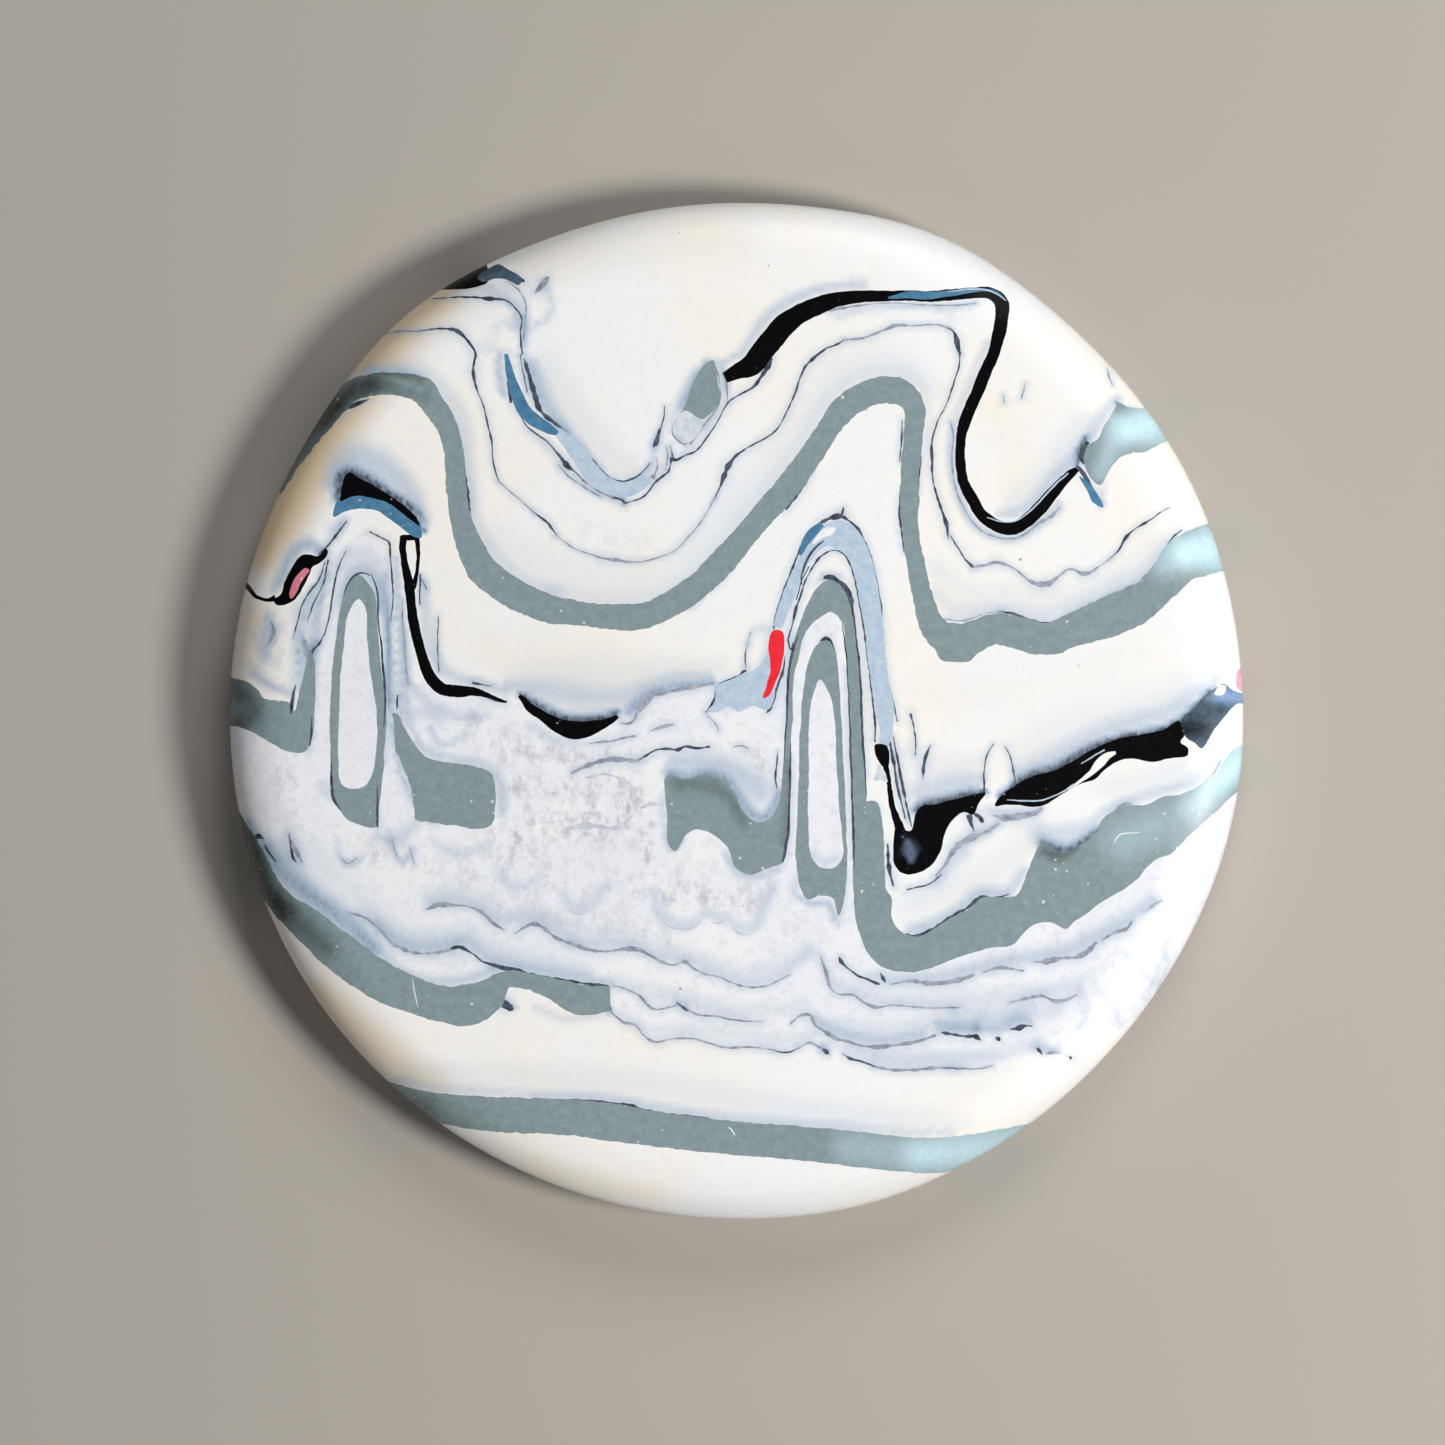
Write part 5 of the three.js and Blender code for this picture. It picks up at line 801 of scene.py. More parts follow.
        hair(0.24, (22.7, -10.2, 0.5), (22.9, -11, 0.3), (23.2, -11.8, 0.12)),
        hair(0.3, (23.2, -10.1, 0.2), (23.8, -10.5, 0.6), (24, -10.9, 0.2)),
        hair(0.14, (20, -16, 0.1), (18.9, -16.9, 0.2), (17.6, -17.3), (16.6, -17.5, 0.2)),
        hair(0.5, (14.7, -13, 0.16), (14.9, -15.6, 0.4), (15.3, -17.2, 0.2)),
        hair(0.3, (17.4, -22.1, 0.1), (18.6, -21.6, 0.3), (20.2, -20.7, 0.2),
             (21.7, -19.8, 0.34), (22.7, -19.1, 0.2), (23.8, -18.3, 0.4), (25.2, -18.4, 0.3),
             (26.6, -18, 0.14)),
        hair(0.3, (16.4, -21.9, 0.1), (17.2, -22.2, 0.34), (18.4, -21.7, 0.2)),
    ]),
    ("film_hook_faint", "film_mid", [
        hair(0.5, (25.6, -11, 0.14), (24.2, -11.9, 0.4), (23, -12.4, 0.5), (21.9, -13, 0.6),
             (21.1, -13.8, 0.5), (20.4, -15, 0.34), (19.4, -16.2, 0.14)),
        hair(0.5, (25, -10.2, 0.2), (26.4, -10.5, 0.6), (27.8, -10.3, 0.6), (29.2, -9.9, 0.5),
             (29.9, -9.4, 0.2)),
        hair(0.4, (36.4, -10.3, 0.1), (37.6, -9.5, 0.5), (38.6, -9.2, 0.3)),
        hair(0.4, (44.2, -8.2, 0.14), (46, -7, 0.4), (46.8, -5.9, 0.2), (47.4, -4.8, 0.14)),
    ]),
    ("film_lower_dark", "film_dark", [
        hair(0.3, (-28.2, -23.3, 0.14), (-27.3, -23.1, 0.4), (-26.7, -23.4, 0.24),
             (-25.9, -23.9, 0.16), (-25, -24.6, 0.24), (-24, -24.9, 0.3)),
        hair(0.3, (-24, -24.9, 0.3), (-22.6, -25.3, 0.34), (-21.4, -25.5, 0.4),
             (-20.3, -25.8, 0.34), (-18.7, -26.1, 0.24), (-17.4, -26.4, 0.34),
             (-15.8, -26.6, 0.24), (-14.2, -26.8, 0.3), (-12.8, -27, 0.34)),
        hair(0.3, (-12.9, -28.2, 0.14), (-12.7, -29, 0.4), (-12.5, -29.4, 0.14)),
        hair(0.14, (-20, -38, 0.1), (-17.6, -38.15, 0.16), (-15, -38.2, 0.24),
             (-13, -38.35, 0.22), (-11.6, -38.6, 0.24), (-10.2, -38.85, 0.36),
             (-9.3, -39.1, 0.24), (-7, -39.5, 0.2), (-4.4, -39.85, 0.24), (-2.2, -40.15, 0.16),
             (-0.8, -40.35, 0.14), (1, -40.45, 0.1), (5, -40.75, 0.08), (9, -41.1, 0.1),
             (12, -41.4, 0.06)),
        hair(0.2, (9.9, -24.1, 0.12), (10.1, -24.6, 0.36), (10.7, -25.2, 0.14),
             (11.8, -26, 0.2), (12.8, -26.4, 0.24), (13.5, -26.7, 0.3), (13.9, -26.8, 0.1)),
        hair(0.2, (14, -25.7, 0.1), (14.2, -26.2, 0.3), (14.4, -26.6, 0.1)),
        hair(0.34, (19.9, -31.5, 0.14), (20.4, -31.6, 0.44), (21.6, -31.8, 0.26),
             (22.6, -31.9, 0.34), (23.3, -31.9, 0.44), (23.8, -32.3, 0.14)),
        hair(0.3, (26.7, -31.2, 0.14), (27.5, -31.1, 0.5), (28.1, -30.9, 0.34),
             (28.9, -30.9, 0.1)),
        hair(0.24, (25.2, -32, 0.14), (25.5, -32.1, 0.34), (25.7, -32.3, 0.1)),
        hair(0.3, (8.3, -33.2, 0.16), (8.6, -33.4, 0.6), (8.8, -33.7, 0.16)),
        hair(0.3, (29.3, -33, 0.1), (29.6, -33.3, 0.34), (29.8, -33.7, 0.1)),
        hair(0.16, (32.5, -33.9, 0.1), (32.8, -34.1, 0.28)),
        hair(0.3, (-23.7, -28.3, 0.2), (-22.9, -28.7, 0.7), (-22.3, -29.1, 0.5),
             (-22, -29.2, 0.14)),
        hair(0.14, (-4.9, -29.5, 0.1), (-5.4, -29.1, 0.28), (-6, -28.6, 0.1)),
        hair(0.14, (3.4, -33.3, 0.1), (4.4, -33.5, 0.24), (5.2, -33.4, 0.14), (6, -33, 0.08)),
        hair(0.14, (10.3, -33.6, 0.1), (11, -34.1, 0.24), (12.2, -34.4, 0.16),
             (13.4, -34.9, 0.1)),
        hair(0.14, (20.6, -35, 0.12), (21.1, -35, 0.28), (21.6, -35.1, 0.1)),
    ]),
    ("film_lower_faint", "film_mid", [
        hair(0.2, (-38.2, -19.7, 0.1), (-36.4, -20.4, 0.24), (-35, -21.5, 0.2),
             (-33.9, -22.7, 0.3), (-32.6, -23.4, 0.3), (-31.3, -23.8, 0.2), (-29.6, -23.7, 0.24),
             (-28.2, -23.4, 0.2)),
        hair(0.3, (-30.6, -19.4, 0.2), (-29.4, -19, 0.44), (-27.9, -19.1, 0.3),
             (-26.4, -19.2, 0.14), (-25.2, -19.7, 0.3), (-24, -20.8, 0.34),
             (-22.9, -21.5, 0.14)),
        hair(0.3, (-21.9, -21.8, 0.1), (-20.8, -21.1, 0.3), (-19.9, -20.9, 0.4),
             (-18.8, -21.5, 0.3), (-17.9, -22.2, 0.3), (-16.4, -22.8, 0.34)),
        hair(0.24, (-16.4, -22.8, 0.3), (-14.6, -23.4, 0.34), (-13, -23.6, 0.24),
             (-11.1, -23.3, 0.3), (-9.8, -23.4, 0.4), (-8.8, -23.9, 0.2), (-7.6, -24.6, 0.3),
             (-6.4, -24.9, 0.24), (-5.2, -24.6, 0.3), (-4.4, -25.3, 0.2), (-3.3, -25.8, 0.16)),
        hair(0.18, (-3.3, -25.8, 0.14), (-1.9, -26.1), (-0.6, -26.7), (0.9, -27, 0.16),
             (2.7, -27, 0.16), (3.8, -26.5, 0.14), (5, -25.9, 0.1)),
        hair(0.2, (8.1, -24, 0.12), (8.6, -25.6, 0.26), (9, -26.9, 0.2), (9.7, -27.7, 0.16),
             (11.4, -27.9, 0.2), (12.4, -28.6, 0.2), (13.6, -29.1, 0.3), (15, -28.9, 0.16),
             (18, -29.1, 0.12), (21.7, -29.1, 0.14)),
        hair(0.3, (26.6, -28.6, 0.1), (28.2, -28.2, 0.3), (29.8, -28, 0.3), (31, -28.5, 0.3),
             (32.2, -28.3, 0.34), (33.2, -27.8, 0.14)),
        hair(0.2, (-12.3, -27, 0.12), (-11, -27.3, 0.14), (-9.7, -27.9, 0.2),
             (-8.9, -28.8, 0.2), (-8.1, -29.3, 0.16), (-6.9, -29.1, 0.14), (-5.6, -28.9, 0.2),
             (-4.3, -29.7, 0.16), (-1.9, -30, 0.2), (0.4, -30.4, 0.16), (2.4, -30.5, 0.1)),
        hair(0.2, (5.1, -30.7, 0.1), (6.2, -29.9, 0.24), (7.2, -29.9, 0.3), (7.6, -30.8, 0.2),
             (8.5, -31.5, 0.34), (9.5, -32.1, 0.4), (10.8, -32.4, 0.3), (12, -32.8, 0.3),
             (13.8, -33, 0.44), (14.8, -32.9, 0.24), (16.4, -32.6, 0.34), (18, -32.3, 0.24),
             (19.4, -31.8, 0.2)),
        hair(0.16, (-12.5, -29.5, 0.14), (-11.3, -30.5, 0.2), (-10.1, -30.8, 0.24),
             (-9.2, -31.9, 0.18), (-8, -32.5, 0.26), (-6.6, -32.2, 0.14), (-5, -32.1, 0.16),
             (-3.1, -32.5, 0.14), (-1, -33, 0.18), (1.2, -33, 0.16), (3.4, -33.3, 0.2)),
        hair(0.18, (6, -33, 0.1), (7, -32.5, 0.2), (8.2, -33.1, 0.14)),
        hair(0.2, (13.4, -34.9, 0.16), (15, -35.2, 0.26), (17.4, -35.2, 0.3),
             (20.6, -35, 0.26), (23.3, -35.1, 0.2), (25, -34.8, 0.1)),
        hair(0.34, (14.9, -26.8, 0.14), (17, -26.5, 0.3), (18.6, -26.7, 0.44),
             (20, -26.7, 0.34), (22, -26.3, 0.5), (23.2, -25.8, 0.24)),
        hair(0.3, (24, -25.6, 0.14), (25.6, -25.2, 0.34), (28, -25.5, 0.14)),
        hair(0.34, (29, -24.6, 0.14), (30.2, -24.6, 0.5), (31.9, -24.2, 0.34),
             (33.2, -24.1, 0.4), (34.4, -23.5, 0.5), (35.2, -22.7, 0.24)),
        hair(0.3, (35.7, -22.5, 0.14), (37, -21.7, 0.34), (38.2, -21.3, 0.3),
             (38.7, -20.6, 0.14)),
        hair(0.3, (40, -19.6, 0.1), (40.8, -19, 0.34), (41.6, -18.6, 0.1)),
        hair(0.3, (30.2, -33.6, 0.1), (30.7, -33.5, 0.3), (31.6, -33.5, 0.1)),
    ]),
    ("film_cloud", "film_faint", [
        hair(0.14, (-8, -19.6, 0.08), (-7.4, -20.6), (-6.5, -21.2), (-5.2, -21.4, 0.2),
             (-4.2, -21.1, 0.16), (-3.6, -20.5, 0.08)),
        hair(0.14, (-2.6, -20.7, 0.08), (-2, -20.9, 0.2), (-1.4, -20.7, 0.08)),
        hair(0.14, (-0.6, -21.3, 0.08), (0.4, -21.9, 0.2), (1.4, -21.8), (2, -20.9, 0.08)),
        hair(0.14, (-16.6, -19.5, 0.08), (-15.7, -19.9, 0.2), (-14.7, -19.6, 0.08)),
        hair(0.4, (-15, -6.6, 0.2), (-13.2, -6.2, 0.3), (-11.6, -6.6, 0.2)),
        hair(0.4, (-9.6, -9.6, 0.2), (-8.4, -9.1, 0.5), (-7.4, -9.3, 0.2)),
        hair(0.4, (-17, -11.6, 0.2), (-14.6, -11.2, 0.5), (-12, -11.5, 0.3),
             (-10.2, -10.2, 0.2)),
    ]),
]

# ---------------------------------------------------------------------------
# Soft stains in the plastic. Each is a strength and a path of (x, y, reach in mm).

# blue-grey haze where a dark stream has bled into the white beside it
HAZES = [
    # scuffs near the lower right rim
    (0.3, [(41.4, -22, 0.3), (42.2, -24.4, 0.4), (41.4, -27.4, 0.4)]),
    (0.26, [(42.6, -21.6, 0.3), (41.4, -25, 0.4), (40, -28.4, 0.4)]),
    (0.2, [(35, -27, 0.6), (36.6, -28.6, 0.8), (37.6, -31, 0.6)]),
    (0.2, [(38, -24, 0.5), (39.4, -25.6, 0.6), (41.4, -27, 0.6)]),
    # undersides of the puffs in the centre cloud
    (0.32, [(-8.2, -17.8, 0.6), (-8, -19.2, 0.9), (-7.4, -20.3, 1.1), (-6.4, -20.9, 1.2),
            (-5.2, -21, 1.1), (-4.2, -20.7, 0.9), (-3.4, -19.8, 0.8), (-2.6, -20, 0.9),
            (-1.6, -20.3, 0.9)]),
    (0.3, [(-0.9, -20.2, 0.8), (-0.4, -20.9, 1), (0.6, -21.4, 1), (1.6, -21.1, 1),
           (2.2, -20.1, 1), (2.8, -18.7, 1), (3.6, -17, 0.8)]),
    (0.28, [(-17.2, -18, 0.7), (-16.6, -18.9, 0.9), (-15.6, -19.4, 1), (-14.4, -18.9, 1),
            (-13.4, -17.7, 0.9), (-12.6, -17, 0.6)]),
    (0.24, [(-30, -12.6, 0.6), (-28.4, -13.8, 0.9), (-26.4, -13.9, 0.9), (-24.6, -13, 0.7)]),
    (0.24, [(-23.8, -15.4, 0.6), (-22.6, -16.8, 0.9), (-20.8, -17.2, 0.9), (-19.4, -16.2, 0.6)]),
    # streaks between the left ring and the rim
    (0.5, [(-40.2, 13.6, 0.5), (-41, 10.4, 0.7), (-41.4, 7.4, 0.9), (-41.8, 4, 1),
           (-42, 0.6, 0.8), (-42, -2.6, 0.5)]),
    (0.36, [(-41.8, 12.4, 0.4), (-42.8, 9.4, 0.6), (-43.2, 6, 0.8), (-43.6, 2.4, 0.7),
            (-43.8, 0, 0.5)]),
    (0.26, [(-46.6, 9.2, 0.4), (-45.2, 8, 0.6), (-44.2, 8.6, 0.5), (-43.4, 10.4, 0.4)]),
    (0.26, [(-47.8, 7.6, 0.5), (-46.4, 5.6, 0.7), (-45.2, 4.6, 0.6), (-44.6, 6, 0.5)]),
    (0.24, [(-48, 4.6, 0.6), (-46.8, 2.8, 0.7), (-45.4, 2.4, 0.6)]),
    (0.5, [(-35, 13, 0.5), (-34.6, 9, 0.7), (-34.2, 5, 0.7), (-34, 1, 0.6)]),
    (0.3, [(-32.4, 3, 0.6), (-31, 1.4, 0.9), (-29, 0, 1), (-26.8, -0.6, 0.9),
           (-24.6, -0.4, 0.7)]),
    (0.34, [(-30.2, -1.6, 0.5), (-29.4, -3.2, 0.7), (-28.2, -3.2, 0.6), (-26.6, -2.2, 0.6)]),
    (0.3, [(-34.4, -11.6, 0.4), (-34, -13.4, 0.7), (-33, -14.8, 0.7), (-31.8, -13.4, 0.6)]),
    (0.3, [(-39.4, -12.6, 0.4), (-38.9, -14.4, 0.7), (-37.6, -15, 0.7), (-36.8, -14.2, 0.5)]),
    # pleats of the rim near the slate chip
    (0.34, [(-28, 41.2, 0.4), (-25.6, 41.6, 0.6), (-23.6, 41.5, 0.6), (-22.2, 40.6, 0.6),
            (-21.2, 39.2, 0.7), (-20.8, 37.4, 0.7), (-21, 36, 0.6)]),
    (0.34, [(-24.6, 40.9, 0.4), (-23, 40.5, 0.5), (-22, 39.2, 0.6), (-21.8, 37.4, 0.6)]),
    (0.3, [(-19.2, 42.2, 0.7), (-18.4, 40.4, 0.8), (-18.6, 38.6, 0.8), (-19.6, 38, 0.5)]),
    # soft undersides of the lower layers
    (0.2, [(-36.6, -19.4, 1), (-34.6, -21, 1.4), (-32, -22.4, 1.6), (-28.6, -22, 1.8),
           (-26.4, -22, 1.8), (-24, -23.4, 1.6), (-20, -24.6, 1.6), (-15, -25.6, 1.4)]),
    (0.16, [(-30.6, -18, 1.4), (-27.6, -17.8, 1.6), (-25, -18.6, 1.5), (-22.6, -20.2, 1.3),
            (-19.6, -19.8, 1.4), (-16, -21.6, 1.5), (-11, -22, 1.6), (-7.6, -23, 1.5),
            (-4, -24.2, 1.4), (0.4, -25.6, 1.4), (4, -25, 1.4), (7, -23.4, 1.6)]),
    (0.16, [(-12, -26.2, 1), (-9, -27.2, 1.2), (-6, -27.8, 1.2), (-2, -28.8, 1.3),
            (3, -29.4, 1.3), (6.4, -28.8, 1.2)]),
    (0.16, [(-11.4, -29.6, 0.8), (-8.6, -31.2, 1), (-4, -31.2, 1.2), (1, -31.9, 1.3),
            (5, -32.2, 1.1), (7.4, -31.6, 0.9)]),
    (0.2, [(8.6, -30.4, 1.2), (12, -31.2, 1.6), (16, -31.2, 1.7), (20, -30.4, 1.8),
           (24, -30.4, 1.8), (28, -29.6, 1.6), (31.4, -29.4, 1.2)]),
    (0.18, [(11, -33, 1), (14, -34, 1.3), (18, -34, 1.5), (22, -34, 1.4), (26, -33.4, 1.2),
            (29.6, -32.4, 1.2)]),
    (0.14, [(9.6, -26.4, 1), (12.4, -27.4, 1.2), (16, -28, 1.4), (22, -28, 1.5),
            (27, -27.4, 1.5), (31, -27.2, 1.4), (34.6, -26, 1.2)]),
    (0.2, [(13, -25.8, 0.8), (17, -25.8, 1), (21, -25.4, 1.1), (26, -24.4, 1.2),
           (30, -23.8, 1.4), (33.4, -22.8, 1.4), (37, -20.8, 1.4), (40.6, -18.6, 1.2)]),
    # the left arch and the streaks beside it
    (0.46, [(-38.9, 10.4, 0.7), (-38.4, 12.6, 0.9), (-37.4, 13.8, 1.1), (-36.2, 13.8, 1.1),
            (-35.4, 12.4, 0.9), (-35, 10, 0.7)]),
    (0.2, [(-38.8, 14, 1), (-37.2, 15.4, 1.4), (-35.4, 14.8, 1.2), (-34.6, 12, 0.8)]),
    (0.36, [(-34.5, 14, 0.35), (-34.3, 8, 0.5), (-34.4, 3, 0.5), (-34, -2, 0.5)]),
    (0.3, [(-33.5, 15, 0.35), (-33.2, 9, 0.45), (-33.3, 3, 0.5), (-33, -3, 0.6)]),
    (0.3, [(-32.8, 8, 0.3), (-32.6, 3, 0.5), (-32.2, -1, 0.6), (-31.4, -3, 0.6)]),
    (0.34, [(-40.8, 13.6, 0.5), (-42, 10.6, 0.7), (-42.9, 7.6, 0.8), (-43.2, 4.6, 0.7),
            (-42.9, 2, 0.5)]),
    (0.3, [(-41.2, 15, 0.5), (-40, 16.6, 0.7), (-38.8, 18.2, 0.7)]),
    (0.24, [(-40.6, 12, 0.5), (-41.6, 9, 0.5), (-42.4, 6, 0.5)]),
    (0.2, [(-38.9, 9, 0.5), (-39.5, 4, 0.4), (-39.6, -4, 0.4)]),
    (0.3, [(-31.6, -11, 1), (-33.6, -12.6, 1.2), (-35.6, -12.4, 0.8)]),
    # round the crescent and the left rim vein
    (1, [(-39.3, 20.8, 0.9), (-38.7, 23.2, 1.4), (-37.2, 23.1, 1.4), (-35.5, 22.2, 1.2),
         (-34, 21.2, 1), (-32.4, 20.2, 0.9), (-31.2, 19, 0.7), (-30.8, 17.6, 0.4)]),
    (0.42, [(-40, 22.5, 1.6), (-38.6, 24.4, 2.8), (-36.5, 24.8, 2.9), (-34, 23.4, 2.4),
            (-31.8, 21, 1.8), (-30.6, 18.4, 1)]),
    (0.6, [(-45.4, 12, 0.8), (-44.6, 13.6, 1.1), (-43.4, 15.8, 1.2), (-42, 16.4, 1.2),
           (-40.6, 15.4, 0.8)]),
    (0.3, [(-39.8, 17.8, 0.9), (-38.6, 18.8, 0.8)]),
    # upper grey band
    (0.5, [(-36.4, 33.2, 0.7), (-35, 33.4, 0.8), (-33, 33.2, 0.8), (-31, 32.6, 0.6)]),
    (0.26, [(-41, 31.4, 0.9), (-37, 33.4, 1.4), (-33.5, 33.6, 1.7), (-30.6, 33, 1.7),
            (-28.6, 31, 1.7), (-27, 28.6, 1.5), (-26.4, 25, 1.3), (-26, 21, 1.2),
            (-25.6, 18.4, 1.2), (-24, 15.6, 1.3), (-21.4, 13, 1.4), (-18, 11.6, 1.5)]),
    (0.17, [(-18, 11.5, 1.8), (-13, 10.6, 2), (-8.5, 10.9, 1.8), (-5.6, 12.4, 1.5),
           (-3.2, 14.4, 1.6), (-1.4, 16.4, 1.7), (0.4, 18.8, 1.7), (2.6, 21.4, 1.6),
           (4.8, 24.2, 1.6), (6.8, 27.2, 1.6), (8.6, 30.2, 1.6), (11, 32.4, 1.6),
           (14, 33.2, 1.7), (17, 32.6, 1.6), (18.6, 30, 1), (18.4, 26, 0.7)]),
    (0.1, [(-24, 17, 3), (-18, 13.6, 4), (-12, 12.4, 4.4), (-7, 13, 3.6), (-3, 17, 3.4),
            (2, 22.6, 3.6), (6, 28.6, 3.6), (10, 33.4, 3.8), (15, 34.2, 3.4), (19.5, 31.4, 2)]),
    (0.2, [(19.4, 11.6, 1), (21, 9.8, 1.3), (24, 10, 1.3), (27, 10, 1.2), (30, 9.4, 1.4),
            (33.4, 10.6, 1.3), (37, 12.4, 1.4), (40, 14, 1.3), (42.2, 16.6, 1.2)]),
    (0.12, [(19.4, 14, 2), (22, 11.6, 2.6), (27, 11.4, 2.6), (31, 11, 2.6), (35, 12.4, 2.4),
            (39, 14.6, 2.4), (42.6, 18, 2.2)]),
    # valley
    (0.5, [(-23.4, 35.4, 0.5), (-23.5, 33.2, 0.7), (-23, 31, 0.6)]),
    (0.42, [(-20.2, 34, 1.1), (-19.5, 31.6, 1.6), (-18.6, 29.8, 1.5), (-17, 27.8, 1.1),
            (-15.4, 25.8, 0.8), (-13.6, 23.6, 0.7)]),
    (0.14, [(-19, 33.6, 3), (-17, 30, 3.4), (-13.4, 25.6, 3), (-10.4, 23.6, 2.2)]),
    (0.16, [(-20.6, 27.6, 1), (-17.4, 24.8, 1.2), (-14.2, 21.8, 1), (-11, 20.6, 0.9)]),
    (0.3, [(-9.4, 22.6, 0.7), (-8.4, 24.6, 0.6), (-8, 27, 0.5)]),
    (0.2, [(-24.5, 35.4, 1), (-23.6, 37.6, 1), (-21.6, 38.4, 1), (-20.2, 37.6, 1.1)]),
    # leaf
    (0.6, [(-3, 34.3, 0.7), (-3.9, 33, 1), (-4.6, 31.4, 1.1), (-5.3, 29.9, 1.1)]),
    (0.26, [(-4.2, 33, 1), (-5.2, 31, 1.2), (-6.2, 28.8, 1.2), (-6.4, 27.6, 0.8)]),
    (0.22, [(-3.4, 28.2, 1), (-4.6, 27.4, 1.2), (-5.6, 26.6, 1)]),
    (0.3, [(-2.4, 34.2, 0.6), (-1.4, 33.6, 0.6), (-1.2, 31.6, 0.6)]),
    # upper vein
    (0.42, [(-1.6, 34.2, 0.6), (0.2, 35, 0.8), (1.4, 36.6, 1), (2.6, 38.4, 1.1),
            (4.4, 39.8, 1.1), (6.6, 40.9, 1), (9.4, 41.6, 0.9), (12.6, 41.6, 0.7)]),
    (0.32, [(24.6, 36.2, 0.8), (23.6, 34, 0.9), (22.6, 31.6, 1), (21.6, 29.2, 1),
            (20.9, 26.6, 0.9), (20.9, 24, 0.8), (21.5, 21.4, 0.8), (22.8, 18.8, 0.8),
            (24.6, 17.4, 0.8), (27, 16.9, 0.8), (29.4, 18.2, 0.9), (31.4, 20.2, 1)]),
    (0.4, [(25.6, 19.4, 0.7), (27.6, 19.5, 1), (29.4, 20.9, 1.2), (31, 22.8, 1.4),
           (32.4, 24.2, 1.4), (33.4, 25.4, 1.2)]),
    (0.16, [(27, 20.4, 2), (29.8, 22.8, 2.6), (32, 25.6, 2.8), (34, 28, 2.6)]),
    (0.9, [(33.2, 24.3, 0.5), (33.5, 25.4, 0.7), (34, 26.7, 0.8)]),
    (0.36, [(34.6, 27, 1), (35.4, 28.4, 1.2), (36.6, 30, 1.2), (37.4, 30.8, 0.8)]),
    (0.3, [(35.6, 20, 0.7), (35.7, 21.4, 0.6), (36, 22.4, 0.5)]),
    (0.24, [(24, 40.2, 0.6), (21, 39.6, 0.6), (17, 39.6, 0.6), (13, 39.4, 0.6),
            (9.6, 38.6, 0.7)]),
    # left leg and the arch beside it
    (0.34, [(-30.7, 12.6, 0.8), (-30.6, 9, 1.2), (-30.1, 6, 1.4), (-29.1, 4.2, 1.3),
            (-27.4, 3.2, 1.1), (-25, 2.8, 0.9), (-22.8, 1.8, 0.7)]),
    (0.24, [(-33.4, 15, 0.7), (-33.4, 12, 0.9), (-33, 8, 0.9), (-32.6, 5, 1),
            (-32.8, 2, 1.2), (-32.4, -0.6, 1), (-31, 0, 1.2), (-29.4, -0.8, 1.2)]),
    (0.3, [(-41.6, 6.6, 0.9), (-42.4, 5, 0.9), (-42.6, 2, 0.6), (-42.7, -2, 0.7),
           (-42.2, -4, 0.6)]),
    (0.3, [(-45.8, 9.4, 1), (-46.4, 7, 1.6), (-46.6, 5, 1.2)]),
    (0.42, [(-47.4, 3.8, 0.8), (-45.4, 2.2, 0.8), (-44, 1.8, 0.6)]),
    (0.5, [(-33.7, -1.4, 0.6), (-33.4, -4.4, 0.5), (-32.8, -6.6, 0.6), (-32, -8.4, 0.8),
           (-31, -9.8, 0.7), (-29.8, -11.2, 0.5)]),
    (0.4, [(-31.6, -3.2, 0.7), (-30, -4.2, 0.9), (-28, -4.8, 0.9), (-26, -5, 1),
           (-24.2, -6, 1.2), (-23.1, -8, 1.1), (-23.2, -10, 0.9)]),
    # centre lens
    (1, [(-21.3, 1.6, 0.6), (-20, 0.8, 0.9), (-18.7, 0, 1.1), (-17.3, -0.7, 1.2),
         (-16, -0.9, 1.2), (-14.6, -0.9, 1.2), (-13.2, -0.7, 1.1), (-11.9, -0.2, 0.8)]),
    (0.62, [(-10.8, 0, 0.9), (-9.6, 1, 1), (-8.2, 1.9, 0.9), (-6.4, 2.3, 0.7),
            (-4.4, 2.6, 0.6), (-2.6, 2.9, 0.5)]),
    (0.36, [(-22.6, 2.4, 1), (-20, 2.2, 1.8), (-17, 1.6, 2.4), (-14, 1.2, 2.4),
            (-11, 1.4, 2), (-9, 2.4, 1.4), (-6, 3.2, 1.2), (-3, 3.4, 0.8)]),
    (0.14, [(-22, 3.4, 2.4), (-17, 3.6, 3.4), (-12, 3.4, 3.2), (-7, 4, 2.4), (-2, 4.2, 1.6)]),
    (0.3, [(-20.4, -1.4, 0.8), (-18, -2.8, 0.8), (-15.4, -3, 0.8)]),
    # centre mass and folds
    (0.75, [(-6.8, -6.1, 1), (-5, -6.5, 1.2), (-3, -6.2, 1.2), (-1.4, -6.7, 1.2),
            (-0.2, -8.1, 1.3), (1, -9.9, 1.3), (2.4, -10.6, 1.2), (3.4, -9.8, 1.1),
            (4.1, -8, 0.8)]),
    (0.42, [(-6.4, -5, 1.2), (-3, -5, 1.7), (0.4, -6.2, 2.3), (2.2, -7.8, 2.2)]),
    (0.42, [(-7.3, -8, 0.4), (-7.2, -11, 0.5), (-6.6, -13.6, 0.7), (-5.4, -12.6, 0.7)]),
    (0.42, [(-1.2, -13.8, 0.7), (-0.4, -15.4, 0.8), (1.2, -16.2, 0.9), (3, -15.8, 0.9),
            (4.4, -15.2, 0.6)]),
    (0.5, [(6.2, -18.4, 0.6), (7.4, -18.9, 0.7), (8.8, -18.8, 0.7), (9.4, -20.4, 0.5)]),
    (0.3, [(7.3, -14, 0.8), (8.4, -14.9, 0.9), (9.7, -14.4, 0.8)]),
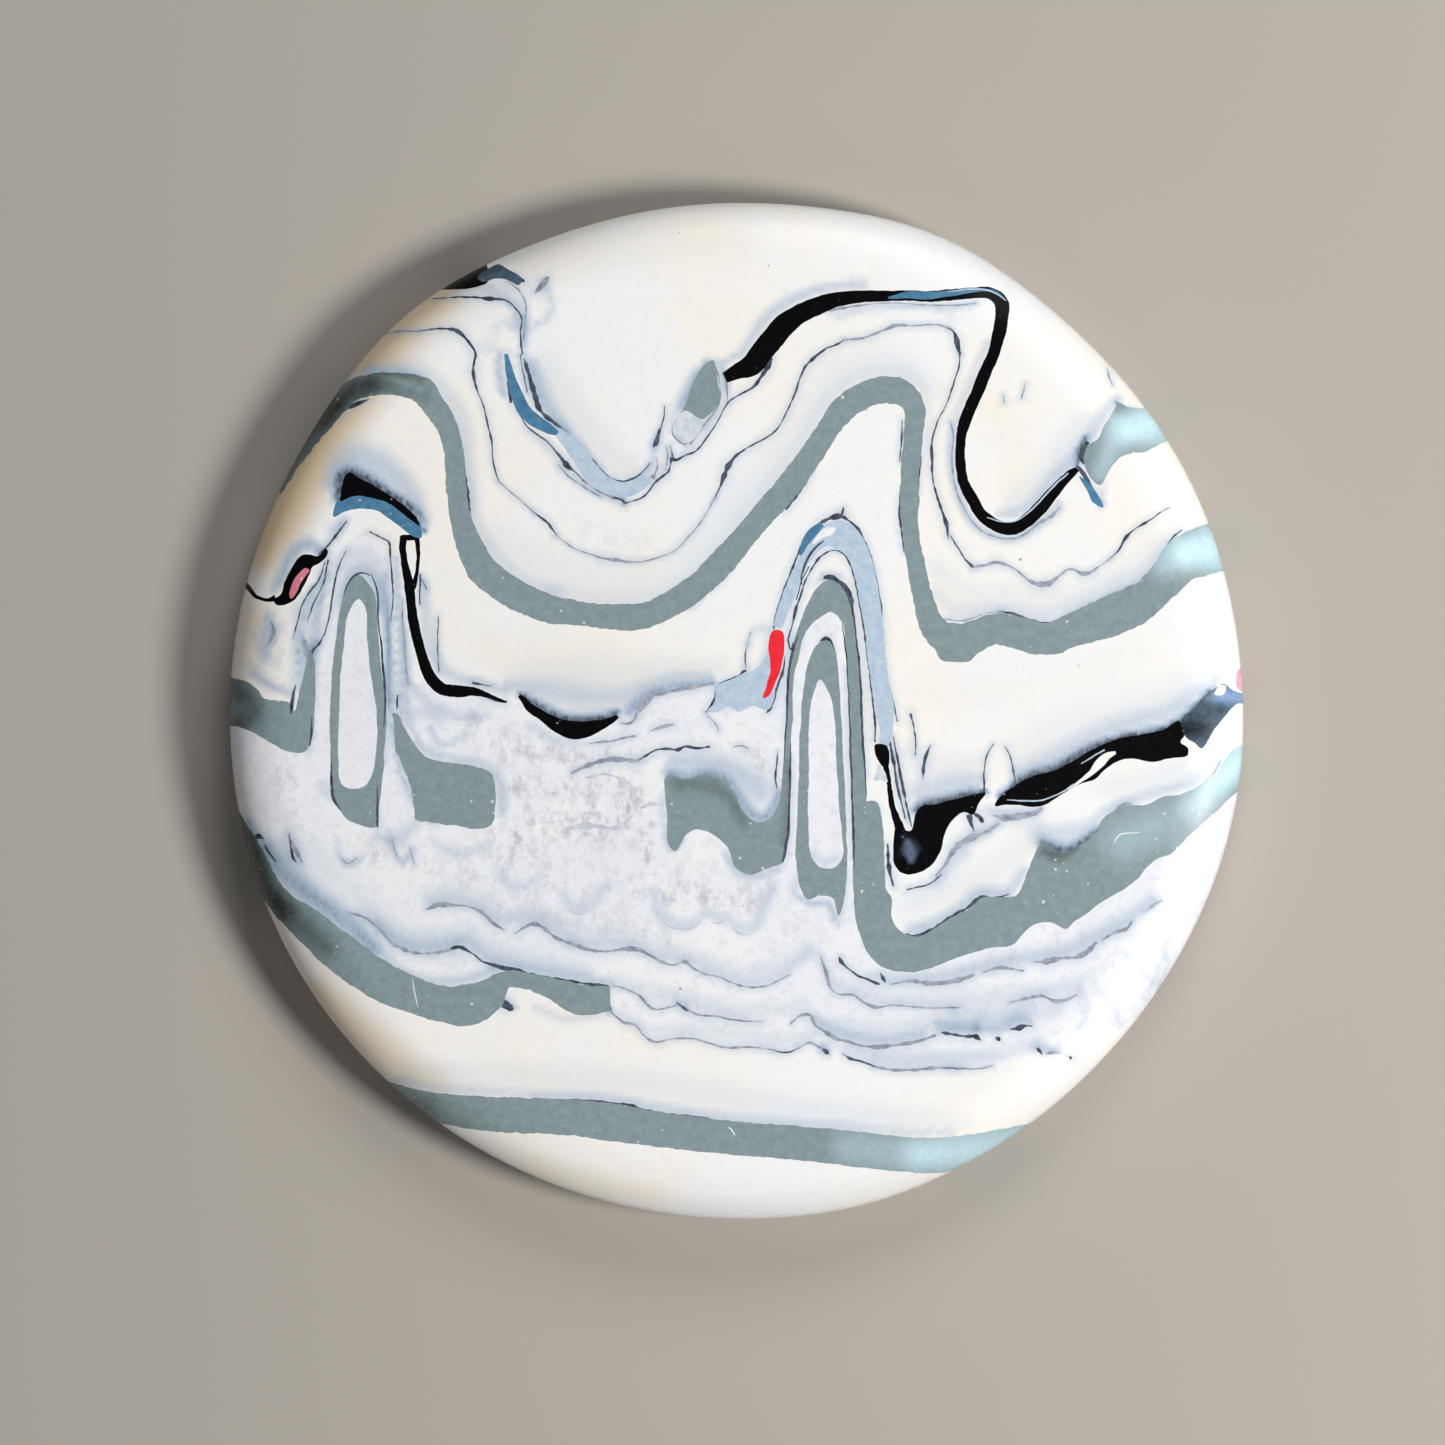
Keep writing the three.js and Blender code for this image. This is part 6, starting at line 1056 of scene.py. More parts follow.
    (0.22, [(8, 3.4, 0.7), (8.8, 2.6, 0.7)]),
    (0.3, [(7.4, 12.4, 0.5), (8.6, 13.4, 0.6), (10, 13.2, 0.5)]),
    (0.3, [(13.2, -9, 0.6), (14, -10, 0.4)]),
    # hook and right vein
    (1, [(17.5, -9.7, 0.9), (18.1, -9.2, 1.1), (19.4, -9, 1.2), (21.3, -8.6, 1.2),
         (22.9, -8.1, 1.1), (24.2, -7.9, 0.5)]),
    (0.36, [(17.6, -7.8, 1.6), (20, -7.4, 1.8), (22.6, -6.8, 1.6), (24, -6.6, 0.8)]),
    (0.13, [(16.4, -4, 1.6), (18, -5, 2.4), (21, -5.6, 2.6), (23.4, -5, 2)]),
    (1, [(25.6, -8.4, 0.5), (27.5, -7, 1), (29.3, -6.2, 1.2), (30.9, -5.8, 1.2),
         (32.5, -4.9, 1.1), (34.4, -3.8, 1), (36.2, -3, 0.8), (38, -2.5, 0.8),
         (40.1, -2.1, 0.8), (41.7, -1.8, 0.8), (43.3, -1, 0.8), (44.6, 0.2, 0.6),
         (46.6, 2.2, 0.5)]),
    (0.36, [(27.6, -6.2, 1.6), (30, -5, 1.9), (33, -3.6, 2), (36, -2, 1.9), (39, -1, 1.8),
            (42, -0.2, 1.7), (44.6, 1.4, 1.4), (47, 3.2, 1.2)]),
    (0.12, [(28, -4, 3.4), (32, -2, 3.6), (37, 0, 3.4), (42, 1.4, 3), (46, 3.6, 2.4)]),
    (0.3, [(24.6, -9.6, 0.8), (27, -10, 0.9), (29.4, -9.8, 0.8)]),
    (0.34, [(21.2, -13.6, 0.9), (22.6, -12.6, 1), (24.2, -11.8, 0.9), (25.4, -11, 0.7)]),
    (0.22, [(19.6, -17, 1), (20.8, -15.4, 1), (22.4, -14, 1)]),
    (0.4, [(16.8, -21.4, 0.9), (19.4, -20.6, 1), (21.6, -19.4, 1), (23.6, -17.8, 1.1),
           (26.6, -17.6, 1), (28, -15.6, 0.8)]),
    (0.12, [(17, -19, 2.6), (21, -17.4, 3), (26, -15, 3), (29, -12, 2.4)]),
    (0.95, [(29.8, -12.9, 1), (30.9, -13.4, 1.3), (32.2, -13.7, 1.3), (34, -12.7, 1),
            (35.3, -11.7, 0.8)]),
    (0.34, [(29.6, -12, 1.8), (32, -12, 1.8), (34.6, -11.2, 1.2), (35.8, -9.9, 0.8),
            (38.4, -8.8, 0.9), (41, -8, 1), (44.4, -6.9, 0.9), (46.8, -5, 0.9)]),
    (0.12, [(36, -7.6, 2), (40, -6.6, 2.2), (44, -5.4, 2)]),
    # lower left band
    (0.55, [(-48.2, -11, 1), (-46.4, -13.8, 1.3), (-44.6, -16.2, 1.5), (-42.6, -17.8, 1.6),
            (-40.2, -19.4, 1.6), (-37.8, -21.4, 1.5), (-35.6, -23.4, 1.2)]),
    (0.42, [(-45.6, -13.6, 1.8), (-42.6, -17, 2.2), (-39.6, -19.8, 2.2), (-36.6, -22.4, 2),
            (-33.6, -25.2, 1.2), (-31, -26.4, 1.1), (-28, -26.6, 1), (-25.6, -26, 0.9),
            (-23.4, -25.2, 0.7)]),
    (0.13, [(-42, -13.4, 3), (-37.6, -18, 3.2), (-33, -22, 3), (-28, -24, 2.6)]),
    (0.34, [(-35.4, -20.8, 1), (-33.6, -22.4, 1), (-31.2, -23.2, 1), (-28.6, -22.8, 1),
            (-26.8, -22.4, 1), (-24.6, -24, 0.9), (-22, -24.8, 0.9), (-19, -25.4, 0.9),
            (-15.6, -26, 0.9), (-12.6, -26.6, 0.8)]),
    (0.26, [(-20, -29, 0.7), (-17, -30.2, 0.7), (-14.4, -30, 0.7), (-12.6, -29.6, 0.5)]),
    (0.55, [(-23.8, -27.9, 0.5), (-22.8, -28.6, 0.6), (-22, -29, 0.4)]),
    # lines of the lower layers
    (0.22, [(-30.4, -18.8, 0.9), (-28, -18.4, 1), (-25.6, -19, 0.8), (-23.8, -20.4, 0.8),
            (-20.2, -20.3, 0.9), (-17.6, -21.6, 0.8), (-15, -22.7, 0.8), (-11, -22.7, 0.8),
            (-8.4, -23.8, 0.8), (-5.2, -24.2, 0.8), (-2, -25.5, 0.7), (1, -26.4, 0.7),
            (4, -25.8, 0.7), (7, -23.6, 1)]),
    (0.16, [(8.4, -24.4, 0.7), (9, -26.4, 0.6), (12, -27.8, 0.6), (15, -28.4, 0.7),
            (20, -28.6, 0.8), (25, -28.4, 0.9), (30, -27.4, 0.9), (33.4, -27, 1)]),
    (0.24, [(15, -26.4, 0.8), (20, -26.2, 1), (24, -25, 1), (29, -24, 1), (32, -23.6, 1),
            (35, -22, 1.1), (38, -20.6, 1.1), (41, -18.4, 1)]),
    (0.2, [(-9, -28.2, 0.6), (-6.2, -28.3, 0.7), (-3, -29.2, 0.6), (0.6, -29.9, 0.6)]),
    (0.4, [(7.4, -30.2, 0.7), (9.2, -31.2, 0.9), (12, -32, 0.9), (15, -32.2, 0.9),
           (18, -31.6, 0.9)]),
    (0.6, [(19.6, -30.9, 0.8), (21.4, -31, 0.9), (23.4, -31.1, 0.9)]),
    (0.46, [(23.4, -31, 0.9), (25.4, -31.2, 0.9), (27.4, -30.2, 1.1), (28.6, -30.4, 0.7)]),
    (0.2, [(21, -30, 1.6), (25, -30, 1.8), (28.6, -29.4, 1.4)]),
    (0.16, [(13, -34.2, 0.9), (17, -34.2, 1.2), (21, -34, 1.2), (25.4, -33.8, 1)]),
    (0.4, [(29, -32.8, 0.7), (30.4, -33.2, 0.6), (31.6, -33.2, 0.5)]),
    (0.24, [(33.6, -27.4, 0.9), (34.2, -29.2, 0.8), (33.6, -31, 0.7)]),
    (0.5, [(8.2, -33, 0.6), (8.8, -33.4, 0.6)]),
    # bottom band
    (0.3, [(-33.4, -36.2, 0.7), (-30, -37, 0.8), (-26, -37.3, 0.9), (-20, -37.6, 0.9),
           (-14, -37.8, 0.9), (-8, -38.8, 0.9), (-2, -39.7, 0.9), (4, -40.2, 0.8),
           (10, -40.6, 0.8), (16, -41.4, 0.9), (21, -41.4, 0.8)]),
    (0.12, [(-32, -35.4, 2), (-24, -35.8, 2.6), (-14, -36.2, 2.8), (-6, -37.2, 2.8),
            (4, -38.8, 2.6), (14, -39.8, 2.4), (22, -40.4, 2)]),
]

# lilac-grey mottle where layers of white have mingled; the first stroke, on the left rounded edge,
# is partly painted shade
CLOUDS = [
    # dirt, and painted shade of the left rounded edge
    (0.75, [(-46.4, 9, 2), (-45.8, 6, 2.4), (-45, 3, 2)]),
    (0.4, [(-44, -5, 1.6), (-45, -7, 2.2), (-42, -8, 2)]),
    (0.6, [(-26, 0, 1.8), (-24, -2.6, 3), (-20, -4, 3), (-16, -4.4, 2.4), (-11, -4, 1.8)]),
    (0.75, [(-22, -7, 3.4), (-17, -8.4, 4), (-12, -7.4, 3.6), (-9, -9.4, 2.6)]),
    (0.8, [(-22, -12, 4), (-16, -11.4, 3.4), (-10, -12, 3.4), (-8, -15, 2.6)]),
    (0.5, [(-26, -15, 4), (-20, -16, 4.4), (-14, -17, 4.4), (-8, -17.4, 4), (-3, -17.4, 3.6),
           (2, -18.4, 3)]),
    (0.55, [(-36, -14, 2.4), (-32, -14.6, 2.8), (-29, -17, 2.6)]),
    (0.45, [(-24, -19.6, 2), (-18, -20.6, 2), (-12, -21.4, 2), (-7, -22.4, 2)]),
    (0.5, [(1.6, -4, 1.6), (2.4, -5.6, 1.6), (3, -7, 1)]),
    (0.45, [(5.6, -21.6, 2), (7.4, -23, 1.8)]),
    (0.16, [(-14.4, 17.6, 2.6), (-12, 16.4, 2.4), (-9, 16.6, 2)]),
    (0.85, [(-18, -10, 1.4), (-14, -9.6, 1.9), (-10.6, -9.8, 1.8), (-8.4, -10.6, 1.2)]),
    (0.6, [(-7, -18, 1.8), (-4.6, -18.6, 1.8), (-2, -18.4, 1.6), (0.8, -19.2, 1.6)]),
    (0.4, [(24, -24.6, 1.6), (29, -23.4, 2.2), (33, -22.6, 2.2), (37, -20.6, 2)]),
    (0.35, [(18, -30.6, 1.4), (24, -30, 1.8), (30, -29.6, 2)]),
    (0.3, [(-44, -8, 3), (-43.4, -12, 2.6)]),
]

# amber tint of the white along the rim: the strong strokes on the left and lower-left rounded edge
# are painted shade, warm as if bounced from a floor; the weak ones are a warm tint of the white
AMBER_TINTS_AND_SHADE = [
    # painted shade of the left and lower-left rounded edge, warm as if bounced from a floor
    (0.85, [(-29, 41, 3.4), (-35, 36, 4.4), (-40, 29.4, 4.6), (-44, 21.6, 5), (-46.8, 15.4, 3.2)]),
    (0.5, [(-45, 18, 4), (-43.4, 22, 5), (-40, 28, 5), (-35.4, 33, 4)]),
    (0.4, [(-47.6, 9.4, 2.4), (-48, 6, 2.2), (-47.8, 4, 2)]),
    (0.45, [(-41.4, -27.6, 2.4), (-38, -31, 3.4), (-33, -35, 3), (-29.6, -36.6, 2)]),
    # warmer towards the bottom and top rim, and a faint warm tint inside
    (0.16, [(-24, -43.6, 2.4), (-16, -46, 2.6), (-8, -47.4, 2)]),
    (0.16, [(-20, 44, 4), (-10, 46, 5), (0, 46.4, 4)]),
    (0.12, [(24, 31, 3), (27.4, 26, 4), (26.4, 22.4, 2.4)]),
    (0.1, [(20, 2, 5), (30, 2.4, 6), (38, 5.4, 4)]),
    (0.1, [(-24, 6, 4), (-12, 5.4, 4)]),
]

# coloured plastic gone pale in a few spots, and a painted reflection of the light on the
# right-hand rounded edge
BLEACHES_AND_GLARE = [
    # painted reflection of the light on the right-hand and lower-right rounded edge
    (0.95, [(38.4, 27.6, 2.6), (41, 28.4, 4), (45, 29.4, 5)]),
    (0.45, [(35.6, 23.4, 1.4), (36.6, 25.8, 2), (37, 28, 2)]),
    (0.95, [(44.2, 15.6, 2.6), (46.4, 16, 4), (50, 17, 5)]),
    (0.5, [(41.8, 14.4, 2.4), (43, 15.4, 3)]),
    (0.95, [(47.6, -6.4, 2.4), (49.6, -5, 4), (51, -4, 5)]),
    (0.6, [(44.4, -9.4, 2.4), (46.6, -7.8, 3)]),
    (0.3, [(38, -12.6, 4), (42, -11, 4)]),
    (0.75, [(18, -43.6, 3), (23, -43.4, 4), (30, -42.4, 4)]),
    (0.3, [(11, -42.8, 3), (16, -43.4, 3.4)]),
    # a pale spot in the black hook
    (0.8, [(16.6, -12.8, 0.6), (16.9, -13.8, 1.1), (17, -14.5, 0.6)]),
    # painted reflection on the slate where it meets the right rim
    (0.8, [(46.8, 1.4, 0.8), (48.4, 1.5, 1.4), (50, 1.2, 1.4)]),
    # a pale spot by the hook
    (0.5, [(13.9, -6, 0.5), (14.1, -6.8, 0.6)]),
]

# coloured plastic darkened: dark smudges in the plastic, and painted shade where the greys reach
# the left and lower-left rounded edge
SOOTS_AND_RIM_SHADE = [
    # painted shade of the upper-left rounded edge on the end of the upper grey band
    (0.95, [(-47.6, 20.6, 3.6), (-45, 24.6, 3.6), (-42.4, 27.8, 3.2), (-40, 30, 2.4)]),
    (0.75, [(-41, 29.2, 2.6), (-38.2, 31.2, 2.2), (-36, 31.8, 1.6)]),
    (0.3, [(-37, 31.8, 2), (-34.6, 32, 2)]),
    (0.55, [(-36, 33.3, 0.8), (-33.4, 33.2, 0.8), (-31, 32.6, 0.7)]),
    # painted shade of the left and lower-left rounded edge
    (0.6, [(-51, 2.6, 2.4), (-48.6, 1.6, 2.2), (-47.6, 0, 2), (-49.6, -1.6, 2)]),
    (0.85, [(-50, -9.5, 2), (-47.8, -13.3, 2), (-46.5, -17.3, 2.4), (-44.8, -19.6, 2.2)]),
    (0.5, [(-45, -19, 2), (-42.6, -21.2, 2.2), (-40.2, -23.3, 1.8)]),
    (0.34, [(-36, -38.6, 3), (-31, -39.4, 2.6)]),
    (0.9, [(43.2, -1.8, 1.4), (44.6, -1.8, 1.8), (45.8, -1.6, 1.2)]),
    (0.4, [(44.6, -0.6, 1), (46, 0.2, 1.2), (47, 0, 1)]),
    (0.6, [(30, -13.8, 0.9), (31.4, -14.2, 1.1), (33, -13.4, 0.9)]),
    (0.3, [(-36.4, 32.4, 1), (-33, 31.4, 1), (-30.6, 30.6, 1)]),
    (0.3, [(4.8, -5, 0.6), (4.8, -9, 0.7), (4.4, -13, 0.6)]),
    (0.35, [(-6, -7.2, 1.2), (-3.4, -7.2, 1.4), (-1, -8.4, 1.2), (0.6, -11, 1)]),
]

# ---------------------------------------------------------------------------
# The face as triangles


def ring_points():
    """Points over the rounded edge, ring by ring from the rim inwards."""
    rings = []
    for i in range(1, RIM_RINGS + 1):
        inset = TOP_ROUND_WIDTH * (1 - math.cos(math.radians(90 * i / RIM_RINGS)))
        count = round(2 * math.pi * RADIUS / RIM_SPACING)
        angle = np.linspace(0, 360, count, endpoint=False) + (i % 2) * 180 / count
        radius = rim_radius(angle) - inset
        turn = np.radians(angle)
        rings.append(np.column_stack([radius * np.cos(turn), radius * np.sin(turn)]))
    return np.vstack(rings)


def grid_points():
    """A hexagonal grid over the flat middle of the face."""
    rows = []
    height = GRID_SPACING * math.sqrt(3) / 2
    reach = RADIUS - TOP_ROUND_WIDTH - GRID_MARGIN
    for i, y in enumerate(np.arange(-RADIUS, RADIUS, height)):
        x = np.arange(-RADIUS, RADIUS, GRID_SPACING) + (i % 2) * GRID_SPACING / 2
        rows.append(np.column_stack([x, np.full(len(x), y)]))
    points = np.vstack(rows)
    return points[np.hypot(*points.T) < reach]


def rim_outline():
    """The rim as a closed outline."""
    angle = np.linspace(0, 360, RIM_STEPS, endpoint=False)
    radius = rim_radius(angle)
    turn = np.radians(angle)
    return np.column_stack([radius * np.cos(turn), radius * np.sin(turn)])


def drop_near(points, outlines, clearance):
    """Leaves out loose points that lie too close to an outline."""
    fixed = np.vstack(outlines)
    cell = 0.5
    near = {}
    for point in fixed:
        near.setdefault((int(point[0] // cell), int(point[1] // cell)), []).append(point)
    kept = []
    for point in points:
        column, row = int(point[0] // cell), int(point[1] // cell)
        around = [
            other
            for i in (-1, 0, 1)
            for j in (-1, 0, 1)
            for other in near.get((column + i, row + j), [])
        ]
        if not around or np.hypot(*(np.array(around) - point).T).min() > clearance:
            kept.append(point)
    return np.array(kept)


def divide_face():
    """Cuts the face into triangles along every outline.

    Returns the points, the triangles, a label for each triangle and the edges that part
    the layers of white. A label is an index into the regions, or -1 for white.
    """
    regions = []
    outlines = []
    for name, slot, shapes in STREAMS:
        for shape in shapes:
            regions.append(name)
            outlines.append(outline(shape))
    for name, _, runs in FILMS:
        for run in runs:
            regions.append(name)
            outlines.append(outline(("film", run, FILM_RAG), FILM_STEP))
    rim = rim_outline()
    partings = [warp(spline(knots, False, OUTLINE_STEP)) for knots in PARTINGS]

    points, edges, faces = [], [], []

    def put(batch):
        first = len(points)
        points.extend(Vector(p) for p in batch)
        return first

    for loop in [rim] + outlines:
        first = put(loop)
        faces.append(list(range(first, first + len(loop))))
    for path in partings:
        first = put(path)
        edges.extend((first + i, first + i + 1) for i in range(len(path) - 1))
    loose = np.vstack([ring_points(), grid_points()])
    put(drop_near(loose, outlines + partings, POINT_CLEARANCE))

    result = delaunay_2d_cdt(points, edges, faces, 0, SAME_POINT, True)
    corners, made_edges, triangles, _, edge_sources, sources = result
    corners = np.array([(p[0], p[1]) for p in corners])
    kept, labels = [], []
    for triangle, inside in zip(triangles, sources):
        if 0 not in inside or len(triangle) != 3:
            continue
        owners = [i - 1 for i in inside if i > 0]
        kept.append(triangle)
        labels.append(min(owners) if owners else -1)
    parting_edges = set()
    for edge, inside in zip(made_edges, edge_sources):
        if any(i < len(edges) for i in inside):
            parting_edges.add((min(edge), max(edge)))
    return corners, np.array(kept), [regions[i] if i >= 0 else None for i in labels], parting_edges


def edge_neighbours(triangles):
    """For each edge, the triangles on it."""
    beside = {}
    for index, (a, b, c) in enumerate(triangles):
        for edge in ((a, b), (b, c), (c, a)):
            beside.setdefault((min(edge), max(edge)), []).append(index)
    return beside


def patches_of(count, labels, beside, barriers):
    """Numbers the connected patches of triangles that share a label."""
    parent = list(range(count))

    def root(i):
        while parent[i] != i:
            parent[i] = parent[parent[i]]
            i = parent[i]
        return i

    for edge, pair in beside.items():
        if len(pair) == 2 and labels[pair[0]] == labels[pair[1]]:
            if labels[pair[0]] is None and edge in barriers:
                continue
            parent[root(pair[0])] = root(pair[1])
    return np.array([root(i) for i in range(count)])


def covers(corners, triangles, point):
    """The triangle that holds a point of the face."""
    a, b, c = (corners[triangles[:, i]] for i in range(3))
    p = np.array(point)

    def side(u, v):
        return (v[:, 0] - u[:, 0]) * (p[1] - u[:, 1]) - (v[:, 1] - u[:, 1]) * (p[0] - u[:, 0])

    inside = (side(a, b) >= 0) & (side(b, c) >= 0) & (side(c, a) >= 0)
    return int(np.flatnonzero(inside)[0])


CRUMB = 0.12        # mm2: a patch of a stream smaller than this joins its neighbour
FILM_CRUMB = 0.01   # mm2: the same for a film


def nearest_white(start, shared, owner):
    """The layer of white reached first from a patch, looking past streams and films."""
    seen = {start}
    ring = [start]
    while ring:
        beyond = {}
        for number in ring:
            for other, length in shared.get(number, {}).items():
                if other not in seen:
                    beyond[other] = beyond.get(other, 0) + length
        whites = [n for n in beyond if owner.get(n, "").startswith("white")]
        if whites:
            return owner[max(whites, key=beyond.get)]
        seen.update(beyond)
        ring = list(beyond)
    return LAYERS[0][0]


def name_triangles(corners, triangles, labels, barriers):
    """Gives every triangle the name of its piece: whites by layer, crumbs by neighbour."""
    beside = edge_neighbours(triangles)
    patch = patches_of(len(triangles), labels, beside, barriers)
    a, b, c = (corners[triangles[:, i]] for i in range(3))
    area = 0.5 * ((b[:, 0] - a[:, 0]) * (c[:, 1] - a[:, 1])
                  - (b[:, 1] - a[:, 1]) * (c[:, 0] - a[:, 0]))
    size = {}
    for number, one in zip(patch, area):
        size[number] = size.get(number, 0) + one
    owner = {}
    for name, _, point in LAYERS:
        owner[patch[covers(corners, triangles, point)]] = name
    for number, label in zip(patch, labels):
        if label is not None and size[number] > (FILM_CRUMB if "film" in label else CRUMB):
            owner[number] = label
    shared = {}
    for (i, j), pair in beside.items():
        if len(pair) == 2 and patch[pair[0]] != patch[pair[1]]:
            length = math.dist(corners[i], corners[j])
            for one, other in (pair, pair[::-1]):
                contact = shared.setdefault(patch[one], {})
                contact[patch[other]] = contact.get(patch[other], 0) + length
    for number, label in zip(patch, labels):
        if label is None and number not in owner:
            owner[number] = nearest_white(number, shared, owner)
    waiting = sorted((n for n in size if n not in owner), key=lambda n: -size[n])
    while waiting:
        for number in waiting:
            known = {n: v for n, v in shared.get(number, {}).items() if n in owner}
            if known:
                white = {n: v for n, v in known.items() if owner[n].startswith("white")}
                choice = white or known
                owner[number] = owner[max(choice, key=choice.get)]
        waiting = [n for n in waiting if n not in owner]
    return [owner[number] for number in patch]


def stain(points, strokes):
    """How strongly soft strokes stain each point, 0 to 1."""
    total = np.zeros(len(points))
    for strength, knots in strokes:
        path = spline(knots, False, STROKE_STEP)
        reach = path[:, 2].max()
        low, high = path[:, :2].min(0) - reach, path[:, :2].max(0) + reach
        near = np.flatnonzero(((points > low) & (points < high)).all(1))
        distance, width = distance_to_path(points[near], path)
        fade = np.clip(1 - distance / np.maximum(width, SLIMMEST_STROKE), 0, 1)
        fade = fade * fade * (3 - 2 * fade)
        total[near] = 1 - (1 - total[near]) * (1 - strength * fade)
    return total


# ---------------------------------------------------------------------------
# Pieces


class Face:
    """The face of the slab: its points, triangles, heights, normals and shades."""

    def __init__(self):
        self.corners, self.triangles, labels, barriers = divide_face()
        self.names = np.array(name_triangles(self.corners, self.triangles, labels, barriers))
        depth, outward = rim_depth(self.corners)
        self.on_rim = depth < RIM_WALL
        drop, out, up = rounding(depth, TOP_ROUND_WIDTH, TOP_ROUND_HEIGHT)
        self.top = THICKNESS - drop
        self.top_normal = np.column_stack([outward * out[:, None], up])
        rise, out, up = rounding(depth, BOTTOM_ROUND_WIDTH, BOTTOM_ROUND_HEIGHT)
        self.bottom = rise
        self.bottom_normal = np.column_stack([outward * out[:, None], -up])
        self.outward = outward

    def piece(self, name):
        """One closed solid: the triangles of a name, above and below, and the walls between."""
        triangles = self.triangles[self.names == name]
        used, local = np.unique(triangles, return_inverse=True)
        local = local.reshape(triangles.shape)
        count = len(used)
        xy = self.corners[used]
        top = np.column_stack([xy, self.top[used]])
        bottom = np.column_stack([xy, self.bottom[used]])
        verts = np.vstack([top, bottom]) * MM

        directed = set()
        for a, b, c in local:
            directed.update(((a, b), (b, c), (c, a)))
        walls = [(a, b) for a, b in directed if (b, a) not in directed]
        faces = [tuple(t) for t in local]
        faces += [(a + count, c + count, b + count) for a, b, c in local]
        faces += [(a + count, b + count, b, a) for a, b in walls]

        normals = [self.top_normal[used[i]] for t in local for i in t]
        normals += [self.bottom_normal[used[i]] for a, b, c in local for i in (a, c, b)]
        for a, b in walls:
            if self.on_rim[used[a]] and self.on_rim[used[b]]:
                ends = [np.append(self.outward[used[i]], 0) for i in (a, b, b, a)]
            else:
                along = xy[b] - xy[a]
                ends = [np.array([along[1], -along[0], 0])] * 4
            normals += ends

        mesh = bpy.data.meshes.new(name)
        mesh.from_pydata(verts.tolist(), [], faces)
        mesh.shade_smooth()
        normals = np.array(normals)
        normals /= np.maximum(np.linalg.norm(normals, axis=1), 1e-9)[:, None]
        mesh.normals_split_custom_set(normals.tolist())
        piece = bpy.data.objects.new(name, mesh)
        bpy.context.scene.collection.objects.link(piece)
        return piece, used

    def shade(self, piece, used, name, values):
        """Stores one number per point of the face on a piece."""
        layer = piece.data.attributes.new(name, "FLOAT", "POINT")
        both = np.concatenate([values[used], values[used]])
        layer.data.foreach_set("value", both.astype(np.float32))


# ---------------------------------------------------------------------------
# Materials


def linear(red, green, blue):
    """A shader colour from display values of 0 to 255."""
    def channel(value):
        value /= 255
        return value / 12.92 if value <= 0.04045 else ((value + 0.055) / 1.055) ** 2.4
    return (channel(red), channel(green), channel(blue), 1)


BUMP_DEPTH = 0.05           # mm
RELIEF = 0.06               # how much of that depth shows
PLASTIC_ROUGHNESS = 0.42
SHEEN_SPREAD = 0.15         # how far the roughness wanders over the surface


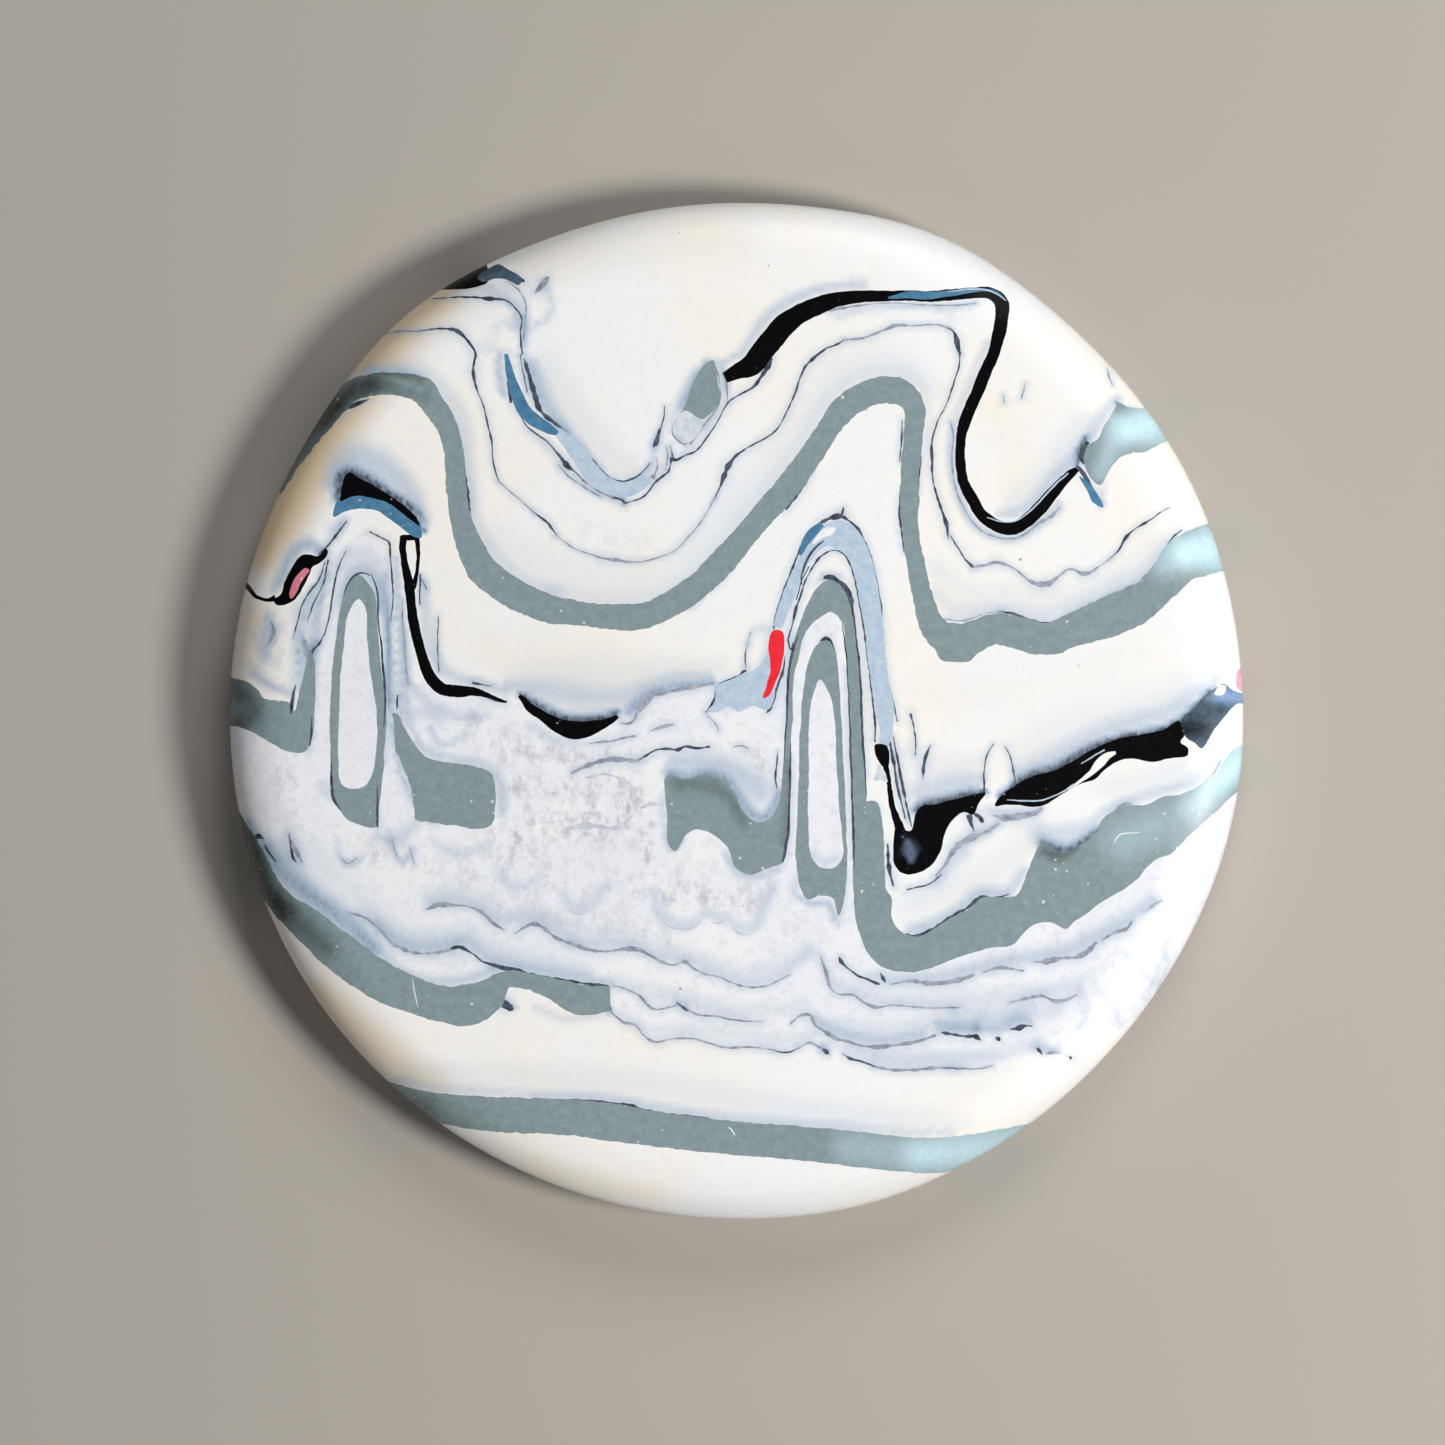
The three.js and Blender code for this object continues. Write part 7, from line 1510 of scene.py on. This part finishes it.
class Look:
    """A material and short ways to add nodes to it."""

    def __init__(self, name):
        self.material = bpy.data.materials.new(name)
        self.material.use_nodes = True
        self.tree = self.material.node_tree
        self.shader = self.tree.nodes["Principled BSDF"]
        place = self.tree.nodes.new("ShaderNodeTexCoord").outputs["Object"]
        scale = self.tree.nodes.new("ShaderNodeVectorMath")
        scale.operation = "SCALE"
        scale.inputs["Scale"].default_value = 1 / MM
        self.tree.links.new(place, scale.inputs[0])
        self.place = scale.outputs[0]

    def set(self, socket, value):
        """Links a socket to a value that is a socket, or stores a plain value."""
        if isinstance(value, bpy.types.NodeSocket):
            self.tree.links.new(value, socket)
        else:
            socket.default_value = value

    def math(self, operation, a, b=0.0, clamp=False):
        """One arithmetic step on two numbers."""
        node = self.tree.nodes.new("ShaderNodeMath")
        node.operation = operation
        node.use_clamp = clamp
        self.set(node.inputs[0], a)
        self.set(node.inputs[1], b)
        return node.outputs[0]

    def mix(self, factor, a, b):
        """Colour a where the factor is 0 and b where it is 1."""
        node = self.tree.nodes.new("ShaderNodeMix")
        node.data_type = "RGBA"
        self.set(node.inputs["Factor"], factor)
        self.set(node.inputs["A"], a)
        self.set(node.inputs["B"], b)
        return node.outputs["Result"]

    def attribute(self, name):
        """A number that the mesh stores at each of its points."""
        node = self.tree.nodes.new("ShaderNodeAttribute")
        node.attribute_name = name
        return node.outputs["Fac"]

    def noise(self, size, detail=2.0, roughness=0.5, shift=0.0, stretch=(1, 1, 1)):
        """Soft noise of about 0 to 1 with blobs of a size in mm."""
        moved = self.tree.nodes.new("ShaderNodeMapping")
        moved.inputs["Location"].default_value = (shift, -shift, 0.7 * shift)
        moved.inputs["Scale"].default_value = stretch
        self.set(moved.inputs["Vector"], self.place)
        node = self.tree.nodes.new("ShaderNodeTexNoise")
        node.inputs["Scale"].default_value = 1 / size
        node.inputs["Detail"].default_value = detail
        node.inputs["Roughness"].default_value = roughness
        self.set(node.inputs["Vector"], moved.outputs[0])
        return node.outputs["Fac"]

    def ramp(self, value, low, high, smooth=True):
        """0 below low, 1 above high."""
        node = self.tree.nodes.new("ShaderNodeMapRange")
        node.interpolation_type = "SMOOTHSTEP" if smooth else "LINEAR"
        self.set(node.inputs["Value"], value)
        node.inputs["From Min"].default_value = low
        node.inputs["From Max"].default_value = high
        return node.outputs["Result"]

    def specks(self, spacing, size, share, shift=0.0):
        """Small round specks: 1 inside a speck. Share is how many of the cells hold one."""
        moved = self.tree.nodes.new("ShaderNodeMapping")
        moved.inputs["Location"].default_value = (shift, -shift, 0.7 * shift)
        moved.inputs["Scale"].default_value = (1 / spacing, 1 / spacing, 1 / spacing)
        self.set(moved.inputs["Vector"], self.place)
        node = self.tree.nodes.new("ShaderNodeTexVoronoi")
        node.inputs["Scale"].default_value = 1
        self.set(node.inputs["Vector"], moved.outputs[0])
        dice = self.tree.nodes.new("ShaderNodeSeparateColor")
        self.set(dice.inputs[0], node.outputs["Color"])
        radius = self.math("MULTIPLY", dice.outputs["Green"], size / spacing)
        near = self.math("LESS_THAN", node.outputs["Distance"], radius)
        chosen = self.math("LESS_THAN", dice.outputs["Red"], share)
        return self.math("MULTIPLY", near, chosen)

    def bump(self, height, strength):
        """Fine relief on the surface."""
        node = self.tree.nodes.new("ShaderNodeBump")
        node.inputs["Strength"].default_value = strength
        node.inputs["Distance"].default_value = BUMP_DEPTH * MM
        self.set(node.inputs["Height"], height)
        self.set(self.shader.inputs["Normal"], node.outputs["Normal"])

    def finish(self, colour, roughness):
        """Sets the colour and an uneven roughness, and gives the material."""
        self.set(self.shader.inputs["Base Color"], colour)
        grain = self.noise(0.5, detail=3)
        uneven = self.math("MULTIPLY", self.math("SUBTRACT", grain, 0.5), SHEEN_SPREAD)
        self.set(self.shader.inputs["Roughness"], self.math("ADD", uneven, roughness))
        return self.material


WARM_WHITE = linear(248, 244, 237)
COOL_WHITE = linear(244, 245, 246)
MIST_WHITE = linear(243, 244, 246)
LILAC_WHITE = linear(236, 239, 245)
# the beige of painted shade on the left rounded edge
AMBER_TINT_AND_SHADE_WHITE = linear(228, 203, 160)
HAZE_BLUE = linear(172, 190, 210)
HAZE_DARK = linear(44, 54, 70)
CLOUD_GREY = linear(180, 182, 190)
DUST = linear(70, 66, 62)


def white_look(name, warm, cool, mottle):
    """White plastic between two tones, with a fine mottle, and the stains and the painted rim
    shade laid on it.
    """
    look = Look(name)
    tone = look.ramp(look.noise(14, detail=3, roughness=0.6), 0.35, 0.65)
    colour = look.mix(tone, warm, cool)
    fine = look.ramp(look.noise(0.8, detail=6, roughness=0.75, shift=21.0), 0.45, 0.75)
    colour = look.mix(look.math("MULTIPLY", fine, mottle), colour, CLOUD_GREY)
    cloud = look.attribute("cloud")
    puffs = look.noise(1.5, detail=8, roughness=0.82, shift=5.0, stretch=(1, 0.6, 1))
    puffs = look.ramp(puffs, 0.46, 0.62)
    colour = look.mix(look.math("MULTIPLY", cloud, puffs, clamp=True), colour, CLOUD_GREY)
    haze = look.attribute("haze")
    grain = look.noise(0.34, detail=4, roughness=0.6, shift=9.0, stretch=(1, 0.45, 1))
    grain = look.math("ADD", look.math("MULTIPLY", grain, 0.6), 0.7)
    haze = look.math("MULTIPLY", haze, grain, clamp=True)
    # amber: painted shade of the left rounded edge, and a faint warm tint elsewhere
    colour = look.mix(look.attribute("amber_tint_and_shade"), colour, AMBER_TINT_AND_SHADE_WHITE)
    colour = look.mix(look.ramp(haze, 0.0, 0.6, smooth=False), colour, HAZE_BLUE)
    colour = look.mix(look.ramp(haze, 0.55, 1.1), colour, HAZE_DARK)
    dust = look.specks(spacing=3.0, size=0.16, share=0.25)
    colour = look.mix(look.math("MULTIPLY", dust, 0.6), colour, DUST)
    look.bump(look.noise(0.6, detail=3), RELIEF)
    return look.finish(colour, PLASTIC_ROUGHNESS)


def speckled_look(name, base, shade, speck, spacing=1.1, size=0.16, share=0.35,
                  roughness=PLASTIC_ROUGHNESS, bleach_and_glare_tone=None, soot_and_shade_tone=None, shine=0.5):
    """A coloured plastic with a soft mottle and fine pale specks.

    The two optional tones are the colours it turns to under the strokes of bleach, which include a
    painted reflection, and of soot, which include painted shade.
    """
    look = Look(name)
    mottle = look.ramp(look.noise(0.9, detail=5, roughness=0.7), 0.3, 0.7)
    colour = look.mix(mottle, base, shade)
    grain = look.noise(0.5, detail=4, roughness=0.7, shift=3.0)
    grain = look.math("ADD", look.math("MULTIPLY", grain, 0.8), 0.6)
    # pale spots, and a painted reflection of the light on the right rounded edge
    if bleach_and_glare_tone:
        amount = look.math("MULTIPLY", look.attribute("bleach_and_glare"), grain, clamp=True)
        colour = look.mix(amount, colour, bleach_and_glare_tone)
    # dark smudges, and painted shade of the left rounded edge
    if soot_and_shade_tone:
        amount = look.math("MULTIPLY", look.attribute("soot_and_rim_shade"), grain, clamp=True)
        colour = look.mix(amount, colour, soot_and_shade_tone)
    fine = look.specks(spacing, size, share)
    finer = look.specks(spacing * 0.45, size * 0.5, share * 0.6, shift=13.0)
    colour = look.mix(look.math("MULTIPLY", fine, 0.8), colour, speck)
    colour = look.mix(look.math("MULTIPLY", finer, 0.5), colour, speck)
    look.bump(look.noise(0.5, detail=3), RELIEF)
    look.shader.inputs["Specular IOR Level"].default_value = shine
    return look.finish(colour, roughness)


LOOKS = {
    "white": white_look("white_plastic", WARM_WHITE, COOL_WHITE, 0.1),
    "cloud_white": white_look("cloud_white_plastic", MIST_WHITE, LILAC_WHITE, 0.34),
    "grey": speckled_look(
        "grey_plastic", linear(126, 143, 147), linear(140, 158, 162), linear(225, 232, 230),
        # the pale tone is the cyan-white of a painted reflection on the right rounded edge; the
        # dark tone is the olive-black of painted shade on the left rounded edge
        bleach_and_glare_tone=linear(206, 238, 248), soot_and_shade_tone=linear(34, 38, 34)),
    "pale_grey": speckled_look(
        "pale_grey_plastic", linear(190, 202, 210), linear(226, 233, 238),
        linear(244, 246, 248)),
    "black": speckled_look(
        "black_plastic", linear(2, 2, 4), linear(8, 9, 13), linear(150, 160, 170),
        spacing=1.0, size=0.12, share=0.3, roughness=0.36, bleach_and_glare_tone=linear(112, 126, 154),
        shine=0.12),
    "slate": speckled_look(
        "slate_plastic", linear(56, 76, 92), linear(88, 110, 128), linear(190, 200, 210),
        # the pale tone is a painted reflection where the slate meets the right rim
        bleach_and_glare_tone=linear(150, 178, 222), soot_and_shade_tone=linear(14, 18, 26), shine=0.15),
    "blue": speckled_look(
        "blue_plastic", linear(62, 112, 148), linear(84, 136, 170), linear(190, 205, 220)),
    "pale_blue": speckled_look(
        "pale_blue_plastic", linear(172, 194, 216), linear(196, 212, 226),
        linear(238, 242, 246)),
    "red": speckled_look(
        "red_plastic", linear(235, 22, 42), linear(244, 40, 58), linear(255, 170, 175),
        share=0.08),
    "pink": speckled_look(
        "pink_plastic", linear(205, 110, 128), linear(222, 140, 156), linear(240, 210, 214)),
    "pale_pink": speckled_look(
        "pale_pink_plastic", linear(246, 150, 184), linear(246, 196, 216),
        linear(250, 236, 242)),
    "film_dark": speckled_look(
        "film_dark_plastic", linear(24, 28, 40), linear(90, 100, 120), linear(150, 160, 175),
        spacing=0.5, size=0.1, share=0.2),
    "film_mid": speckled_look(
        "film_mid_plastic", linear(124, 130, 148), linear(178, 184, 197),
        linear(226, 229, 233), spacing=0.5, size=0.1, share=0.3),
    "film_faint": speckled_look(
        "film_faint_plastic", linear(186, 190, 200), linear(216, 219, 226),
        linear(236, 238, 240), spacing=0.5, size=0.1, share=0.3),
}

# ---------------------------------------------------------------------------
# The coaster

face = Face()

slots = {name: slot for name, slot, _ in STREAMS}
slots.update({name: slot for name, slot, _ in LAYERS})
slots.update({name: slot for name, slot, _ in FILMS})

# the white beside a film takes a little of its tone
BESIDE_FILM = 0.26          # strength
BESIDE_FILM_REACH = 0.45    # mm, besides twice the film's width
beside_films = [
    (BESIDE_FILM, [(x, y, BESIDE_FILM_REACH + 2 * width) for x, y, width in run])
    for _, slot, runs in FILMS if slot != "film_faint" for run in runs]

haze = stain(face.corners, HAZES + beside_films)
cloud = stain(face.corners, CLOUDS)
# amber: mostly painted shade of the left rounded edge, and a faint warm tint elsewhere
amber_tint_and_shade = stain(face.corners, AMBER_TINTS_AND_SHADE)
# strokes of bleach, and of painted reflection on the right rounded edge
bleach_and_glare = stain(face.corners, BLEACHES_AND_GLARE)
# strokes of soot, and of painted shade on the left rounded edge
soot_and_rim_shade = stain(face.corners, SOOTS_AND_RIM_SHADE)

for name in sorted(set(face.names)):
    slot = slots[name]
    piece, used = face.piece(name)
    if slot in ("white", "cloud_white"):
        face.shade(piece, used, "haze", haze)
        face.shade(piece, used, "cloud", cloud)
        face.shade(piece, used, "amber_tint_and_shade", amber_tint_and_shade)
    elif slot in ("grey", "black", "slate"):
        face.shade(piece, used, "bleach_and_glare", bleach_and_glare)
        face.shade(piece, used, "soot_and_rim_shade", soot_and_rim_shade)
    piece.data.materials.append(LOOKS[slot])
    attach(piece, "root")
    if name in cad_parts:
        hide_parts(name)

# ---------------------------------------------------------------------------
# Floor, light and camera


FLOOR_TONE = linear(178, 172, 164)
FLOOR_REACH = 3.0       # m from the middle to each side


def make_floor():
    """A plain matte floor at the height of the underside."""
    mesh = bpy.data.meshes.new("floor")
    low, high = -FLOOR_REACH, FLOOR_REACH
    corners = [(low, low, 0), (high, low, 0), (high, high, 0), (low, high, 0)]
    mesh.from_pydata(corners, [], [(0, 1, 2, 3)])
    floor = bpy.data.objects.new("floor", mesh)
    bpy.context.scene.collection.objects.link(floor)
    material = bpy.data.materials.new("floor_paint")
    material.use_nodes = True
    shader = material.node_tree.nodes["Principled BSDF"]
    shader.inputs["Base Color"].default_value = FLOOR_TONE
    shader.inputs["Roughness"].default_value = 0.9
    shader.inputs["Specular IOR Level"].default_value = 0.1
    floor.data.materials.append(material)


LIGHT_DISTANCE = 0.6    # m from the middle of the coaster


def add_light(name, azimuth, elevation, size, power, colour):
    """A round area light aimed at the coaster, from an azimuth and elevation in degrees."""
    data = bpy.data.lights.new(name, "AREA")
    data.shape = "DISK"
    data.size = size
    data.energy = power
    data.color = colour
    light = bpy.data.objects.new(name, data)
    turn, rise = math.radians(azimuth), math.radians(elevation)
    light.location = LIGHT_DISTANCE * Vector(
        (math.cos(rise) * math.cos(turn), math.cos(rise) * math.sin(turn), math.sin(rise)))
    light.rotation_euler = (-light.location).to_track_quat("-Z", "Y").to_euler()
    bpy.context.scene.collection.objects.link(light)


def make_world(colour, strength):
    """A faint even light from all round."""
    world = bpy.data.worlds.new("studio")
    world.use_nodes = True
    background = world.node_tree.nodes["Background"]
    background.inputs["Color"].default_value = (*colour, 1)
    background.inputs["Strength"].default_value = strength
    bpy.context.scene.world = world


VIEW_PLANE = 0.7 * THICKNESS      # mm above the floor: where the view's width is measured
VIEW_WIDTH = 0.1421               # m
CAMERA_HEIGHT = 1.0               # m above that plane
CAMERA_SHIFT = (-1.524, -1.131)   # mm from the middle of the coaster
SENSOR_WIDTH = 36


def make_camera():
    """A camera that looks straight down at the coaster."""
    data = bpy.data.cameras.new("camera")
    data.sensor_width = SENSOR_WIDTH
    data.lens = SENSOR_WIDTH * CAMERA_HEIGHT / VIEW_WIDTH
    camera = bpy.data.objects.new("camera", data)
    camera.location = (
        CAMERA_SHIFT[0] * MM, CAMERA_SHIFT[1] * MM, CAMERA_HEIGHT + VIEW_PLANE * MM)
    camera.rotation_euler = (0, 0, 0)
    bpy.context.scene.collection.objects.link(camera)
    bpy.context.scene.camera = camera


make_floor()
make_world((0.97, 0.98, 1.0), 0.05)
add_light("key", -17, 47, 0.17, 3.2, (1.0, 0.985, 0.965))
add_light("upper_fill", 76, 40, 0.3, 1.4, (0.96, 0.98, 1.0))
add_light("lower_fill", -110, 44, 0.3, 0.4, (0.98, 0.98, 1.0))
make_camera()
bpy.context.scene.view_settings.view_transform = "Standard"
